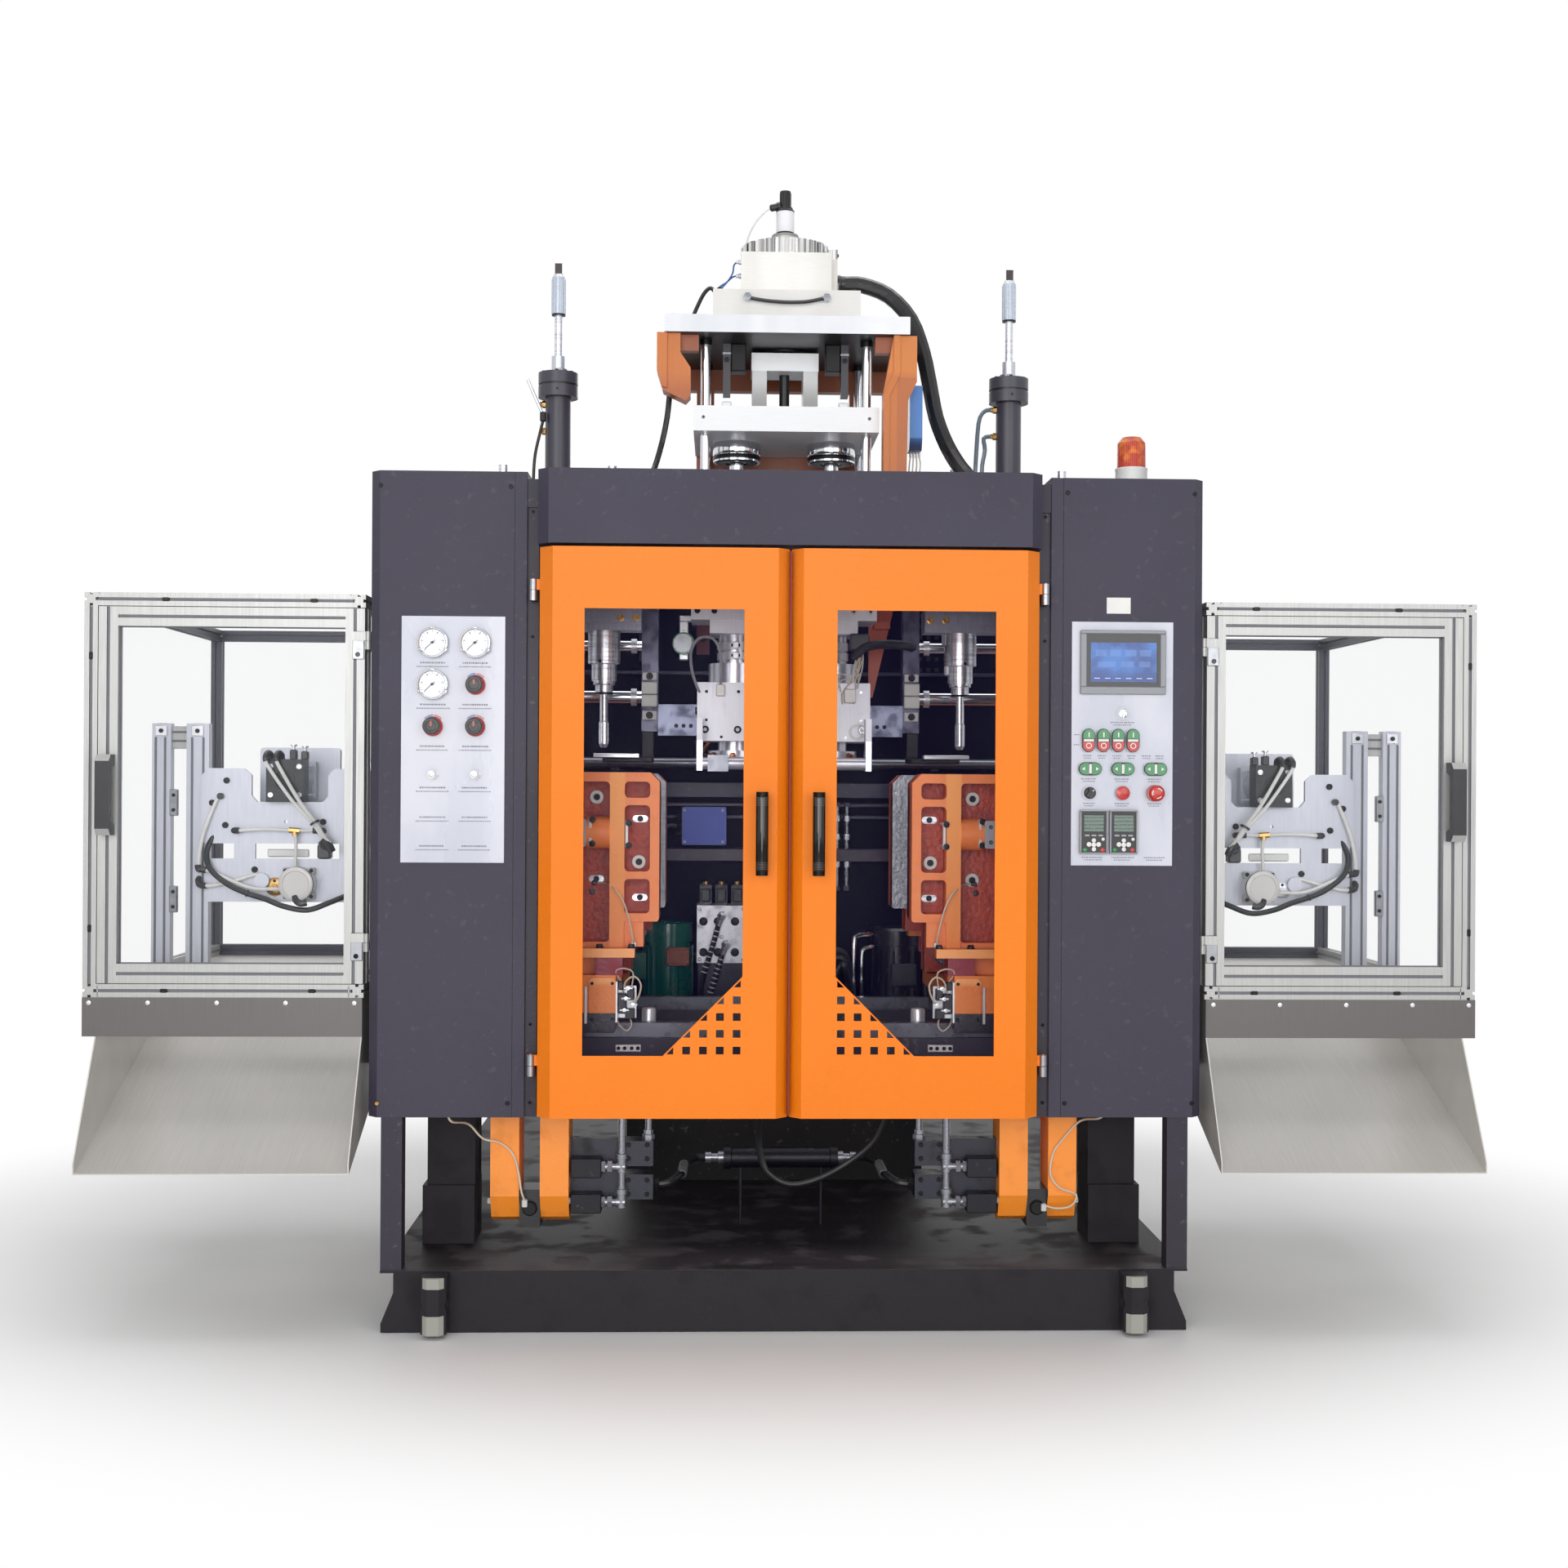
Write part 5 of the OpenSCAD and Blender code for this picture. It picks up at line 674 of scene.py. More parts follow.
# Drive keypads. Two inverter panels side by side, black moulded plastic in a silver frame, with a green display,
# a round pad of keys and a green and a red key.
silver_plastic = Finish("silver_plastic", "#8f9196", 0.35, 0.4).worn(0.2, 0.25, 300.0)
display = Finish("keypad_display", "#5d7468", 0.2)
x, y, z = display.axes()
display.coated("#63796e", (((z * 110) % 1.0 > 0.55) * display.noise(420.0).fade(0.45, 0.5), "#33423c"))
keypads = Part("keypad_faces")
for left in (725, 800):
    cx = left + 34
    for low, high in (((left - 1, -567, 1295), (left + 69, -562, 1299)),
            ((left - 1, -567, 1189), (left + 69, -562, 1193)), ((left - 1, -567, 1193), (left + 3, -562, 1295)),
            ((left + 65, -567, 1193), (left + 69, -562, 1295))):
        keypads.use(silver_plastic).block(low, high, 0.9)
    keypads.use(display).block((cx - 25, -566.6, 1244), (cx + 25, -564.6, 1286), 0.8)
    for k in (-1, 0, 1):
        keypads.use(silver_plastic).block((cx + 17 * k - 6, -566.2, 1233), (cx + 17 * k + 6, -564.6, 1237.5), 0.4)
    for dx, dz, r, finish in ((0, 0, 6, white_plastic), (-12, 1, 6, white_plastic), (12, 1, 6, white_plastic),
            (0, 11, 5.4, white_plastic), (0, -11, 5.4, white_plastic), (-22, -13, 5.6, green_plastic),
            (22, -13, 5.6, red_plastic), (23, 14, 4, white_plastic)):
        keypads.use(finish).turned((cx + dx, -564.8, 1212 + dz), FRONT,
            [(r, 0), (r, 1.6), (r - 1.4, 2.6), (0, 2.8)], 16)
keypads.fit("frame", "dark_plastic")
control_marks = Part("control_marks").use(ink)
for n, (mx, mz, w) in enumerate([(745, 1434, 24), (782, 1434, 24), (819, 1434, 24), (856, 1434, 24),
        (893, 1434, 24), (926, 1434, 22), (749, 1376, 40), (831, 1376, 40), (913, 1376, 40), (749, 1315, 30),
        (831, 1315, 36), (913, 1315, 36), (759, 1180, 56), (834, 1180, 56), (913, 1180, 52), (831, 1517, 60)]):
    dashes(control_marks, mx, mz, w, 100 + n, height=2.8)
    dashes(control_marks, mx, mz - 6, w * 0.8, 150 + n, height=2.4)
for mz in (1486, 1461):
    dashes(control_marks, 717, mz, 14, 7, height=2.4)
control_marks.fit("frame", "panel_paint")
card = Part("blank_card").use(white_plastic).block((791, -551.2, 1789), (851, -550.1, 1829), 0.3)
card.fit("frame", "panel_paint")

# Warning beacon. A white base and a ribbed orange lens over a turning mirror, fixed on the right cabinet's roof.
lens = Finish("beacon_lens", "#b8310c", 0.3)
x, y, z = lens.axes()
angle = lens.node("Math", {"operation": "ARCTAN2"}, x - 0.867, y + 0.475)
flutes = (angle * 7.639) % 1.0
glow = lens.noise(38.0, 3.0).fade(0.42, 0.66)
foot = z < 2.1615
lens_shade = lens.layers("#b42c0c", (glow * z.fade(2.165, 2.19), "#e07b16"),
    (abs(flutes - 0.5).fade(0.38, 0.5) * 0.6, "#8e1a0e"))
lens.coated(lens_shade, (foot, "#e4e0dc"))
lens.feed("Emission Color", lens.mix(foot, lens_shade, "#000000"))
lens.shader.inputs["Emission Strength"].default_value = 0.08
lens.bump(abs(flutes - 0.5) * (1 - foot), 0.0015)
dress(lens, "warning_beacon")
base_ring = Part("beacon_base").use(white_plastic)
base_ring.turned((867, -475, 2127.2), UP,
    [(0, 0), (43, 0), (43, 4), (40.5, 6), (39.8, 30), (41, 32), (41, 36), (38.6, 37)], 36)
base_ring.fit("frame", "red_plastic")

# Shuttle drives. Cranked arms of thick plate hang under the front rail beam on a black pivot block and pull the
# carriages; the valve blocks beside them are dark castings with plated elbows, screwed together.
arm_coat = paint("arm_orange", "#ff962f", 0.36, dirty=0.15)
x, y, z = arm_coat.axes()
pivot = (abs(abs(x) - 0.652) < 0.0266) * (z < 0.3175)
casting = 1 - (abs(x) > 0.5524)
grime = arm_coat.noise(17.0, 5.0).fade(0.5, 0.75)
arm_coat.coated("#ff9733", (grime * 0.3, "#b4622a"), (pivot, "#1d1c20"),
    (casting, arm_coat.mix(grime, "#16172b", "#0d0e16")))
arm_coat.feed("Roughness", 0.34 + grime * 0.3)
dress(arm_coat, "support_arms")
ground_steel = Finish("ground_steel", "#d9dbe2", 0.18, 0.45)
streak = ground_steel.noise(6.0, 4.0, ground_steel.stretched(1, 40, 40))
ground_steel.coated("#e6e8ee", (streak.fade(0.35, 0.7), "#a7a9b4"))
ground_steel.feed("Roughness", streak * 0.2 + 0.1)
rail_steel = Finish("rail_steel", "#62646e", 0.3, 0.5).worn(0.3, 0.15, 30.0, 4.0)
dress(rail_steel, "shuttle_rails")
elbow_steel = Finish("elbow_steel", "#8f9199", 0.24, 0.7).worn(0.3, 0.12, 90.0, 3.0)
black_hose = Finish("black_hose", "#17171b", 0.42).grained(0.0003, 420.0).worn(0.25, 0.3, 40.0, 3.0)
dark_block = paint("port_block_black", "#12131f", 0.4, dirty=0.2, Specular_IOR_Level=0.3)
valve_fittings = Part("shuttle_valve_fittings")
for side in (-1, 1):
    for z_mm in (281, 372):
        # Dark port block, two union nuts and an elbow that turns up into a steel pipe
        valve_fittings.use(dark_block).block((side * 470, -388, z_mm - 25), (side * 548, -342.8, z_mm + 25), 2)
        valve_fittings.use(elbow_steel)
        for start, r, long in ((470, 15, 9), (461, 11, 6), (455, 16, 12), (443, 10, 12)):
            valve_fittings.turned((side * start, -366, z_mm), (-side, 0, 0), stepped(r, long), 6 if r > 12 else 14)
        valve_fittings.turned((side * 432, -366, z_mm), (-side, 0, 0), stepped(13, 22), 18)
        valve_fittings.turned((side * 419, -366, z_mm - 13), UP, stepped(13, 34, 16, 47, 11, 56), 18)
        for dx in (-24, 24):
            valve_fittings.use(black_steel)
            for dz in (-18, 18):
                valve_fittings.socket_screw((side * (378 + dx), -358, z_mm + 37 + dz), FRONT, 12, 7)
    valve_fittings.use(elbow_steel).hose(flip(side, (419, -366, 322), (419, -366, 340),
        (419, -366, 362)), 18, 10, 2)
    valve_fittings.hose(flip(side, (419, -366, 412), (419, -366, 470), (417, -364, 540), (408, -350, 590),
        (404, -336, 620.4)), 20, 10, 5)
    valve_fittings.hose(flip(side, (352, -323, 435.6), (352, -323, 500), (350, -322, 570),
        (348, -320, 620.4)), 17, 10, 4)
    valve_fittings.turned((side * 352, -323, 435.8), UP, stepped(16, 12, 12, 24), 6)
    valve_fittings.use(black_steel).turned((side * 652, -383, 270), FRONT, capped(19, 7, 16, 11), 18)
    valve_fittings.turned((side * 338.7, -323, 318), (-side, 0, 0), stepped(17, 14), 6)
    # Corrugated hose from the block to the cylinder behind
    valve_fittings.use(black_hose).hose(flip(side, (326, -323, 318), (296, -318, 322), (270, -250, 332),
        (262, -140, 336), (236, -66, 336), (206, -60, 336)), 20, 9, 5)
    for k in range(11):
        f = k / 10
        valve_fittings.turned((side * (266 - 3 * f), -262 + 112 * f, 331 + 4 * f), BACK,
            [(9, -3), (13, -2), (13, 2), (9, 3)], 12)
    valve_fittings.use(elbow_steel).turned((side * 206, -60, 336), (-side, 0, 0),
        stepped(16, 16, 12, 34, 18, 52), 18)
    valve_fittings.use(dark_block).hose(flip(side, (110, -60, 152.8), (110, -60, 240), (110, -60, 330)), 9, 8, 1)
valve_fittings.use(dark_block).turned((-156, -60, 336), RIGHT,
    [(0, 0), (32, 0), (32, 20), (28, 22), (28, 290), (32, 292), (32, 312), (0, 312)], 26)
valve_fittings.use(black_hose).hose([(-45, -300, 620.4), (-60, -262, 520), (-64, -216, 430), (-58, -202, 372),
    (-38, -200, 322), (25, -200, 290), (117, -200, 314), (219, -205, 381), (266, -222, 446), (290, -262, 540),
    (296, -300, 620.4)], 18, 9, 5)
valve_fittings.hose([(120, -300, 620.4), (112, -250, 560), (60, -180, 512), (-60, -150, 500), (-190, -170, 512),
    (-262, -230, 556), (-284, -300, 620.4)], 14, 8, 5)
valve_fittings.fit("frame", "dark_plastic")

# Mould carriages. Cast end brackets and bed plate, painted orange, on black guide blocks; two hard chromed shafts
# and the clamp cylinder join the brackets. Their holders are dark red; bolt heads and switches sit at the inner end.
carriage_coat = paint("carriage_orange", "#ee8636", 0.32, peel=150.0, depth=0.0006, dirty=0.3, dirt="#5a2a14")
x, y, z = carriage_coat.axes()
blotch = carriage_coat.noise(22.0, 5.0).fade(0.5, 0.72)
holder = z.between(0.8662, 0.9118) * (abs(y) > 0.3379)
inside = (abs(y) < 0.3379) * (z > 0.8102)
chromed = inside * (abs(abs(x) - 0.625) > 0.11)
carriage_coat.coated("#ee8636", (blotch * 0.3, "#b9561f"), (z.fade(0.835, 0.852) * (abs(y) > 0.384), "#ffab62"),
    (holder, "#8e2233"), (z < 0.7698, "#1f1e28"), (inside, "#2b2a35"), (chromed, "#dcdde4"))
carriage_coat.feed("Metallic", chromed * 0.9)
carriage_coat.feed("Roughness", 0.34 + blotch * 0.22 - chromed * 0.22)
dress(carriage_coat, "left_carriage", "right_carriage")
beige_lead = Finish("beige_lead", "#d8c9b4", 0.4).worn(0.3, 0.3, 60.0)
washer_white = Finish("washer_zinc", "#cfcdca", 0.3, 0.1).worn(0.3, 0.2, 120.0, 3.0)
clip_steel = Finish("clip_steel", "#d9dae0", 0.3, 0.5).worn(0.3, 0.18, 70.0, 4.0)
for side, name in SIDES:
    trim = Part(name + "_carriage_switches")
    for end in (-1, 1):
        face = end * 384
        trim.use(black_steel)
        for x_mm in (560, 690):
            for z_mm in (752, 840):
                trim.socket_screw((side * x_mm, face, z_mm), (0, end, 0), 18, 10)
        for x_mm in (444, 496, 754, 806):
            for z_mm in (754, 846):
                trim.hex_bolt((side * x_mm, end * 390, z_mm), (0, end, 0), 9, False)
        trim.use(clip_steel)
        trim.block((side * 508, end * 388, 742), (side * 516, end * 384, 838), 1.5)
        for x_mm in (397, 479, 771, 853):
            trim.use(black_steel).hex_bolt((side * x_mm, end * 368, 934.8), UP, 17)
    # Switches on a bent sheet at the inner end
    trim.use(black_plastic)
    for x_mm, z_mm, w, h in ((420, 792, 22, 52), (398, 816, 18, 30), (400, 766, 24, 26), (424, 838, 14, 22)):
        trim.block((side * (x_mm - w / 2), -374, z_mm - h / 2), (side * (x_mm + w / 2), -346, z_mm + h / 2), 2)
    trim.use(clip_steel).block((side * 384, -346, 752), (side * 437, -341, 836), 1)
    trim.block((side * 431, -382, 744), (side * 437, -341, 850), 1)
    for x_mm, z_mm in ((410, 806), (392, 790), (414, 776), (404, 832)):
        trim.use(clip_steel).block((side * (x_mm - 12), -378, z_mm - 2.5),
            (side * (x_mm + 12), -374, z_mm + 2.5), 1)
        trim.use(chrome).turned((side * x_mm, -378, z_mm), FRONT, [(0, 0), (5, 0), (5, 3.5), (0, 4)], 10)
    trim.use(beige_lead).hose(flip(side, (420, -362, 818), (410, -372, 850), (388, -376, 862), (372, -370, 840),
        (380, -368, 806), (398, -372, 786)), 5, 6, 5)
    trim.hose(flip(side, (424, -362, 849), (436, -380, 876), (414, -386, 884), (392, -380, 872),
        (396, -368, 834)), 4, 6, 5)
    trim.hose(flip(side, (400, -358, 753), (396, -366, 736), (408, -366, 722), (426, -358, 734),
        (433, -350, 748)), 4, 6, 5)
    trim.fit(name + "_carriage_body", "bare_steel")
cables = Part("arm_sensor_cables")
for side, route in ((-1, ((845, 512, 531.4), (834, 505, 512), (806, 408, 489), (770, 404, 452), (727, 402.5, 441),
        (694, 402.5, 412), (680, 402.5, 368), (672, 402, 318), (664, 394, 290))),
        (1, ((800, 512, 531.4), (786, 504, 520), (758, 410, 497), (714, 403, 448), (690, 402.5, 412),
        (684, 402.5, 358), (708, 403, 324), (750, 403, 306), (738, 403, 278), (700, 402.5, 271), (668, 396, 278)))):
    cables.use(beige_lead).hose([(side * a, -b, c) for a, b, c in route], 5.5, 7, 5)
    end = route[-1]
    cables.use(washer_white).block((side * end[0] - 7, -end[1] - 5, end[2] - 16),
        (side * end[0] + 7, -382.8, end[2] + 4), 2)
    for x_mm, out in ((751.3, side), (552.7, -side)):
        cables.use(washer_white).hex_bolt((side * x_mm, -372, 286), (out, 0, 0), 16)
cables.fit("frame", "grey_plastic")
rail_trim = Part("rail_clips")
for side in (-1, 1):
    rail_trim.use(clip_steel).block((side * 372, -345, 664), (side * 438, -340, 684), 2)
    for x_mm in (380, 396, 414, 430):
        rail_trim.use(black_steel).turned((side * x_mm, -345, 674), FRONT,
            [(0, 0), (5, 0), (5, 1.5), (2.5, 1.5), (2.5, 0.4), (0, 0.4)], 12)
    rail_trim.use(clip_steel).turned((side * 356, -240, 690), UP,
        [(0, 0), (19, 0), (19, 70), (17, 76), (0, 78)], 24)
    rail_trim.use(black_steel).block((side * 356 - 14, -262, 694), (side * 356 + 14, -256, 730), 1)
    rail_trim.turned((side * 356, -240, 700), UP, [(19, 0), (20.5, 1), (20.5, 9), (19, 10)], 24)
    for n in range(7):
        x_mm = 470 + 60 * n
        for y_mm in (-300, 300):
            rail_trim.use(black_steel).socket_screw((side * x_mm, y_mm, 734.5), UP, 10, 1.8)
rail_trim.fit("frame", "bare_steel")

# Platens. Ribbed iron castings painted orange, rough pocket floors painted darker red as shade; washers under
# hexagon nuts, slotted clamp screws and small clamp bars hold the mould, and a block on two hubs takes the clamp's
# push.
cast_coat = Finish("platen_orange", "#ea7f36", 0.34)
x, y, z = cast_coat.axes()
# Painted shade: the pocket floors, deeper than the rib faces, are darker red.
reach = abs(y).fade(0.272, 0.318)
across = abs(abs(x) - 0.625)
lump = cast_coat.noise(75.0, 3.0)
speck = cast_coat.noise(34.0, 6.0).fade(0.5, 0.7)
# Painted highlight: the main ribs are lighter, lightest towards the top.
painted_rib_highlight = across.between(0.168, 0.208) * (abs(y) > 0.335)
painted_pocket_shade = cast_coat.mix(speck * 0.6, "#b4452a", "#8c2f26")
rib_shade = cast_coat.mix(speck * 0.2, "#f58a48", "#cf6a35")
block_zone = (across < 0.1082) * z.between(1.1938, 1.2662) * (abs(y) > 0.271)
mould_face = 1 - (abs(y) > 0.2202)
machined = cast_coat.noise(3.0, 4.0, cast_coat.stretched(1, 1, 60))
cast_coat.coated(painted_pocket_shade, (reach, rib_shade), (painted_rib_highlight, cast_coat.mix(z.fade(0.95, 1.35), "#f08c3c", "#ffa552")),
    (block_zone, "#a4a6ae"), (mould_face, cast_coat.mix(machined, "#c5c7cf", "#8f919b")))
cast_coat.feed("Metallic", mould_face * 0.7)
cast_coat.feed("Roughness", 0.3 + lump * 0.25)
cast_coat.bump(lump * (1.4 - reach), 0.0022)
dress(cast_coat, "left_front_platen", "left_rear_platen", "right_front_platen", "right_rear_platen")


def oblong(part, at, end, w, h, deep):
    """Plate with round ends lying on a pocket's floor."""
    r = h / 2
    loop = []
    for k in range(9):
        t = radians(-90 + 22.5 * k)
        loop.append((at[0] + w / 2 - r + r * cos(t), at[2] + r * sin(t)))
    for k in range(9):
        t = radians(90 + 22.5 * k)
        loop.append((at[0] - w / 2 + r + r * cos(t), at[2] + r * sin(t)))
    return part.plate(loop, min(at[1], at[1] + end * deep), max(at[1], at[1] + end * deep))


for side, name in SIDES:
    for end, face in ((-1, "front"), (1, "rear")):
        mounts = Part(f"{name}_{face}_platen_clamps")
        out = (0, end, 0)
        floor_y = end * 269.6
        low_round = side > 0
        for mirror in (-1, 1):
            place = lambda offset: side * STATION + mirror * offset
            for offset, z_mm, round_washer in ((-131, 1322, True), (-242, 1153, True), (-245, 1266, False),
                    (-245, 1060, False), (-131, 1108, low_round)):
                x_mm = place(offset)
                if round_washer:
                    mounts.use(washer_white).turned((x_mm, floor_y, z_mm), out,
                        [(0, 0), (18.5, 0), (18.5, 6), (17, 7.5), (9, 7.5)], 28)
                    mounts.use(black_steel).turned((x_mm, floor_y, z_mm), out,
                        [(8.8, 7.5), (8.8, 9.5), (4.4, 9.5), (4.4, 5), (0, 5)], 14)
                else:
                    oblong(mounts.use(cast_coat), (x_mm, floor_y, z_mm), end, 54, 36, 5)
                    oblong(mounts.use(ground_steel), (x_mm, floor_y + end * 5, z_mm), end, 40, 18, 1.6)
                    mounts.use(black_steel).turned((x_mm, floor_y + end * 6, z_mm), out,
                        [(8, 0), (8, 3), (4.2, 3), (4.2, 1), (0, 1)], 12)
            for offset, z0, z1, base in ((-213, 1192, 1262, 270), (-119, 1196, 1270, 314)):
                x_mm = place(offset)
                mounts.use(washer_white).block((x_mm - 4, end * 341, z0), (x_mm + 4, end * 346, z1), 1.4)
                for z_mm in (z0 + 6, z1 - 6):
                    mounts.use(washer_white).turned((x_mm, end * base, z_mm), out,
                        [(4.5, 0), (4.5, 346 - base), (0, 346 - base)], 10)
                    mounts.use(black_steel).turned((x_mm + 5, end * 334, z_mm), out,
                        [(0, 0), (8.5, 0), (8.5, 12), (0, 13)], 12)
            # Dark steel strip down the platen's edge and the screws of the clamp block
            x_mm = place(-297.5)
            mounts.use(black_steel).block((x_mm, end * 262, 1010), (x_mm + mirror * 2.4, end * 224, 1352), 0.8)
            for dz in (-20, 20):
                mounts.use(black_steel).socket_screw((place(-92), end * 347.6, 1230 + dz), out, 10, 2.5)
        mounts.use(ground_steel).turned((side * STATION, end * 347.6, 1230), out,
            [(0, 0), (27, 0), (27, 2), (24, 3), (12, 3), (12, 0.5), (0, 0.5)], 26)
        if face == "front":
            lead = flip(side, (497, -276, 1098), (470, -292, 1097), (444, -347, 1087), (424, -352, 1062),
                (408, -352, 1020), (396, -352, 968), (392, -342, 940))
            mounts.use(beige_lead).hose(lead, 5, 6, 5)
            mounts.use(black_plastic).block((side * 490, -281, 1092), (side * 506, -270, 1104), 2)
            mounts.use(clip_steel).block((side * 386, -345, 936), (side * 398, -338, 948), 1)
        mounts.fit(f"{name}_{face}_platen_body", "bare_steel")

# Tie rods. Hard chromed bars between dark hanger plates; each hanger has a split clamp of white anodised blocks,
# two cap screws and the plate that steadies the die block.
rod_finish = Finish("hanger_and_rods", "#d8dae2", 0.12, 0.9)
x, y, z = rod_finish.axes()
hanger = (abs(x) < 0.3972) + (abs(x) > 0.8977)
steady = abs(x) < 0.3498
haze = rod_finish.noise(26.0, 4.0).fade(0.4, 0.7)
plate_shade = rod_finish.layers("#5c5a70", (haze, "#3b3950"), (steady, rod_finish.mix(haze, "#8d92ac", "#6a6f8b")))
rod_finish.coated("#e2e4ea", (hanger, plate_shade))
rod_finish.feed("Metallic", 0.92 - hanger * 0.6)
rod_finish.feed("Roughness", hanger * (0.2 + haze * 0.2) + 0.12)
dress(rod_finish, "cross_rods")
clamps = Part("rod_clamps")
for side in (-1, 1):
    clamps.use(white_plastic)
    for z0, z1 in ((1577, 1611), (1613, 1647)):
        clamps.block((side * 352, 138, z0), (side * 396, 150.2, z1), 2)
    for z0, z1 in ((1653, 1675), (1540, 1566)):
        clamps.block((side * 354, 152, z0), (side * 394, 160.2, z1), 1.5)
    clamps.use(black_steel)
    for z_mm in (1664, 1553):
        clamps.socket_screw((side * 374, 152.2, z_mm), FRONT, 20, 8)
    for x_mm in (256, 277, 298):
        clamps.turned((side * x_mm, 166.2, 1524), FRONT, stepped(6, 0.8), 14)
    # Locking collars and the plate behind the blow pins
    clamps.use(clip_steel)
    for z_mm, r in ((1606, 25), (1752, 21)):
        clamps.turned((side * 412, 190, z_mm), (side, 0, 0), hoop(r - 8, r, 16), 24)
    clamps.use(ground_steel).block((side * 397, 26, 1430), (side * 524, 74, 1442), 1.5)
    clamps.use(black_steel)
    clamps.block((side * 362, 172, 1424), (side * 396, 208, 1507.5), 2)
    clamps.block((side * 362, 40, 1418), (side * 500, 190, 1430.4), 2)
clamps.fit("frame", "bare_steel")

# Blow units. A brushed steel block with two blow pins, each a bored sleeve, a collar, a nut with a rubber ring and
# a slim pin with a fluted tip; the piston rod above is hard chromed.
blow_steel = Finish("blow_unit_steel", "#c3c5d2", 0.26, 0.75)
x, y, z = blow_steel.axes()
block_zone = z.between(1.7788, 1.8404)
brushed = blow_steel.noise(5.0, 5.0, blow_steel.stretched(90, 90, 3))
ringed = blow_steel.noise(5.0, 3.0, blow_steel.stretched(2, 2, 120))
tip = z > 2.7543
sleeve = z.between(2.645, 2.7543)
blow_steel.coated(blow_steel.mix(ringed.fade(0.4, 0.7), "#e3e4ec", "#a9abb8"),
    (block_zone, blow_steel.mix(brushed, "#a9abba", "#6d6f80")), (sleeve, "#c3cbd8"), (tip, "#40383c"))
blow_steel.feed("Metallic", 0.8 - block_zone * 0.45 - sleeve * 0.4 - tip * 0.7)
blow_steel.feed("Roughness", block_zone * 0.08 + 0.2 + ringed * 0.1)
dress(blow_steel, "left_blow_unit", "right_blow_unit")
for side, name in SIDES:
    pins = Part(name + "_blow_pin_fittings")
    for x_mm in (494, 756):
        pins.use(black_steel).turned((side * x_mm, 0, 1603.8), UP,
            [(25.2, 0), (26.4, 1), (26.4, 4.6), (25.2, 5.6)], 26)
        pins.turned((side * x_mm + 8 * side, -43.6, 1694), (0.18 * side, -1, 0), stepped(4.2, 2), 12)
        pins.use(ground_steel)
        for cx, cy in around(8, 12.6, side * x_mm, 0, 0.5):
            pins.hose([(cx, cy, 1469), (cx, cy, 1497), (cx, cy, 1525)], 3.4, 6, 1)
        for cx, cy in around(6, 28, side * x_mm):
            pins.use(black_steel).turned((cx, cy, 1633.6), DOWN, [(0, 0), (3.4, 0), (3.4, 2.6), (0, 3)], 8)
    for x_mm in (420, 560, 690, 830):
        pins.use(black_steel).socket_screw((side * x_mm, 0, 1839.6), UP, 18, 10)
    pins.use(brass)
    for x_mm in (404, 446):
        pins.turned((side * x_mm, -50, 1812), FRONT, stepped(11, 9, 7, 22), 6)
    if side > 0:
        pins.use(clip_steel).turned((460, 0, 1779.4), DOWN, stepped(18, 32), 6)
        pins.turned((460, 0, 1747.4), DOWN, capped(11, 80, 9, 83), 20)
    pins.fit(name + "_blow_body", "bare_steel")

# Die head. Flow blocks and a die block of milled tool steel, near white where they are polished, with turned head
# bodies, necks and die rings below; black cap screws clamp them and heater wires fan out from a junction above.
tool_steel = Finish("tool_steel", "#e9eaf2", 0.3, 0.15)
x, y, z = tool_steel.axes()
milled = tool_steel.noise(4.0, 5.0, tool_steel.stretched(70, 3, 3))
stain = tool_steel.noise(7.0, 4.0).fade(0.5, 0.75)
turned_zone = z.between(1.6342, 1.7688) + z.between(1.92, 2.11) + (z < 1.4748)
tool_steel.coated("#eeeff6", (milled, "#d9dae6"), (stain * 0.4, "#a9a9bc"), (turned_zone * 0.7, "#c4c6d2"))
tool_steel.feed("Metallic", turned_zone * 0.4 + 0.14)
tool_steel.feed("Roughness", 0.32 - turned_zone * 0.14 + milled * 0.12)
dress(tool_steel, "die_head")
blade_steel = Finish("blade_steel", "#7d7f88", 0.3, 0.8).worn(0.3, 0.18, 40.0, 4.0)
dress(blade_steel, "parison_knife")
copper = Finish("copper_parts", "#b4714b", 0.28, 0.9)
copper.coated("#c0805a", (copper.noise(45.0, 4.0).fade(0.4, 0.7), "#8a5136"))
clear_hose = Finish("clear_hose", "#8f929c", 0.2, Coat_Weight=0.3).worn(0.2, 0.08, 50.0)
die_trim = Part("die_head_trim")
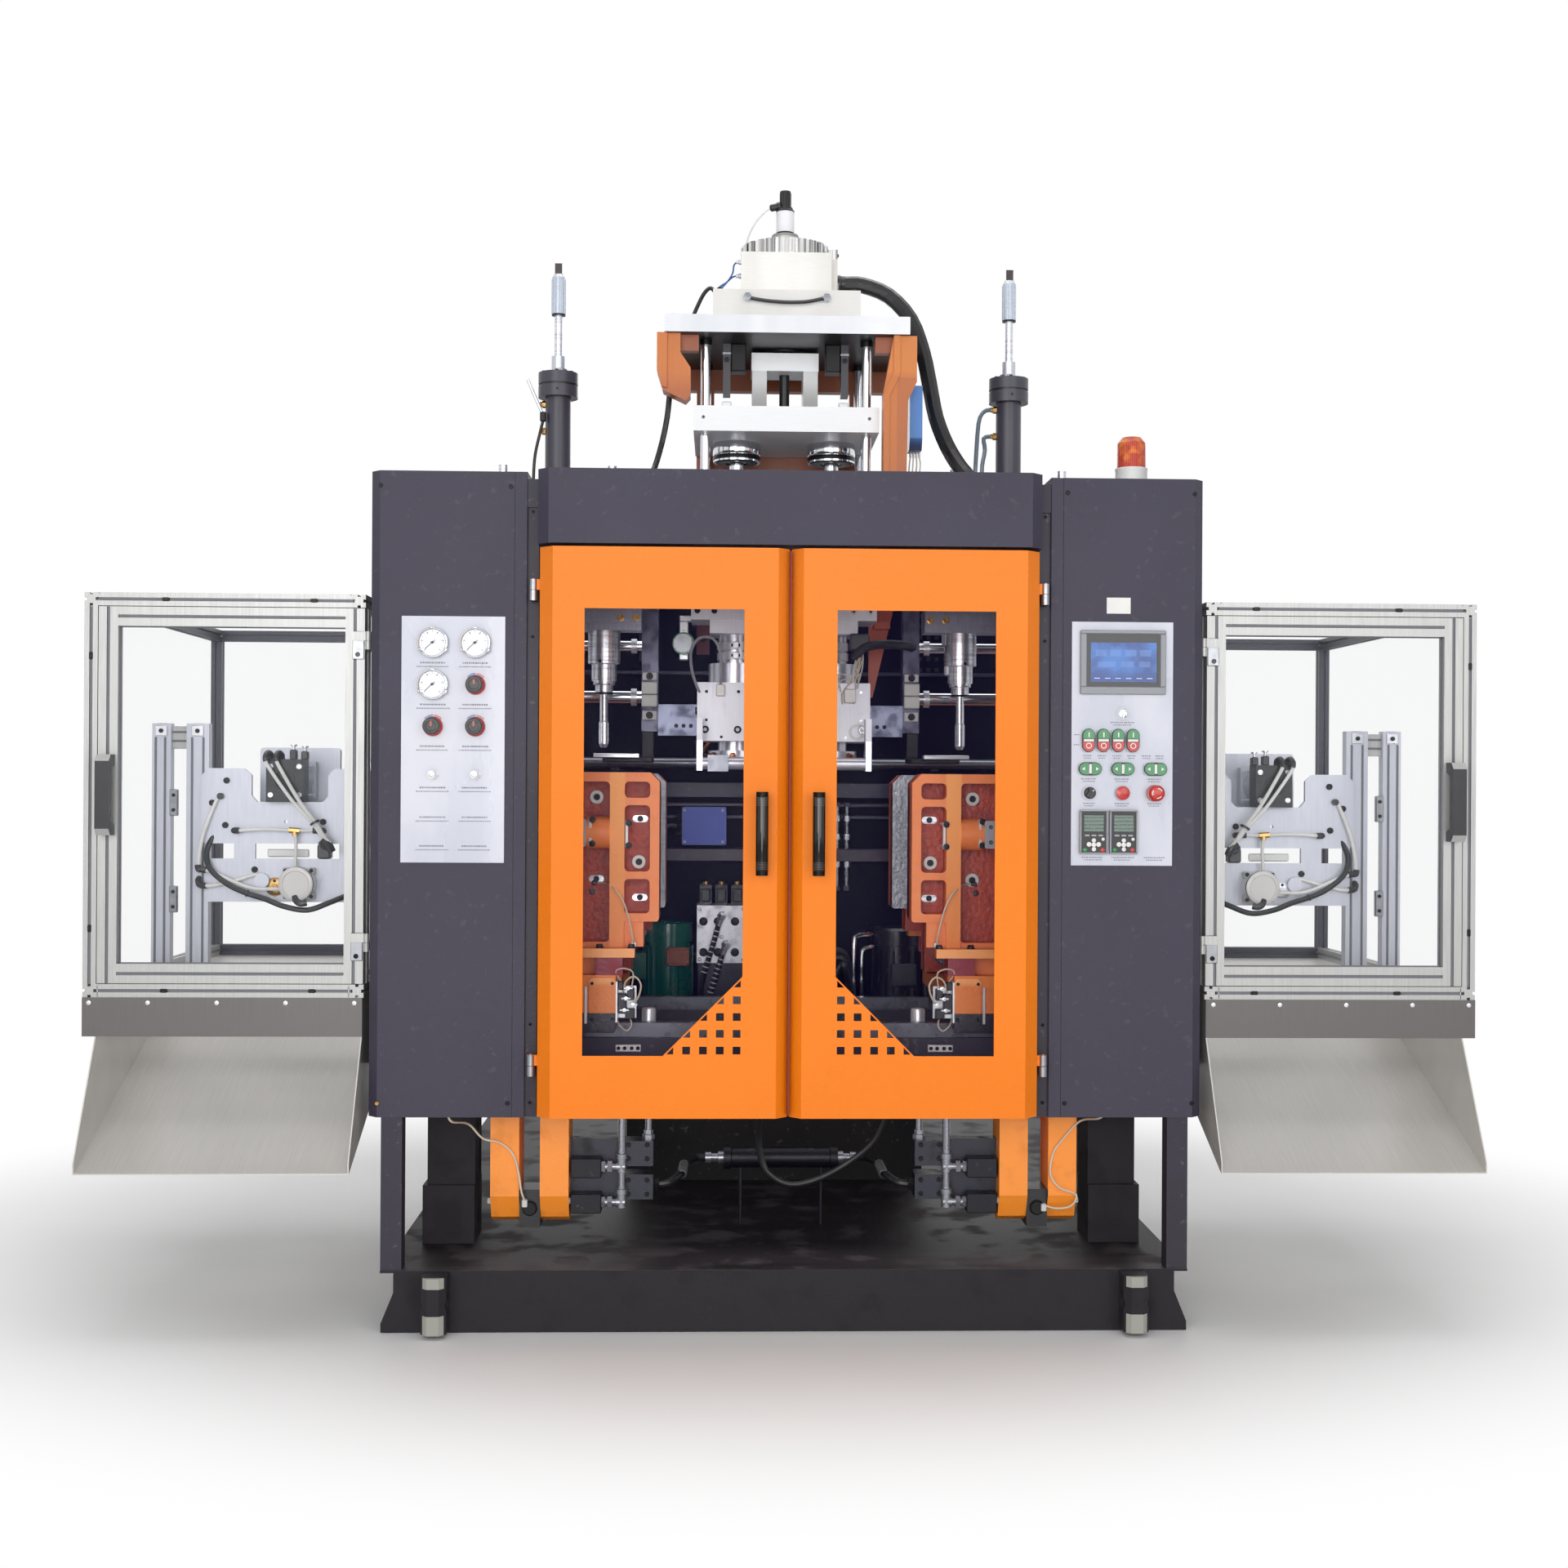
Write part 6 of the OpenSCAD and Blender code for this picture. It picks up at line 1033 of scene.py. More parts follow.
for side in (-1, 1):
    # Oil-blackened screws at the left, plated ones at the right
    die_trim.use(black_steel if side < 0 else clip_steel)
    for x_mm, z_mm, d in ((213, 1506, 21), (125, 1506, 21), (40, 1506, 21)):
        die_trim.socket_screw((side * x_mm, -109.6, z_mm), FRONT, d, 5)
    for x_mm, z_mm, d in ((210, 1609, 9), (123, 1609, 9), (210, 1532, 8), (169, 1486, 8), (60, 1600, 8)):
        die_trim.turned((side * x_mm, -109.8, z_mm), FRONT, stepped(d / 2, 0.7), 14)
    for y_mm in (-70, 0, 60):
        die_trim.socket_screw((side * 234.8, y_mm, 1560), (side, 0, 0), 18, 6)
    # Steps of the flow blocks over the die block, with their screws
    for x_mm in (36, 96, 190, 236):
        die_trim.socket_screw((side * x_mm, -99.8, 1895), FRONT, 16, 5)
        die_trim.socket_screw((side * x_mm, -99.8, 1829), FRONT, 16, 5)
    for cx, cy in around(8, 1, 0, 0, 0.5):
        die_trim.socket_screw((side * DIE + 62 * cx, 62 * cy, 1408.2), DOWN, 9, 4)
        die_trim.socket_screw((side * DIE + 80 * cx, 80 * cy, 2080.2), DOWN, 10, 5)
    die_trim.use(copper)
    for t_deg in (-140, -95, -50):
        t = radians(t_deg)
        die_trim.turned((side * DIE + 74.6 * cos(t), 74.6 * sin(t), 1436), (cos(t), sin(t), 0),
            stepped(9, 10, 5, 22), 6)
    die_trim.hose([(side * DIE + 96 * cos(radians(-140)), -62, 1436), (side * DIE - 90, -84, 1440),
        (side * DIE - 78, -104, 1462), (side * DIE - 70, -102, 1474.5)], 9, 8, 4)
    # Heater bands round the head bodies
    for z_mm in (1700, 1728):
        die_trim.use(clip_steel).turned((side * DIE, 0, z_mm), UP, [(48, 0), (51, 0.6), (51, 21.4), (48, 22)], 36)
        die_trim.block((side * DIE - 8, -64, z_mm + 2), (side * DIE + 8, -48, z_mm + 20), 1.5)
        die_trim.use(black_steel).turned((side * DIE - 12, -57, z_mm + 11), RIGHT, stepped(4, 24), 10)
die_trim.use(washer_white)
die_trim.turned((200, -109.8, 1501), FRONT, hoop(15, 22, 3), 26)
die_trim.block((-184, -124, 1596), (-160, -109.6, 1628), 2).block((164, -122, 1580), (196, -109.6, 1618), 2)
die_trim.use(clear_hose).hose([(-172, -118, 1628), (-170, -124, 1668), (-176, -128, 1722), (-196, -130, 1752),
    (-232, -128, 1750), (-252, -122, 1716), (-250, -116, 1668), (-238, -112, 1628), (-228, -108, 1606)], 8, 8, 5)
for k in range(9):
    end = (176 + 26 * cos(k * 0.75), -106 + 3 * (k % 3), 1640 - 17 * (k % 4))
    sway = 10 * sin(k * 2.1)
    die_trim.use(washer_white if k % 3 else beige_lead)
    die_trim.hose([(208 + k, -96, 1740 - 2 * k), (206 + sway, -112, 1712 - 3 * k), (196 + sway, -118, 1676 - 5 * k),
        (end[0], end[1] - 8, end[2] + 18), (end[0], -112, end[2] - 12), (end[0] - 4, -108, 1618)], 3.6, 5, 4)
die_trim.use(black_hose).hose([(190, -104, 1700), (214, -112, 1728), (252, -104, 1740), (300, -60, 1744),
    (352, 40, 1748), (372, 130, 1752), (374, 161, 1752)], 26, 10, 4)
die_trim.use(black_plastic).block((180, -112, 1724), (232, -78, 1769.4), 3)
# Finned restrictor and its green ring under the left flow block, on a bent arm
die_trim.use(hinge_steel).turned((-274, -20, 1743), FRONT,
    [(0, 0), (20, 0), (20, 8), (30, 9), (30, 34), (26, 36), (26, 40), (0, 40)], 32)
for k in range(9):
    die_trim.block((-301 + 6 * k, -66, 1743 - 26 * sqrt(1 - ((k - 4) / 4.6) ** 2)),
        (-299 + 6 * k, -58, 1743 + 26 * sqrt(1 - ((k - 4) / 4.6) ** 2)), 0.5)
die_trim.use(green_plastic).turned((-274, -57, 1743), FRONT, hoop(27, 30.4, 3), 32)
die_trim.use(clip_steel).block((-286, -20, 1700), (-262, 20, 1806),
    2).block((-286, -20, 1806), (-252.6, 20, 1822), 2)
die_trim.fit("frame", "bare_steel")

# Gussets. A triangular plate, painted orange, braces the flow blocks from the head beam at the right; a dark red
# guard plate hangs at the left.
gusset_coat = paint("gusset_orange", "#c8552c", 0.4, dirty=0.4)
gussets = Part("head_gussets").use(gusset_coat)
gussets.plate([(250, 2100), (318, 2100), (318, 1850), (262, 1608), (250, 1608)], 148, 160.2)
gussets.plate([(262, 1800), (306, 1800), (306, 1820), (262, 1820)], 89.8, 148)
for z_mm in (2070, 1900):
    gussets.use(black_steel).hex_bolt((284, 148, z_mm), FRONT, 19)
red_coat = paint("guard_plate_red", "#6e2230", 0.45, dirty=0.4)
gussets.use(red_coat).plate([(-241, 1727), (-204, 1727), (-204, 2100), (-241, 2100)], 148, 160.2)
for z_mm in (2060, 1770):
    gussets.use(black_steel).hex_bolt((-222, 148, z_mm), FRONT, 13)
gussets.fit("frame", "orange_paint")

# Blow cylinders. Painted tubes with a two-part head clamped by a seam, on plates over the head beams; a plated
# collar guides each rod, and the stop sleeve above is ribbed along its length. Black air hoses loop to the left one.
cylinder_coat = paint("cylinder_coat", "#55535c", 0.36, peel=340.0, dirty=0.15)
x, y, z = cylinder_coat.axes()
collar = (z > 2.4892)
plate_zone = z < 2.1302
seam = z.between(2.4522, 2.4578)
cylinder_coat.coated("#45434f", (cylinder_coat.noise(12.0, 4.0) * 0.3, "#36343d"), (seam, "#2b2a30"),
    (collar, "#c9ccd4"), (plate_zone, "#8d8f98"))
cylinder_coat.feed("Metallic", collar * 0.75 + plate_zone * 0.5)
dress(cylinder_coat, "blow_cylinders")
air_blue = Finish("air_hose_blue", "#3f5f9e", 0.3).worn(0.2, 0.22, 40.0)
tops = Part("blow_cylinder_fittings")
for side in (-1, 1):
    for cx, cy in around(6, 43, side * STATION, 0, 0.5):
        tops.use(black_steel).socket_screw((cx, cy, 2488.8), UP, 11, 4)
    tops.turned((side * STATION + 2, -54.2, 2438), FRONT, stepped(3.6, 0.8), 12)
    for dx in (-160, 160):
        for dy in (-200, -60, 60, 200):
            tops.use(black_steel).socket_screw((side * STATION + dx, dy, 2129.7), UP, 14, 7)
    tops.use(elbow_steel).turned((side * STATION - side * 4, 0, 2489), UP,
        [(18.6, 0), (20.6, 0), (20.6, 12), (18.6, 13)], 28)
    for z_mm in (2404, 2330):
        tops.use(brass).turned((589.7 if side > 0 else -660.3, 0, z_mm), LEFT,
            [(0, -6), (10, -6), (10, 8), (7, 9), (7, 14), (0, 14)], 6)
# Speed sensor rod and its lead beside the left cylinder
tops.use(clip_steel).hose([(-706, -30, 2466), (-686, -28, 2420), (-662, -26, 2366)], 9, 8, 1)
tops.use(black_steel).block((-672, -34, 2352), (-656, -18, 2378), 2)
tops.use(black_hose).hose([(-664, -26, 2354), (-672, -30, 2318), (-684, -34, 2260), (-688, -36, 2200),
    (-688, -36, BEAMS)], 9, 8, 4)
tops.turned((-688, -36, BEAMS), UP, capped(9, 10, 6, 12), 12)
tops.fit("frame", "bare_steel")
for side, name in SIDES:
    ribs = Part(name + "_stop_sleeve_ribs").use(blow_steel)
    for cx, cy in around(14, 18.3, side * STATION):
        ribs.hose([(cx, cy, 2654), (cx, cy, 2750)], 3.2, 6, 1)
    ribs.use(black_steel).turned((side * STATION, 0, 2649.5), UP, hoop(11.2, 19.2, 3.4), 24)
    ribs.use(clip_steel).turned((side * STATION, 0, 2753.8), UP, [(0, 0), (17, 0), (14, 9), (0, 9)], 24)
    ribs.fit(name + "_blow_body", "bare_steel")

# Head frame. Brushed aluminium top plate on four chromed columns, with black stems hanging under it; a cast base
# plate on the head beams carries it all. Cap screws hold the plate to its columns.
bright_plate = Finish("bright_plate", "#f0f1f4", 0.3, 0.12)
x, y, z = bright_plate.axes()
brush = bright_plate.noise(5.0, 5.0, bright_plate.stretched(3, 3, 110))
broad = bright_plate.noise(2.2, 3.0, bright_plate.stretched(3, 1, 0.6)).fade(0.3, 0.75)
stem = (abs(x).between(0.1495, 0.1705)) * y.between(-0.1205, -0.0795) * z.between(2.15, 2.551)
column = (abs(abs(x) - 0.217) < 0.0135) * (abs(abs(y) - 0.15) < 0.0135) * z.between(2.1502, 2.5508)
# Painted shade: the top plate's underside is near black.
under = z.between(2.5505, 2.5515)
base_zone = z < 2.1502
bright_plate.coated("#f6f7fa", (broad, "#dcdfe4"), (brush * 0.4, "#cfd2d8"), (base_zone, "#77777f"),
    (under, "#17161a"), (stem, "#3a3a40"), (column, "#dfe1e6"))
bright_plate.feed("Metallic", column * 0.82 + 0.12)
bright_plate.feed("Roughness", 0.34 - column * 0.24 + brush * 0.08)
dress(bright_plate, "head_frame")
top_trim = Part("head_frame_trim").use(black_steel)
for side in (-1, 1):
    for y_mm in (-222, 222):
        top_trim.turned((side * 303, y_mm, HEAD_TOP), UP, [(0, 0), (11, 0), (10.5, 3), (7, 6), (0, 7)], 18)
        top_trim.use(clip_steel).turned((side * 217, 150 if y_mm > 0 else -150, HEAD_TOP), UP,
            capped(22, 6, 19, 8), 24).use(black_steel)
    top_trim.turned((side * 160, -120.3, 2508), FRONT, [(0, 0), (7, 0), (7, 5), (3.6, 5), (3.6, 2), (0, 2)], 14)
    top_trim.block((side * 128 - 20, -118, 2478), (side * 128 + 20, -66, 2551.5), 2)
    top_trim.use(elbow_steel).block((side * 160 - 12, -124, 2520), (side * 160 + 12, -119.7, 2528), 1)
    # Felt wipers and end collars of the columns
    for y_mm in (-150, 150):
        top_trim.use(black_steel).turned((side * 217, y_mm, 2538), UP, hoop(13.2, 17, 13.5), 22)
        top_trim.turned((side * 217, y_mm, 2149.8), UP, [(13.2, 0), (18, 0), (18, 10), (13.2, 12)], 22)
    for x_mm, y_mm in ((300, -190), (300, 190), (60, -190), (60, 190)):
        top_trim.hex_bolt((side * x_mm, y_mm, 2149.7), UP, 24)
top_trim.turned((0, 0, 2551.3), DOWN, [(24, 0), (62, 0), (60, 5), (40, 8), (24, 8)], 32)
top_trim.use(black_plastic).turned((-312, -140, 2491.2), DOWN,
    [(8, 0), (15, 0), (15, 9), (11, 11), (11, 24), (8, 26)], 12)
top_trim.fit("frame", "bare_steel")

# Brackets. Bevelled plate posts beside the head frame and cross beams behind it, painted orange; the faces at the
# back and the arms under the top plate are painted brown as shade.
bracket_coat = paint("bracket_orange", "#c97034", 0.36, dirty=0.2)
x, y, z = bracket_coat.axes()
painted_back_shade = y > 0
# Painted light and shade: the left post darker towards the bottom, the right post lighter at its top and darker at
# its foot.
low = z.fade(2.46, 2.38) * (x < 0)
outer = (x > 0) * z.fade(2.44, 2.46)
foot = (x > 0.292) * (z < 2.44)
painted_arm_shade = (abs(x) < 0.3155) * (abs(x) > 0.2345) * y.between(-0.2155, -0.1845) * (z > 2.5088)
bracket_coat.coated("#cd7636", (low, "#b4602f"), (outer * 0.6, "#dc8740"), (foot * 0.7, "#b5663a"),
    (painted_back_shade + painted_arm_shade, "#9a5436"))
dress(bracket_coat, "head_brackets")
bevels = Part("bracket_bevels").use(bracket_coat)
bevels.plate([(-345, 2551), (-345, 2456), (-331, 2408), (-318, 2404), (-318, 2551)], -243, -234.8)
bevels.plate([(283, 2551), (283, 2452), (256.5, 2396), (256.5, 2152), (272, 2152), (272, 2392), (300, 2446),
    (300, 2551)], -241, -234.8)
bevels.fit("frame", "orange_paint")

# Yoke. Brushed aluminium plate with bolt holes, a white portal and black spindle above it, and two chromed
# bodies with rubber rings below that move the mandrels.
yoke_finish = Finish("yoke_aluminium", "#f2f3f5", 0.28, 0.12)
x, y, z = yoke_finish.axes()
brush = yoke_finish.noise(5.0, 5.0, yoke_finish.stretched(3, 3, 110))
spindle = (abs(x) < 0.0142) * (abs(y) < 0.0142) * z.between(2.3672, 2.4918)
below = z < 2.2998
# Painted shade: the portal's legs are darker grey, darkest towards the bottom.
painted_leg_shade = z.between(2.3672, 2.4918) * (abs(x) > 0.02)
yoke_finish.coated("#f7f8fa", (brush * 0.5, "#d3d6dc"), (painted_leg_shade * (0.35 + 0.5 * z.fade(2.48, 2.40)), "#8d8c8a"),
    (spindle, "#1b1a1e"), (below, "#dddfe5"))
yoke_finish.feed("Metallic", below * 0.8 + 0.12)
yoke_finish.feed("Roughness", 0.32 - below * 0.24 + brush * 0.08)
dress(yoke_finish, "parison_yoke")
yoke_trim = Part("yoke_trim")
for side in (-1, 1):
    yoke_trim.use(elbow_steel).turned((side * 222, -199.7, 2336), FRONT, [(0, 0), (5.4, 0), (5.4, 0.9), (3, 1)], 12)
    yoke_trim.use(black_steel).turned((side * 222, -200.4, 2336), FRONT, stepped(3, 0.6), 10)
    yoke_trim.turned((side * DIE, 0, 2246), UP, [(30, 0), (57, 0), (62, 4), (66.2, 8), (66.2, 16), (64.8, 20)], 40)
    yoke_trim.use(chrome).turned((side * DIE, 0, 2262), UP, [(65.2, 4), (66.4, 6), (66.4, 36), (65.2, 38)], 40)
    yoke_trim.use(clip_steel).block((side * 160 - 13, -72, 2366.6), (side * 160 + 13, -30, 2404), 1.5)
    yoke_trim.use(black_steel).turned((side * 217, 150, 2366.7), UP, [(13.6, 0), (20, 0), (20, 6), (13.6, 8)], 22)
    yoke_trim.turned((side * 217, -150, 2366.7), UP, [(13.6, 0), (20, 0), (20, 6), (13.6, 8)], 22)
    for cx, cy in around(6, 52, side * DIE):
        yoke_trim.socket_screw((cx, cy, 2366.7), UP, 10, 5)
yoke_trim.use(copper).turned((0, 0, 2366.7), UP, [(14.2, 0), (22, 0), (22, 7), (14.2, 9)], 6)
yoke_trim.fit("yoke_body", "bare_steel")

# Parison controller. Brushed aluminium block and valve box with a chromed ribbed drum, a small steel cylinder and
# the white position sensor with its black plug on top; glossy leads and small blue air pipes enter at the sides.
box_finish = Finish("controller_aluminium", "#eeeeec", 0.3, 0.15)
x, y, z = box_finish.axes()
brush = box_finish.noise(6.0, 5.0, box_finish.stretched(4, 4, 90))
wide = box_finish.noise(1.8, 3.0, box_finish.stretched(3, 3, 0.5)).fade(0.35, 0.7)
drum = z.between(2.8008, 2.8425)
small = z.between(2.8425, 2.8805)
gasket = z.between(2.8795, 2.8868)
sensor = z.between(2.8868, 2.9445)
plug = z > 2.9445
# Painted reflection: light and dark vertical stripes on the chromed drum.
streaks_and_reflection = box_finish.noise(30.0, 2.0, box_finish.stretched(3, 3, 0.05)).fade(0.35, 0.65)
box_finish.coated("#f6f5f2", (wide, "#dedcd6"), (brush * 0.45, "#cbc9c4"), ((z < 2.6838) * 0.4, "#c9c8c6"),
    (drum, box_finish.mix(streaks_and_reflection, "#f2f2f0", "#7d7b7a")), (small, "#b8b3ac"), (gasket, "#1a1719"),
    (sensor, "#f5f5fa"), (plug, "#1d1a1b"))
box_finish.feed("Metallic", 0.15 + drum * 0.7 + small * 0.6 - sensor * 0.15)
box_finish.feed("Roughness", 0.32 - drum * 0.18 + brush * 0.08)
dress(box_finish, "parison_actuator")
controller = Part("parison_controller_fittings")
controller.use(black_plastic).turned((0, 0, 2943.8), UP, [(0, 0), (25.6, 0), (25.6, 4), (22, 7)], 24)
for cx, cy in around(10, 21):
    controller.hose([(cx, cy, 2947), (cx, cy, 2953)], 3.4, 6, 1)
controller.turned((0, 0, 2954), UP, [(21, 0), (21, 2), (17, 3)], 20)
for cx, cy in around(9, 15):
    controller.hose([(cx, cy, 2958), (cx, cy, 2998)], 3, 6, 1)
controller.turned((-14, 0, 2962), (-1, 0, -0.22),
    [(0, 0), (12, 0), (12, 8), (10, 10), (10, 26), (6, 30), (0, 30)], 16)
controller.use(white_plastic).hose([(-43, 0, 2955), (-58, 0, 2944), (-82, -2, 2916), (-100, -4, 2880),
    (-108, -6, 2852), (-112, -8, 2835), (-112, -8, 2800)], 5, 7, 4)
controller.use(silver_plastic).turned((0, 0, 2880.4), UP, [(36, -8), (37.4, -7), (37.4, -2), (36, -1)], 32)
for cx, cy in around(24, 121.4, 0, 0, 0.5):
    controller.use(chrome).hose([(cx, cy, 2803), (cx, cy, 2839)], 5, 6, 1)
for x_mm in (-106, 106):
    controller.use(elbow_steel).turned((x_mm, -180, 2660), FRONT,
        [(0, 0), (11, 0), (11, 4), (8, 5), (8, 16), (11, 17), (11, 21), (0, 22)], 6)
controller.use(black_hose).hose([(-106, -192, 2660), (-88, -194, 2655), (-50, -196, 2649), (0, -197, 2646),
    (50, -196, 2648), (88, -194, 2656), (106, -192, 2661)], 10, 8, 5)
for y_mm, z_mm in ((-70, 2786), (-70, 2748), (-60, 2700)):
    controller.use(elbow_steel).turned((-122, y_mm, z_mm), LEFT, stepped(7, 6, 5, 14), 6)
controller.use(air_blue).hose([(-134, -70, 2786), (-142, -72, 2776), (-146, -76, 2752), (-162, -80, 2726),
    (-178, -84, 2706), (-182, -86, CONTROL_TOP)], 5, 6, 4)
controller.hose([(-134, -70, 2748), (-146, -72, 2744), (-162, -78, 2728), (-184, -84, 2710),
    (-190, -92, CONTROL_TOP)], 5, 6, 4)
controller.hose([(-134, -60, 2700), (-150, -62, 2695), (-168, -64, 2690), (-176, -66, CONTROL_TOP)], 5, 6, 4)
controller.use(black_hose).hose([(-186, -80, 2690), (-204, -76, 2712), (-222, -78, 2698), (-240, -82, 2662),
    (-252, -86, 2630), (-254, -88, HEAD_TOP)], 11, 8, 4)
controller.use(black_plastic).turned((-254, -88, HEAD_TOP), UP, capped(10, 10, 7, 13), 14)
controller.block((-196, -92, CONTROL_TOP), (-172, -60, 2696), 2)
for x_mm, y_mm in ((-180, -160), (180, -160), (-180, 160), (180, 160)):
    controller.use(black_steel).socket_screw((x_mm, y_mm, 2683.7), UP, 16, 8)
for y_mm in (-46, 46):
    for z_mm in (2726, 2814):
        controller.use(black_steel).socket_screw((142.3, y_mm, z_mm), RIGHT, 9, 4)
controller.use(silver_plastic).block((142.2, -52, 2714), (147, 52, 2738), 1.5)
controller.use(black_plastic).turned((142.4, -20, 2742), RIGHT,
    [(0, 0), (25, 0), (25, 10), (22.6, 13), (22.6, 22)], 24)
controller.fit("frame", "aluminium")
sensor_box = paint("sensor_box_blue", "#4f86cf", 0.32, dirty=0.08)
x, y, z = sensor_box.axes()
terminal_zone = y > 0.3
sensor_box.coated(sensor_box.mix(z.fade(2.30, 2.27), "#4f86cf", "#3a4a6e"), (terminal_zone, "#2a4fcb"))
dress(sensor_box, "junction_boxes")
box_trim = Part("junction_box_trim").use(washer_white)
for x_mm in (-281, -163):
    for z_mm in (1179, 1277):
        box_trim.socket_screw((x_mm, 637.2, z_mm), FRONT, 8, 2)
box_trim.use(black_plastic).block((-291, 636.2, 1172), (-289, 696, 1284), 0.5)
for z_mm in (1200, 1228, 1256):
    box_trim.turned((-290.8, 664, z_mm), LEFT, [(0, 0), (9, 0), (9, 12), (6, 14), (6, 20), (0, 20)], 8)
box_trim.use(black_hose).hose([(-310, 664, 1228), (-330, 660, 1226), (-352, 650, 1200), (-366, 650, 1130),
    (-366, 660, 1050), (-366, 676, 1000), (-366, 696, 985)], 14, 8, 5)
for k, x_mm in enumerate((338, 346, 354, 362)):
    box_trim.use(clip_steel).turned((x_mm, -140, 2260.4), DOWN, stepped(3.4, 16), 8)
    box_trim.use(washer_white if k % 2 else beige_lead)
    box_trim.hose([(x_mm, -140, 2246), (x_mm + 2 * k - 3, -142, 2224), (x_mm - 4 + k, -138, 2190),
        (x_mm - 3, -136, 2164), (x_mm - 14, -134, 2149.6)], 4, 6, 4)
box_trim.fit("frame", "blue_paint")

# Black hoses and cables. Round rubber and moulded plastic leads with a soft sheen; the thick bundle from the
# controller is five leads tied together.
lead_black = Finish("lead_black", "#141418", 0.3).worn(0.2, 0.2, 30.0, 3.0).grained(0.0003, 240.0)
x, y, z = lead_black.axes()
lead_black.coated("#141418", (x.between(0.5, 0.6) * (y > -0.121), "#66707e"))
dress(lead_black, "hoses_and_cables")

# Extruder. Turned steel barrel in ceramic heater bands under sheet, with a terminal box and clamp screw on each; a
# steel screw inside, a bead-blasted hopper above, and a blue gearbox with a finned motor behind.
barrel_finish = Finish("barrel_steel", "#a9abb2", 0.3, 0.85)
x, y, z = barrel_finish.axes()
band = (((y - 0.24) % 0.18) < 0.15) * y.between(0.2395, 1.3) * (x * x + (z - 1.85) * (z - 1.85) > 0.0049)
weld = barrel_finish.noise(9.0, 5.0, barrel_finish.stretched(3, 60, 3))
barrel_finish.coated(barrel_finish.mix(weld, "#b9bbc2", "#8a8c95"),
    (band, barrel_finish.mix(weld, "#d0cdc6", "#aaa69d")))
barrel_finish.feed("Roughness", 0.26 + band * 0.16 + weld * 0.1)
dress(barrel_finish, "extruder_barrel", "extruder_screw")
hopper_finish = Finish("hopper_stainless", "#c6c8cc", 0.34, 0.85)
blast = hopper_finish.noise(700.0, 2.0)
hopper_finish.mottled("#cfd1d5", "#b2b4ba", 5.0, 4.0)
hopper_finish.feed("Roughness", blast * 0.16 + 0.26)
dress(hopper_finish, "hopper")
drive_coat = paint("gearbox_blue", "#2f5f8c", 0.4, dirty=0.35)
dress(drive_coat, "extruder_drive")
extruder_trim = Part("extruder_fittings")
for k in range(6):
    y_mm = 240 + 180 * k
    extruder_trim.use(clip_steel).block((-26, y_mm + 45, 1936.5), (26, y_mm + 105, 1972), 2)
    extruder_trim.use(black_hose).hose([(-26, y_mm + 75, 1954), (-46, y_mm + 78, 1952), (-70, y_mm + 86, 1936),
        (-86, y_mm + 92, 1908), (-90, y_mm + 94, 1860), (-72, y_mm + 94, 1797)], 9, 7, 4)
    extruder_trim.use(black_steel).turned((-10, y_mm + 75, 1762.5), RIGHT, stepped(5, 40), 10)
for cx, cy in around(8, 1, 0, 0, 0.5):
    extruder_trim.use(black_steel).socket_screw((105 * cx, 1520.2, 1850 + 105 * cy), FRONT, 14, 10)
    extruder_trim.socket_screw((72 * cx, 1430 + 72 * cy, 1992), UP, 14, 8)
for side in (-1, 1):
    for y_mm in (1600, 1690, 1780):
        extruder_trim.hex_bolt((side * 196, y_mm, 1999.8), UP, 14)
extruder_trim.use(clip_steel).turned((0, 2149.8, 1720), BACK, capped(60, 8, 40, 12), 24)
extruder_trim.use(black_plastic).block((146, 1930, 1660), (196, 2060, 1780), 4)
extruder_trim.use(clip_steel).turned((0, 1430, 2466), UP, hoop(244, 249, 4), 48)
extruder_trim.fit("frame", "bare_steel")

# Pump motor. A glossy green vertical electric motor with cast fins, a fan cowl on top, a terminal box, lifting eye
# and a bare base; it stands on the oil tank, which is painted near black and dusty.
green_coat = Finish("motor_green", "#0c5f52", 0.26, Coat_Weight=0.5)
x, y, z = green_coat.axes()
mist = green_coat.noise(14.0, 5.0).fade(0.5, 0.75)
foot = z < 0.6742
green_coat.coated(green_coat.mix(mist * 0.4, "#0c6354", "#06362f"), (foot, "#9da0a6"))
green_coat.feed("Metallic", foot * 0.7)
green_coat.feed("Roughness", mist * 0.3 + 0.2)
dress(green_coat, "pump_motor")
motor_trim = Part("pump_motor_fittings").use(green_coat)
motor_trim.turned((-329, 596, 930), UP, [(75, 0), (70, 0.6), (62, 3), (40, 5), (0, 5.4)], 36)
for cx, cy in around(9, 52, -329, 596):
    motor_trim.use(black_steel).turned((cx, cy, 932), UP, stepped(7, 1.6), 12)
name_copper = Finish("motor_plate_copper", "#7a4230", 0.4, 0.3).worn(0.3, 0.3, 90.0, 3.0)
motor_trim.use(name_copper).block((-332, 516.8, 804), (-262, 528, 860), 1.5)
motor_trim.block((-324, 515.6, 812), (-270, 516.8, 852), 1)
for x_mm in (-327, -267):
    for z_mm in (809, 855):
        motor_trim.use(black_steel).socket_screw((x_mm, 516.8, z_mm), FRONT, 6, 2)
motor_trim.use(black_hose).hose([(-439.4, 596, 780), (-470, 594, 776), (-500, 590, 740), (-506, 588, 690),
    (-506, 588, TANK)], 16, 8, 5)
for cx, cy in around(4, 71, -329, 596, 0.5):
    motor_trim.hex_bolt((cx, cy, 673.8), UP, 14)
motor_trim.fit("frame", "green_paint")

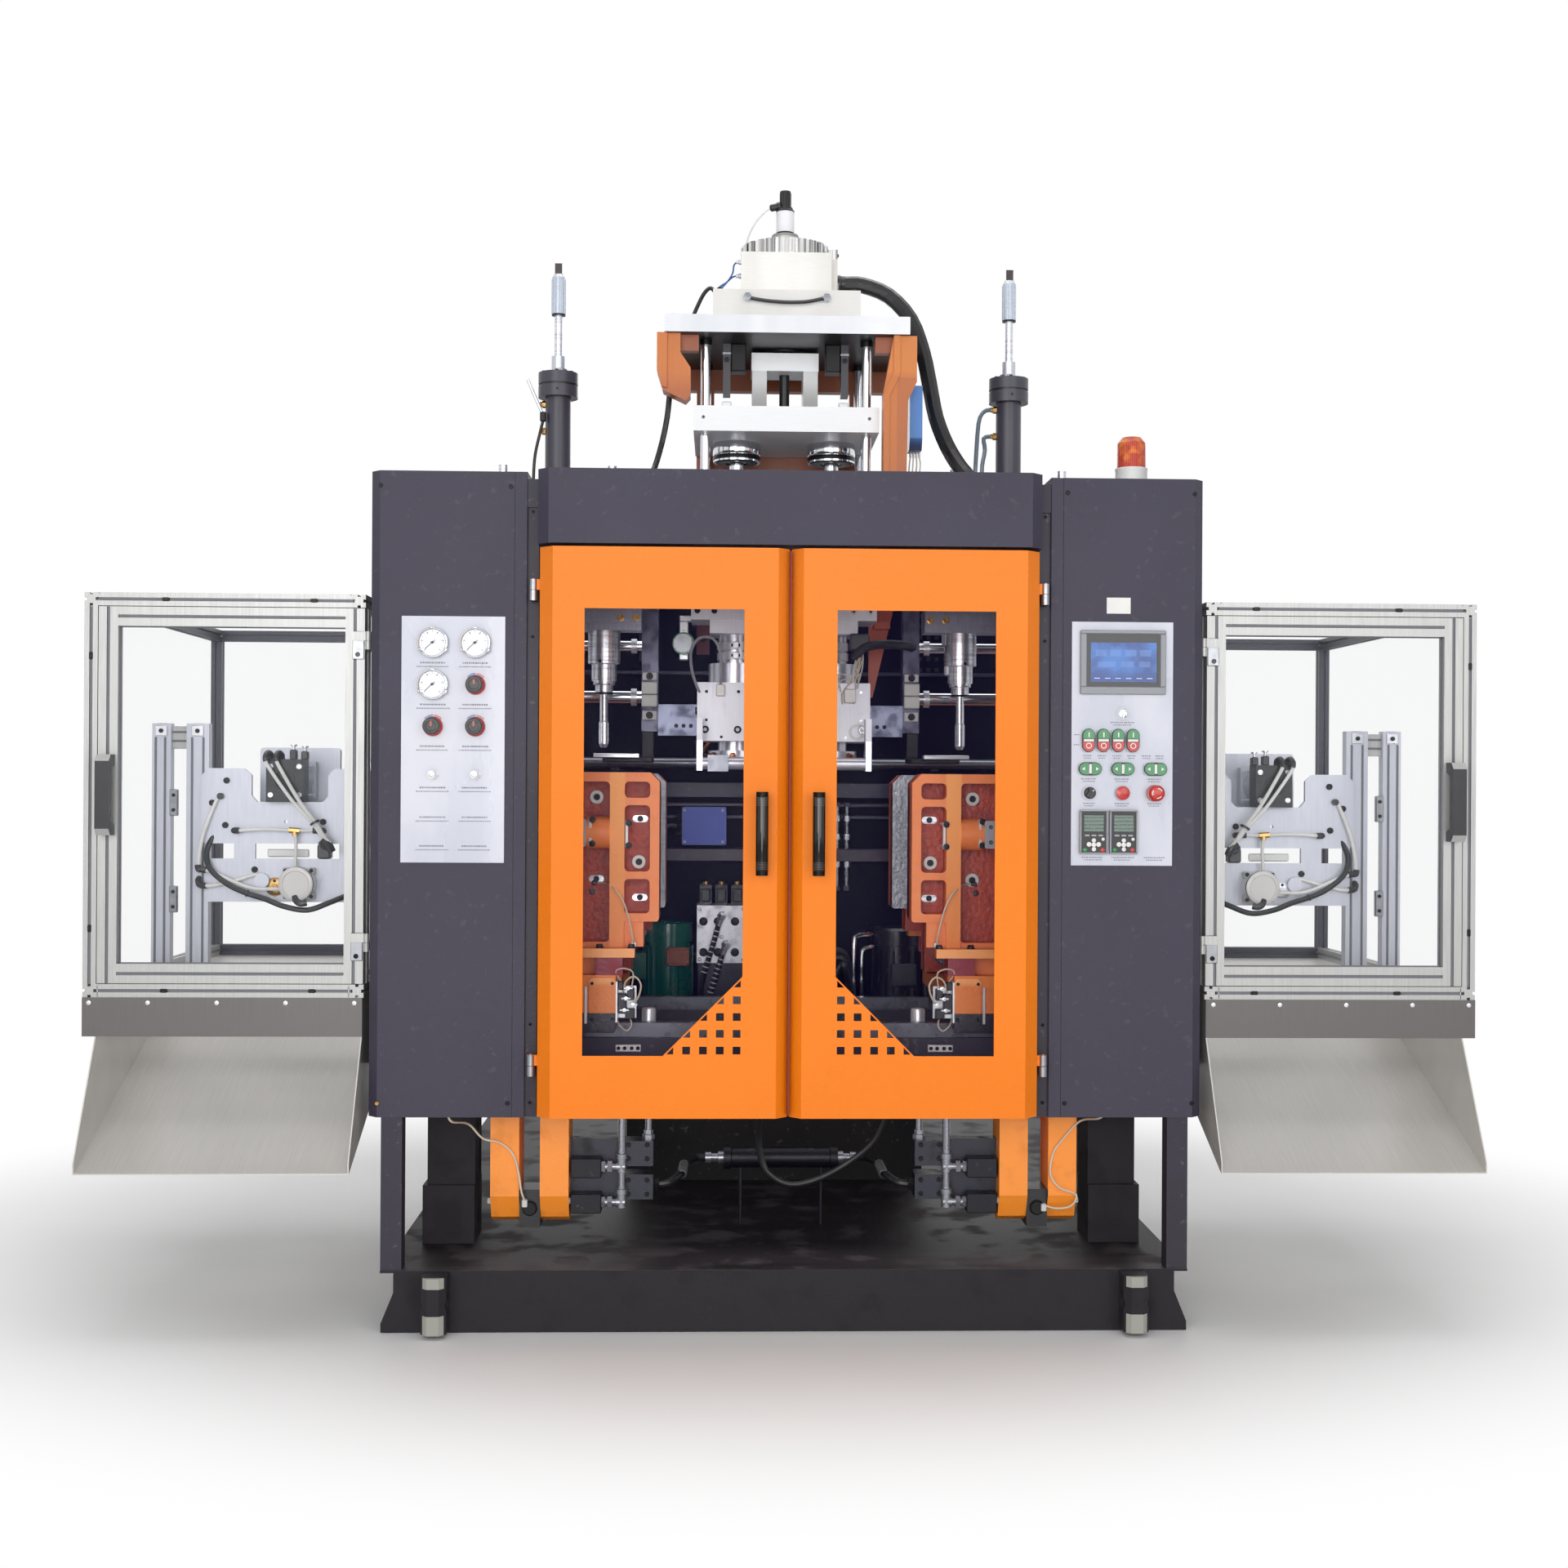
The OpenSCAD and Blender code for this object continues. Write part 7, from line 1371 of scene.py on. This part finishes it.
# Second pump. A dark upright motor at the right of the tank, with chromed pipes and looped rubber hoses.
dark_coat = paint("pump_black", "#1f2029", 0.3, dirty=0.3)
pump = Part("second_pump").use(dark_coat)
pump.turned((375, 595, TANK), UP, [(0, 0), (86, 0), (86, 18), (72, 20), (72, 216), (78, 218), (78, 262), (70, 270),
    (30, 274), (0, 274)], 36)
for cx, cy in around(18, 74, 375, 595):
    pump.hose([(cx, cy, 690), (cx, cy, 850)], 5, 6, 1)
pump.block((352, 508, 742), (430, 532, 812), 4)
pump.use(chrome)
for x_mm, z_mm in ((242, 900), (266, 860)):
    pump.hose([(x_mm, 560, TANK), (x_mm, 560, 700), (x_mm, 560, z_mm - 30), (x_mm + 10, 560, z_mm - 6),
        (x_mm + 34, 562, z_mm), (300, 566, z_mm)], 16, 10, 5)
for x_mm in (242, 266):
    pump.turned((x_mm, 560, 649.8), UP, stepped(15, 12, 10, 24), 6)
pump.use(black_hose)
for k, (spread, drop) in enumerate(((0, 0), (16, 22), (30, 40))):
    pump.hose([(150 + spread, 530, TANK), (150 + spread, 526, 720), (148 + spread, 520, 800 - drop),
        (170 + spread, 518, 850 - drop), (210, 520 - 4 * k, 842 - drop), (226, 532, 780 - drop),
        (222 - spread, 540, 700), (222 - spread, 540, TANK)], 22, 9, 4)
for spread in (0, 16, 30):
    pump.use(elbow_steel).turned((150 + spread, 530, 649.8), UP,
        [(0, 0), (14, 0), (14, 12), (12, 14), (12, 40), (0, 40)], 6)
pump.fit("frame", "dark_plastic")

# Valve manifold. A white-zinc block with drilled ports, three dark solenoid valves on top and a dark base; hoses in
# steel spiral guards run from its ports down to the tank.
manifold_zinc = Finish("manifold_zinc", "#dcdce6", 0.32, 0.25)
x, y, z = manifold_zinc.axes()
lower = z < 0.8128
upper = z > 0.988
marks = manifold_zinc.noise(34.0, 5.0).fade(0.5, 0.74)
manifold_zinc.coated("#e2e2ec", (marks * 0.5, "#9495ad"), (lower, "#23222f"), (upper, "#1f1f2b"))
manifold_zinc.feed("Roughness", 0.3 + marks * 0.2)
dress(manifold_zinc, "valve_manifold")
ports = Part("valve_manifold_fittings")
for x_mm in (-220, -176, -124):
    for z_mm in (846, 940):
        ports.use(black_steel).turned((x_mm, 524.4, z_mm), FRONT, stepped(13, 4, 8, 2), 18)
for x_mm, z_mm in ((-232, 824), (-98, 824), (-232, 978), (-98, 978), (-165, 892)):
    ports.use(elbow_steel).socket_screw((x_mm, 524.4, z_mm), FRONT, 12, 5)
for n in range(3):
    cx = -214 + 48 * n
    ports.use(black_plastic).block((cx - 14, 506, 1000), (cx + 14, 530.4, 1040), 3)
    ports.use(brass).turned((cx, 590, 1050), UP, capped(9, 8, 4, 9), 14)
for (x0, z0), (x1, z1) in (((-164, 958), (-221, 772)), ((-151, 871), (-206, 698))):
    ports.use(elbow_steel).turned((x0, 524.4, z0), FRONT, stepped(15, 8, 11, 26), 6)
    ports.hose([(x0, 500, z0 + 4), (x0 - 6, 500, z0 - 14), (x0 - 12, 500, z0 - 30)], 20, 10, 3)
    ports.use(black_hose).hose([(x0 - 11, 500, z0 - 28), ((x0 + x1) / 2, 498, (z0 + z1) / 2), (x1, 500, z1),
        (x1 - 8, 508, z1 - 60), (x1 - 10, 516, TANK)], 17, 9, 5)
    for k in range(9):
        f = (k + 1) / 10
        ports.use(clip_steel).turned((x0 - 12 + (x1 - x0 + 12) * f, 499, z0 - 30 + (z1 - z0 + 30) * f),
            (x1 - x0, 0, z1 - z0), [(8.6, -2), (10.4, -1), (10.4, 1), (8.6, 2)], 14)
    ports.use(elbow_steel).turned((x1 - 10, 516, 649.8), UP,
        [(0, 0), (14, 0), (14, 10), (10, 12), (10, 30), (0, 30)], 6)
ports.fit("frame", "bare_steel")

# Rear wall fittings. Painted channels and a steel tube cross the rear panel's inner face; black hoses are coiled on
# it at the right, beside two plated pipes with unions.
wall_indigo = paint("wall_indigo", "#2b2a4a", 0.34, dirty=0.25)
wall_violet = paint("wall_violet", "#3c2c46", 0.34, dirty=0.35)
wall = Part("rear_wall_fittings").use(wall_indigo)
for z0, z1, depth in ((1316, 1364, 676), (1250, 1262, 690), (1700, 1712, 686), (1960, 1972, 686)):
    wall.block((-940, depth, z0), (940, WALL, z1), 2)
wall.use(wall_violet).block((-940, 672, 1116), (940, WALL, 1158), 3).block((-940, 686, 1288), (940, WALL, 1300), 2)
wall.use(blade_steel).hose([(-900, 668, 1424), (0, 668, 1424), (900, 668, 1424)], 34, 14, 1)
for x_mm in (-890, -500, 500, 890):
    wall.use(wall_indigo).block((x_mm - 12, 660, 1400), (x_mm + 12, WALL, 1448), 2)
for k in range(3):
    wall.use(black_hose).turned((74, 690 - 12 * k, 1232), FRONT, [(58 - 3 * k, 0), (66 - 3 * k, -5),
        (74 - 3 * k, 0), (74 - 3 * k, 8), (66 - 3 * k, 12), (58 - 3 * k, 8), (58 - 3 * k, 0)], 30)
for x_mm in (196, 226):
    wall.use(elbow_steel).hose([(x_mm, 682, 1040), (x_mm, 682, 1150), (x_mm, 682, 1290)], 12, 8, 1)
    for z_mm in (1100, 1186, 1244):
        wall.turned((x_mm, 682, z_mm), UP, hoop(6, 12, 18), 6)
    wall.use(wall_indigo).block((x_mm - 10, 680, 1024), (x_mm + 10, WALL, 1042), 2).block((x_mm - 10, 680, 1288),
        (x_mm + 10, WALL, 1304), 2)
for x_mm, z0, z1 in ((-700, 1740, 1930), (-420, 1740, 1930), (420, 1740, 1930), (700, 1740, 1930)):
    wall.use(wall_indigo).block((x_mm - 8, 688, z0), (x_mm + 8, WALL, z1), 2)
for k in range(6):
    for n in range(7):
        wall.use(black_hose).block((398 + 26 * k, 695, 1716 + 34 * n), (410 + 26 * k, WALL, 1728 + 34 * n))
wall.fit("frame", "frame_paint")

# Guards. Slotted aluminium profiles joined at the corners, clear panes seated in their slots, and a hinged front
# door on each; black clips sit in the slots, screwed butt hinges and bow handles on the doors.
profile_silver = Finish("profile_silver", "#cfd1d4", 0.36, 0.35)
x, y, z = profile_silver.axes()
drawn = profile_silver.noise(5.0, 4.0, profile_silver.stretched(60, 60, 1.5))
# Painted shade: the profiles at the back, the top beams behind the front and the low beams in the bays are dark
# grey.
painted_beam_shade = (y > 0.676) + (y > -0.4) * (z > 1.785) + y.between(-0.11, -0.06) * (z < 0.8525)
profile_silver.coated("#c2c2c0", (drawn, "#a2a2a2"), (painted_beam_shade, "#383842"))
profile_silver.feed("Roughness", drawn * 0.16 + 0.3)
dress(profile_silver, "guard_frames", "left_guard_door", "right_guard_door")
clear_pane = Finish("clear_pane", "#b4b9c2", 0.04, Alpha=0.03, Specular_IOR_Level=0.2).worn(0.05, 0.02, 25.0, 3.0)
dress(clear_pane, "guard_panes", "left_guard_pane", "right_guard_pane")
slot_rubber = Finish("slot_grey", "#6c6d74", 0.5).worn(0.3, 0.35, 80.0)
for side, name in SIDES:
    guard = Part(name + "_guard_trim").use(slot_rubber)
    # Rubber cord in the slots of the outer frame
    for z_mm in (835.5, 1809.5):
        guard.block((side * 1092, -487.6, z_mm - 3), (side * 1718, -485, z_mm + 3))
    guard.block((side * 1732.5, -487.6, 853), (side * 1738.5, -485, 1791))
    for x_mm, z_mm, tall in ((1186, 1809.5, 0), (1552, 1809.5, 0), (1186, 835.5, 0), (1552, 835.5, 0),
            (1735.5, 1668, 1), (1735.5, 990, 1)):
        w, h = (5, 9) if tall else (9, 5)
        guard.use(black_steel).block((side * x_mm - w, -491.5, z_mm - h), (side * x_mm + w, -484, z_mm + h), 1.5)
    guard.use(clip_steel)
    for x0, x1, z0, z1 in ((1092, 1718, 819, 822), (1092, 1718, 1823, 1826)):
        for x_mm in (x0 + 3, x1 - 3):
            guard.block((side * x_mm - 0.7, -490, z0 + 2),
                (side * x_mm + 0.7, -489.4, z0 + 30 if z0 < 900 else z1 - 3))
    for x_mm, z_mm in ((1129, 1420), (1578, 1513), (1675, 1513)):
        guard.use(black_steel).block((side * x_mm - 15, -98, z_mm - 36), (side * x_mm + 15, -67.2, z_mm + 0.6), 2)
        guard.use(clip_steel).block((side * x_mm - 16, -104, z_mm - 34), (side * x_mm + 16, -99.6, z_mm - 6), 1.5)
        guard.use(black_steel).socket_screw((side * x_mm, -104, z_mm - 20), FRONT, 12, 5)
    for x_mm in (1563, 1593, 1665, 1690):
        guard.use(slot_rubber).block((side * x_mm - 3, -101.4, 856), (side * x_mm + 3, -99.8, 1476))
    for z_mm in (1466, 1490):
        guard.block((side * 1608, -86, z_mm - 3), (side * 1650, -84, z_mm + 3))
    guard.use(profile_silver).block((side * 1608, -84, 1445), (side * 1650, -67.4, 1506), 1)
    for z_mm in (1300, 1040):
        guard.use(hinge_steel).block((side * 1630, -104, z_mm - 36), (side * 1652, -90, z_mm + 36), 2)
        guard.use(black_steel).socket_screw((side * 1641, -104, z_mm - 20), FRONT, 10,
            4).socket_screw((side * 1641, -104, z_mm + 20), FRONT, 10, 4)
    guard.fit("frame", "aluminium")
    leaf = Part(name + "_guard_door_trim").use(slot_rubber)
    for x_mm in (1084, 1693):
        leaf.block((side * x_mm - 3, -487.6, 855), (side * x_mm + 3, -485, 1790))
    for z_mm in (878, 1767):
        leaf.block((side * 1109, -487.6, z_mm - 3), (side * 1668, -485, z_mm + 3))
    # Gasket around the pane, the screws of the handle and the hinges' leaves
    for x_mm in (1106.5, 1668.5):
        leaf.block((side * x_mm - 1.8, -475.5, 900), (side * x_mm + 1.8, -466.5, 1745))
    for z_mm in (902.5, 1742.5):
        leaf.block((side * 1108, -475.5, z_mm - 1.8), (side * 1669, -466.5, z_mm + 1.8))
    leaf.use(black_steel)
    for z_mm in (1236, 1408):
        leaf.socket_screw((side * 1692, -522, z_mm), FRONT, 9, 2)
    for z_mm in (935, 1688):
        leaf.use(hinge_steel).block((side * 1061, -493, z_mm - 24), (side * 1090, -489.8, z_mm + 46), 1.2)
        for dz in (-12, 34):
            leaf.use(black_chrome).turned((side * 1077, -493, z_mm + dz), FRONT,
                [(0, 0), (6.4, 0), (6, 1.6), (3.2, 1.6), (3.2, 0.4), (0, 0.4)], 14)
    leaf.use(black_plastic).plate([(-490, 1222.5), (-524, 1222.5), (-538.2, 1239), (-538.2, 1406), (-524, 1422.5),
        (-490, 1422.5), (-490, 1398.5), (-515.6, 1390), (-515.6, 1255), (-490, 1246.5)],
        min(side * 1674.6, side * 1709.4), max(side * 1674.6, side * 1709.4), "x")
    leaf.fit(name + "_guard_door_body", "dark_plastic")

# Trim units. Milled aluminium plates on slotted posts carry a black square cylinder that drives the punch, and two
# smaller cylinders below; white air tubes run between push-in elbows, flow valves and a brass tee.
trim_finish = Finish("trim_aluminium", "#c9cbd4", 0.34, 0.3)
x, y, z = trim_finish.axes()
swirl = trim_finish.noise(4.0, 5.0, trim_finish.stretched(40, 40, 3))
clamp_zone = (abs(abs(x) - 1.3356) < 0.0503) * z.between(1.3028, 1.4182) * y.between(-0.1422, -0.0798)
round_big = (abs(abs(x) - 1.2996) < 0.0453) * z.between(1.0398, 1.1302) * (y < -0.1125)
trim_finish.coated("#cdd0da", (swirl, "#b9bcc8"), (clamp_zone, "#17171a"), (round_big, "#eceef2"))
trim_finish.feed("Roughness", 0.34 + swirl * 0.14 - clamp_zone * 0.06)
dress(trim_finish, "trim_units", "left_trim_punch", "right_trim_punch")
for side, name in SIDES:
    unit = Part(name + "_trim_fittings")
    for x_mm, z_mm in ((1149, 1360), (1149, 1215), (1239, 1250), (1500, 1240), (1535, 1300),
            (1497, 1360), (1421, 1121)):
        unit.use(black_steel).socket_screw((side * x_mm, BAY, z_mm), FRONT, 17, 7)
    for dx in (-38, 38):
        for dz in (-38, 38):
            unit.use(ground_steel).turned((side * 1335.6 + dx, -142, 1360.5 + dz), FRONT,
                [(0, 0), (7, 0), (7, 2), (4, 2), (4, 0.6), (0, 0.6)], 14)
    unit.use(black_steel).turned((side * 1335.6, -142, 1362), FRONT, capped(27, 1.4, 24, 2), 28)
    for dx in (-40, 40):
        for z_mm in (1322, 1402):
            unit.use(ground_steel).hose([(side * 1335.6 + dx, -80, z_mm), (side * 1335.6 + dx, 12, z_mm)], 8, 8, 1)
    # Flow valves and elbows on the square cylinder
    for x_mm, lift in ((1286, 22), (1316, 26)):
        unit.use(black_plastic).block((side * x_mm - 9, -134, 1417.6), (side * x_mm + 9, -112, 1417.6 + lift), 2)
        unit.use(clip_steel).turned((side * x_mm, -124, 1417.6 + lift - 1), UP, stepped(4, 10, 9, 15), 12)
    for x_mm in (1348, 1376):
        unit.use(black_plastic).hose(flip(side, (x_mm, -124, 1417), (x_mm, -128, 1430), (x_mm + 5, -140, 1434),
            (x_mm + 8, -152, 1424), (x_mm + 6, -154, 1412)), 17, 10, 4)
    unit.use(white_plastic).hose(flip(side, (1382, -154, 1414), (1376, -158, 1397), (1311, -164, 1307),
        (1258, -160, 1248), (1235, -158, 1215), (1222, -156, 1198)), 10, 8, 5)
    unit.hose(flip(side, (1354, -154, 1414), (1348, -160, 1400), (1292, -170, 1308), (1246, -168, 1246),
        (1226, -166, 1213), (1210, -162, 1194)), 10, 8, 5)
    unit.use(black_plastic).hose(flip(side, (1228, -158, 1206), (1214, -160, 1190), (1206, -156, 1172)), 21, 10, 4)
    unit.hose(flip(side, (1216, -148, 1180), (1232, -146, 1186), (1240, -130, 1192), (1240, BAY, 1192)), 17, 10, 4)
    unit.turned((side * 1250, -168, 1250), (-side * 0.5, 0, -0.86), [(13, -2), (14.4, -1), (14.4, 3), (13, 4)], 14)
    # Level tube with its tee, and the tube that drops to the round cylinder
    unit.hose(flip(side, (1474, BAY, 1226), (1474, -124, 1226), (1470, -132, 1226), (1458, -133, 1226)), 17, 10, 4)
    unit.hose(flip(side, (1238, BAY, 1226), (1240, -126, 1226), (1248, -132, 1227), (1262, -133, 1227)), 17, 10, 4)
    unit.use(white_plastic).hose(flip(side, (1460, -133, 1226), (1420, -134, 1229), (1370, -134, 1230),
        (1311, -133, 1227), (1262, -133, 1227)), 9, 8, 5)
    unit.hose(flip(side, (1309, -134, 1224), (1306, -136, 1180), (1309, -138, 1120), (1308, -150, 1076),
        (1304, -166, 1048)), 9, 8, 5)
    unit.use(brass).hose(flip(side, (1326, -133, 1228), (1311, -133, 1227), (1297, -133, 1226)), 15, 6, 2)
    unit.turned((side * 1310, -133, 1228), DOWN, stepped(7, 16), 6)
    # Round cylinder's end cap, its elbow, and the bored disc beside it
    unit.use(washer_white).turned((side * 1299.6, -170, 1085), FRONT,
        [(44.9, -6), (46, -4), (46, 0), (41, 2), (36, 2), (34, 0.6), (0, 0.6)], 36)
    for (cx, cz), (sx, sz) in zip(around(4, 47, side * 1299.6, 1085, 0.5), around(4, 49, side * 1299.6, 1085, 0.5)):
        unit.use(washer_white).block((cx - 9, -136, cz - 9), (cx + 9, BAY, cz + 9), 3)
        unit.use(black_steel).socket_screw((sx, -136, sz), FRONT, 11, 3)
    unit.turned((side * 1299.6, -164, 1085), FRONT, [(45.2, -3), (46.6, -2), (46.6, 0), (45.2, 1)], 36)
    unit.use(black_plastic).hose(flip(side, (1302, -166, 1052), (1296, -172, 1040), (1284, -174, 1034),
        (1270, -170, 1036)), 18, 10, 4)
    unit.use(brass if side < 0 else ground_steel).turned((side * 1366, BAY, 1075), FRONT,
        [(0, 0), (25, 0), (25, 8), (22, 10), (9, 10), (9, 18), (0, 18)], 30)
    for cx, cz in around(3, 16, side * 1366, 1075, 0.75):
        unit.use(black_steel).socket_screw((cx, -121.8, cz), FRONT, 8, 3)
    # Slotted bar behind the gap, and the loom below with its white tubes
    unit.use(white_plastic).block((side * 1279, -99, 1154), (side * 1391, -93, 1176), 8)
    unit.use(dark_coat).block((side * 1219, -118, 1150), (side * 1254, -80, 1190), 4)
    unit.use(black_hose).hose(flip(side, (1512, -99.6, 1226), (1534, -106, 1208), (1547, -122, 1165),
        (1532, -136, 1121), (1482, -146, 1081), (1431, -152, 1059), (1384, -158, 1045), (1329, -166, 1025),
        (1268, -166, 1016), (1213, -152, 1035), (1170, -130, 1053), (1132, BAY, 1062)), 15, 9, 5)
    unit.turned((side * 1431, -152, 1059), (side * 0.94, 0, 0.34), [(8, -3), (9.6, -2), (9.6, 2), (8, 3)], 14)
    unit.use(white_plastic).hose(flip(side, (1512, -106, 1318), (1523, -118, 1305), (1554, -126, 1220),
        (1565, -130, 1154), (1565, -130, 1132)), 10, 8, 5)
    unit.hose(flip(side, (1552, -130, 1122), (1518, -134, 1110), (1427, -144, 1074), (1360, -150, 1071),
        (1304, -160, 1071)), 10, 8, 5)
    unit.use(black_plastic).hose(flip(side, (1568, -130, 1134), (1566, -130, 1122), (1556, -130, 1122),
        (1546, -130, 1119)), 17, 10, 4)
    unit.hose(flip(side, (1572, -112, 1092), (1566, -124, 1082), (1556, -130, 1078), (1546, -131, 1078)), 17, 10, 4)
    unit.hose(flip(side, (1572, -99.6, 1096), (1572, -106, 1096), (1571, -113, 1092)), 15, 10, 2)
    unit.use(white_plastic).hose(flip(side, (1550, -131, 1078), (1520, -132, 1080), (1470, -130, 1092),
        (1430, -122, 1104), (1404, BAY, 1110)), 10, 8, 5)
    unit.use(black_plastic).turned((side * 1512, BAY, 1318), FRONT, stepped(9, 12), 10)
    unit.fit("frame", "aluminium")

# Product chutes. Folded stainless sheet with a brushed face; the band above the opening is a darker sheet with a
# rolled lip, and the fold lines catch the light.
chute_steel = Finish("chute_stainless", "#b6b4b1", 0.36, 0.45)
x, y, z = chute_steel.axes()
fine = chute_steel.noise(4.0, 5.0, chute_steel.stretched(90, 2, 2))
band = (y < -0.4895) * z.between(0.722, 0.8195)
chute_steel.coated("#d3d0cb", (fine, "#bfbcb8"), (band, chute_steel.mix(fine, "#6e6a6a", "#615d5d")))
chute_steel.feed("Roughness", fine * 0.16 + 0.3)
dress(chute_steel, "product_chutes")
chute_trim = Part("chute_screws")
for side in (-1, 1):
    for x_mm in (1080, 1250, 1420, 1590, 1735):
        chute_trim.use(clip_steel).turned((side * x_mm, -493, 806), FRONT,
            [(0, 0), (6, 0), (5.4, 2.4), (3, 3), (0, 3)], 14)
chute_trim.fit("frame", "stainless")

# Stage. A pale floor that takes the machine's shadow and shows white to the camera, and five soft lamps: front
# left, front right, low in front, a large one above and one behind. The camera stands where the photograph was
# taken from.
floor_finish = Finish("pale_floor", "#f4f4f4", 0.6).worn(0.2, 0.5, 4.0)
x, y, z = floor_finish.axes()
away = floor_finish.node("Math", {"operation": "SQRT"}, x * x * 0.6 + (y - 0.6) * (y - 0.6)).fade(1.35, 2.5)
path = floor_finish.tree.nodes.new("ShaderNodeLightPath")
seen = Wire(floor_finish, path.outputs["Is Camera Ray"])
glow = floor_finish.node("Emission", {}, (1, 1, 1, 1), 1.0)
joined = floor_finish.node("MixShader", {}, away * seen, Wire(floor_finish, floor_finish.shader.outputs[0]), glow)
floor_finish.tree.links.new(joined.socket, floor_finish.tree.nodes["Material Output"].inputs["Surface"])
floor = bmesh.new()
for x_m, y_m in ((-16, -14), (16, -14), (16, 18), (-16, 18)):
    floor.verts.new((x_m, y_m, -0.001))
floor.faces.new(floor.verts)
floor_mesh = bpy.data.meshes.new("floor")
floor.to_mesh(floor_mesh)
floor_object = bpy.data.objects.new("floor", floor_mesh)
floor_object.data.materials.append(floor_finish.material)
scene.collection.objects.link(floor_object)

world = bpy.data.worlds.new("room")
world.use_nodes = True
scene.world = world
nodes, wires = world.node_tree.nodes, world.node_tree.links
sky, white = nodes["Background"], nodes.new("ShaderNodeBackground")
for background, strength in ((sky, 0.3), (white, 1.0)):
    background.inputs["Color"].default_value = (1, 1, 1, 1)
    background.inputs["Strength"].default_value = strength
rays, blend = nodes.new("ShaderNodeLightPath").outputs, nodes.new("ShaderNodeMixShader")
total = rays["Is Camera Ray"]
for kind in ("Is Transmission Ray", "Is Glossy Ray"):
    either = nodes.new("ShaderNodeMath")
    either.operation, either.use_clamp = "ADD", True
    wires.new(total, either.inputs[0])
    wires.new(rays[kind], either.inputs[1])
    total = either.outputs[0]
for socket, value in zip(blend.inputs, (total, sky.outputs[0], white.outputs[0])):
    wires.new(value, socket)
wires.new(blend.outputs[0], nodes["World Output"].inputs["Surface"])

for place, aim, size, power in (((-2.2, -6.2, 2.6), (0, -0.2, 1.2), 3.0, 100), ((2.6, -6.0, 2.4), (0.2, 0, 1.3),
        3.0, 80), ((-0.4, -7.4, 1.5), (0, 0, 1.4), 2.4, 90), ((0.0, 0.4, 6.4), (0, 0.4, 0), 5.0, 145),
        ((0.5, 5.6, 4.4), (0, 0.6, 1.2), 3.5, 76)):
    lamp = bpy.data.lights.new("soft_lamp", "AREA")
    lamp.size, lamp.energy = size, power
    lamp_object = bpy.data.objects.new("soft_lamp", lamp)
    lamp_object.location = place
    lamp_object.rotation_euler = (Vector(aim) - Vector(place)).to_track_quat("-Z", "Y").to_euler()
    scene.collection.objects.link(lamp_object)

camera = bpy.data.cameras.new("camera")
camera.lens, camera.sensor_width, camera.clip_end = 43.395, 36.0, 60.0
camera_object = bpy.data.objects.new("camera", camera)
camera_object.matrix_world = (Matrix.Translation((-0.1694, -5.2407, 1.3548)) @ Matrix.Rotation(radians(-1.912), 4,
    "Z") @ Matrix.Rotation(radians(90.049), 4, "X") @ Matrix.Rotation(radians(0.331), 4, "Z"))
scene.collection.objects.link(camera_object)
scene.camera = camera_object
scene.view_settings.view_transform = "Standard"

bpy.context.view_layer.update()
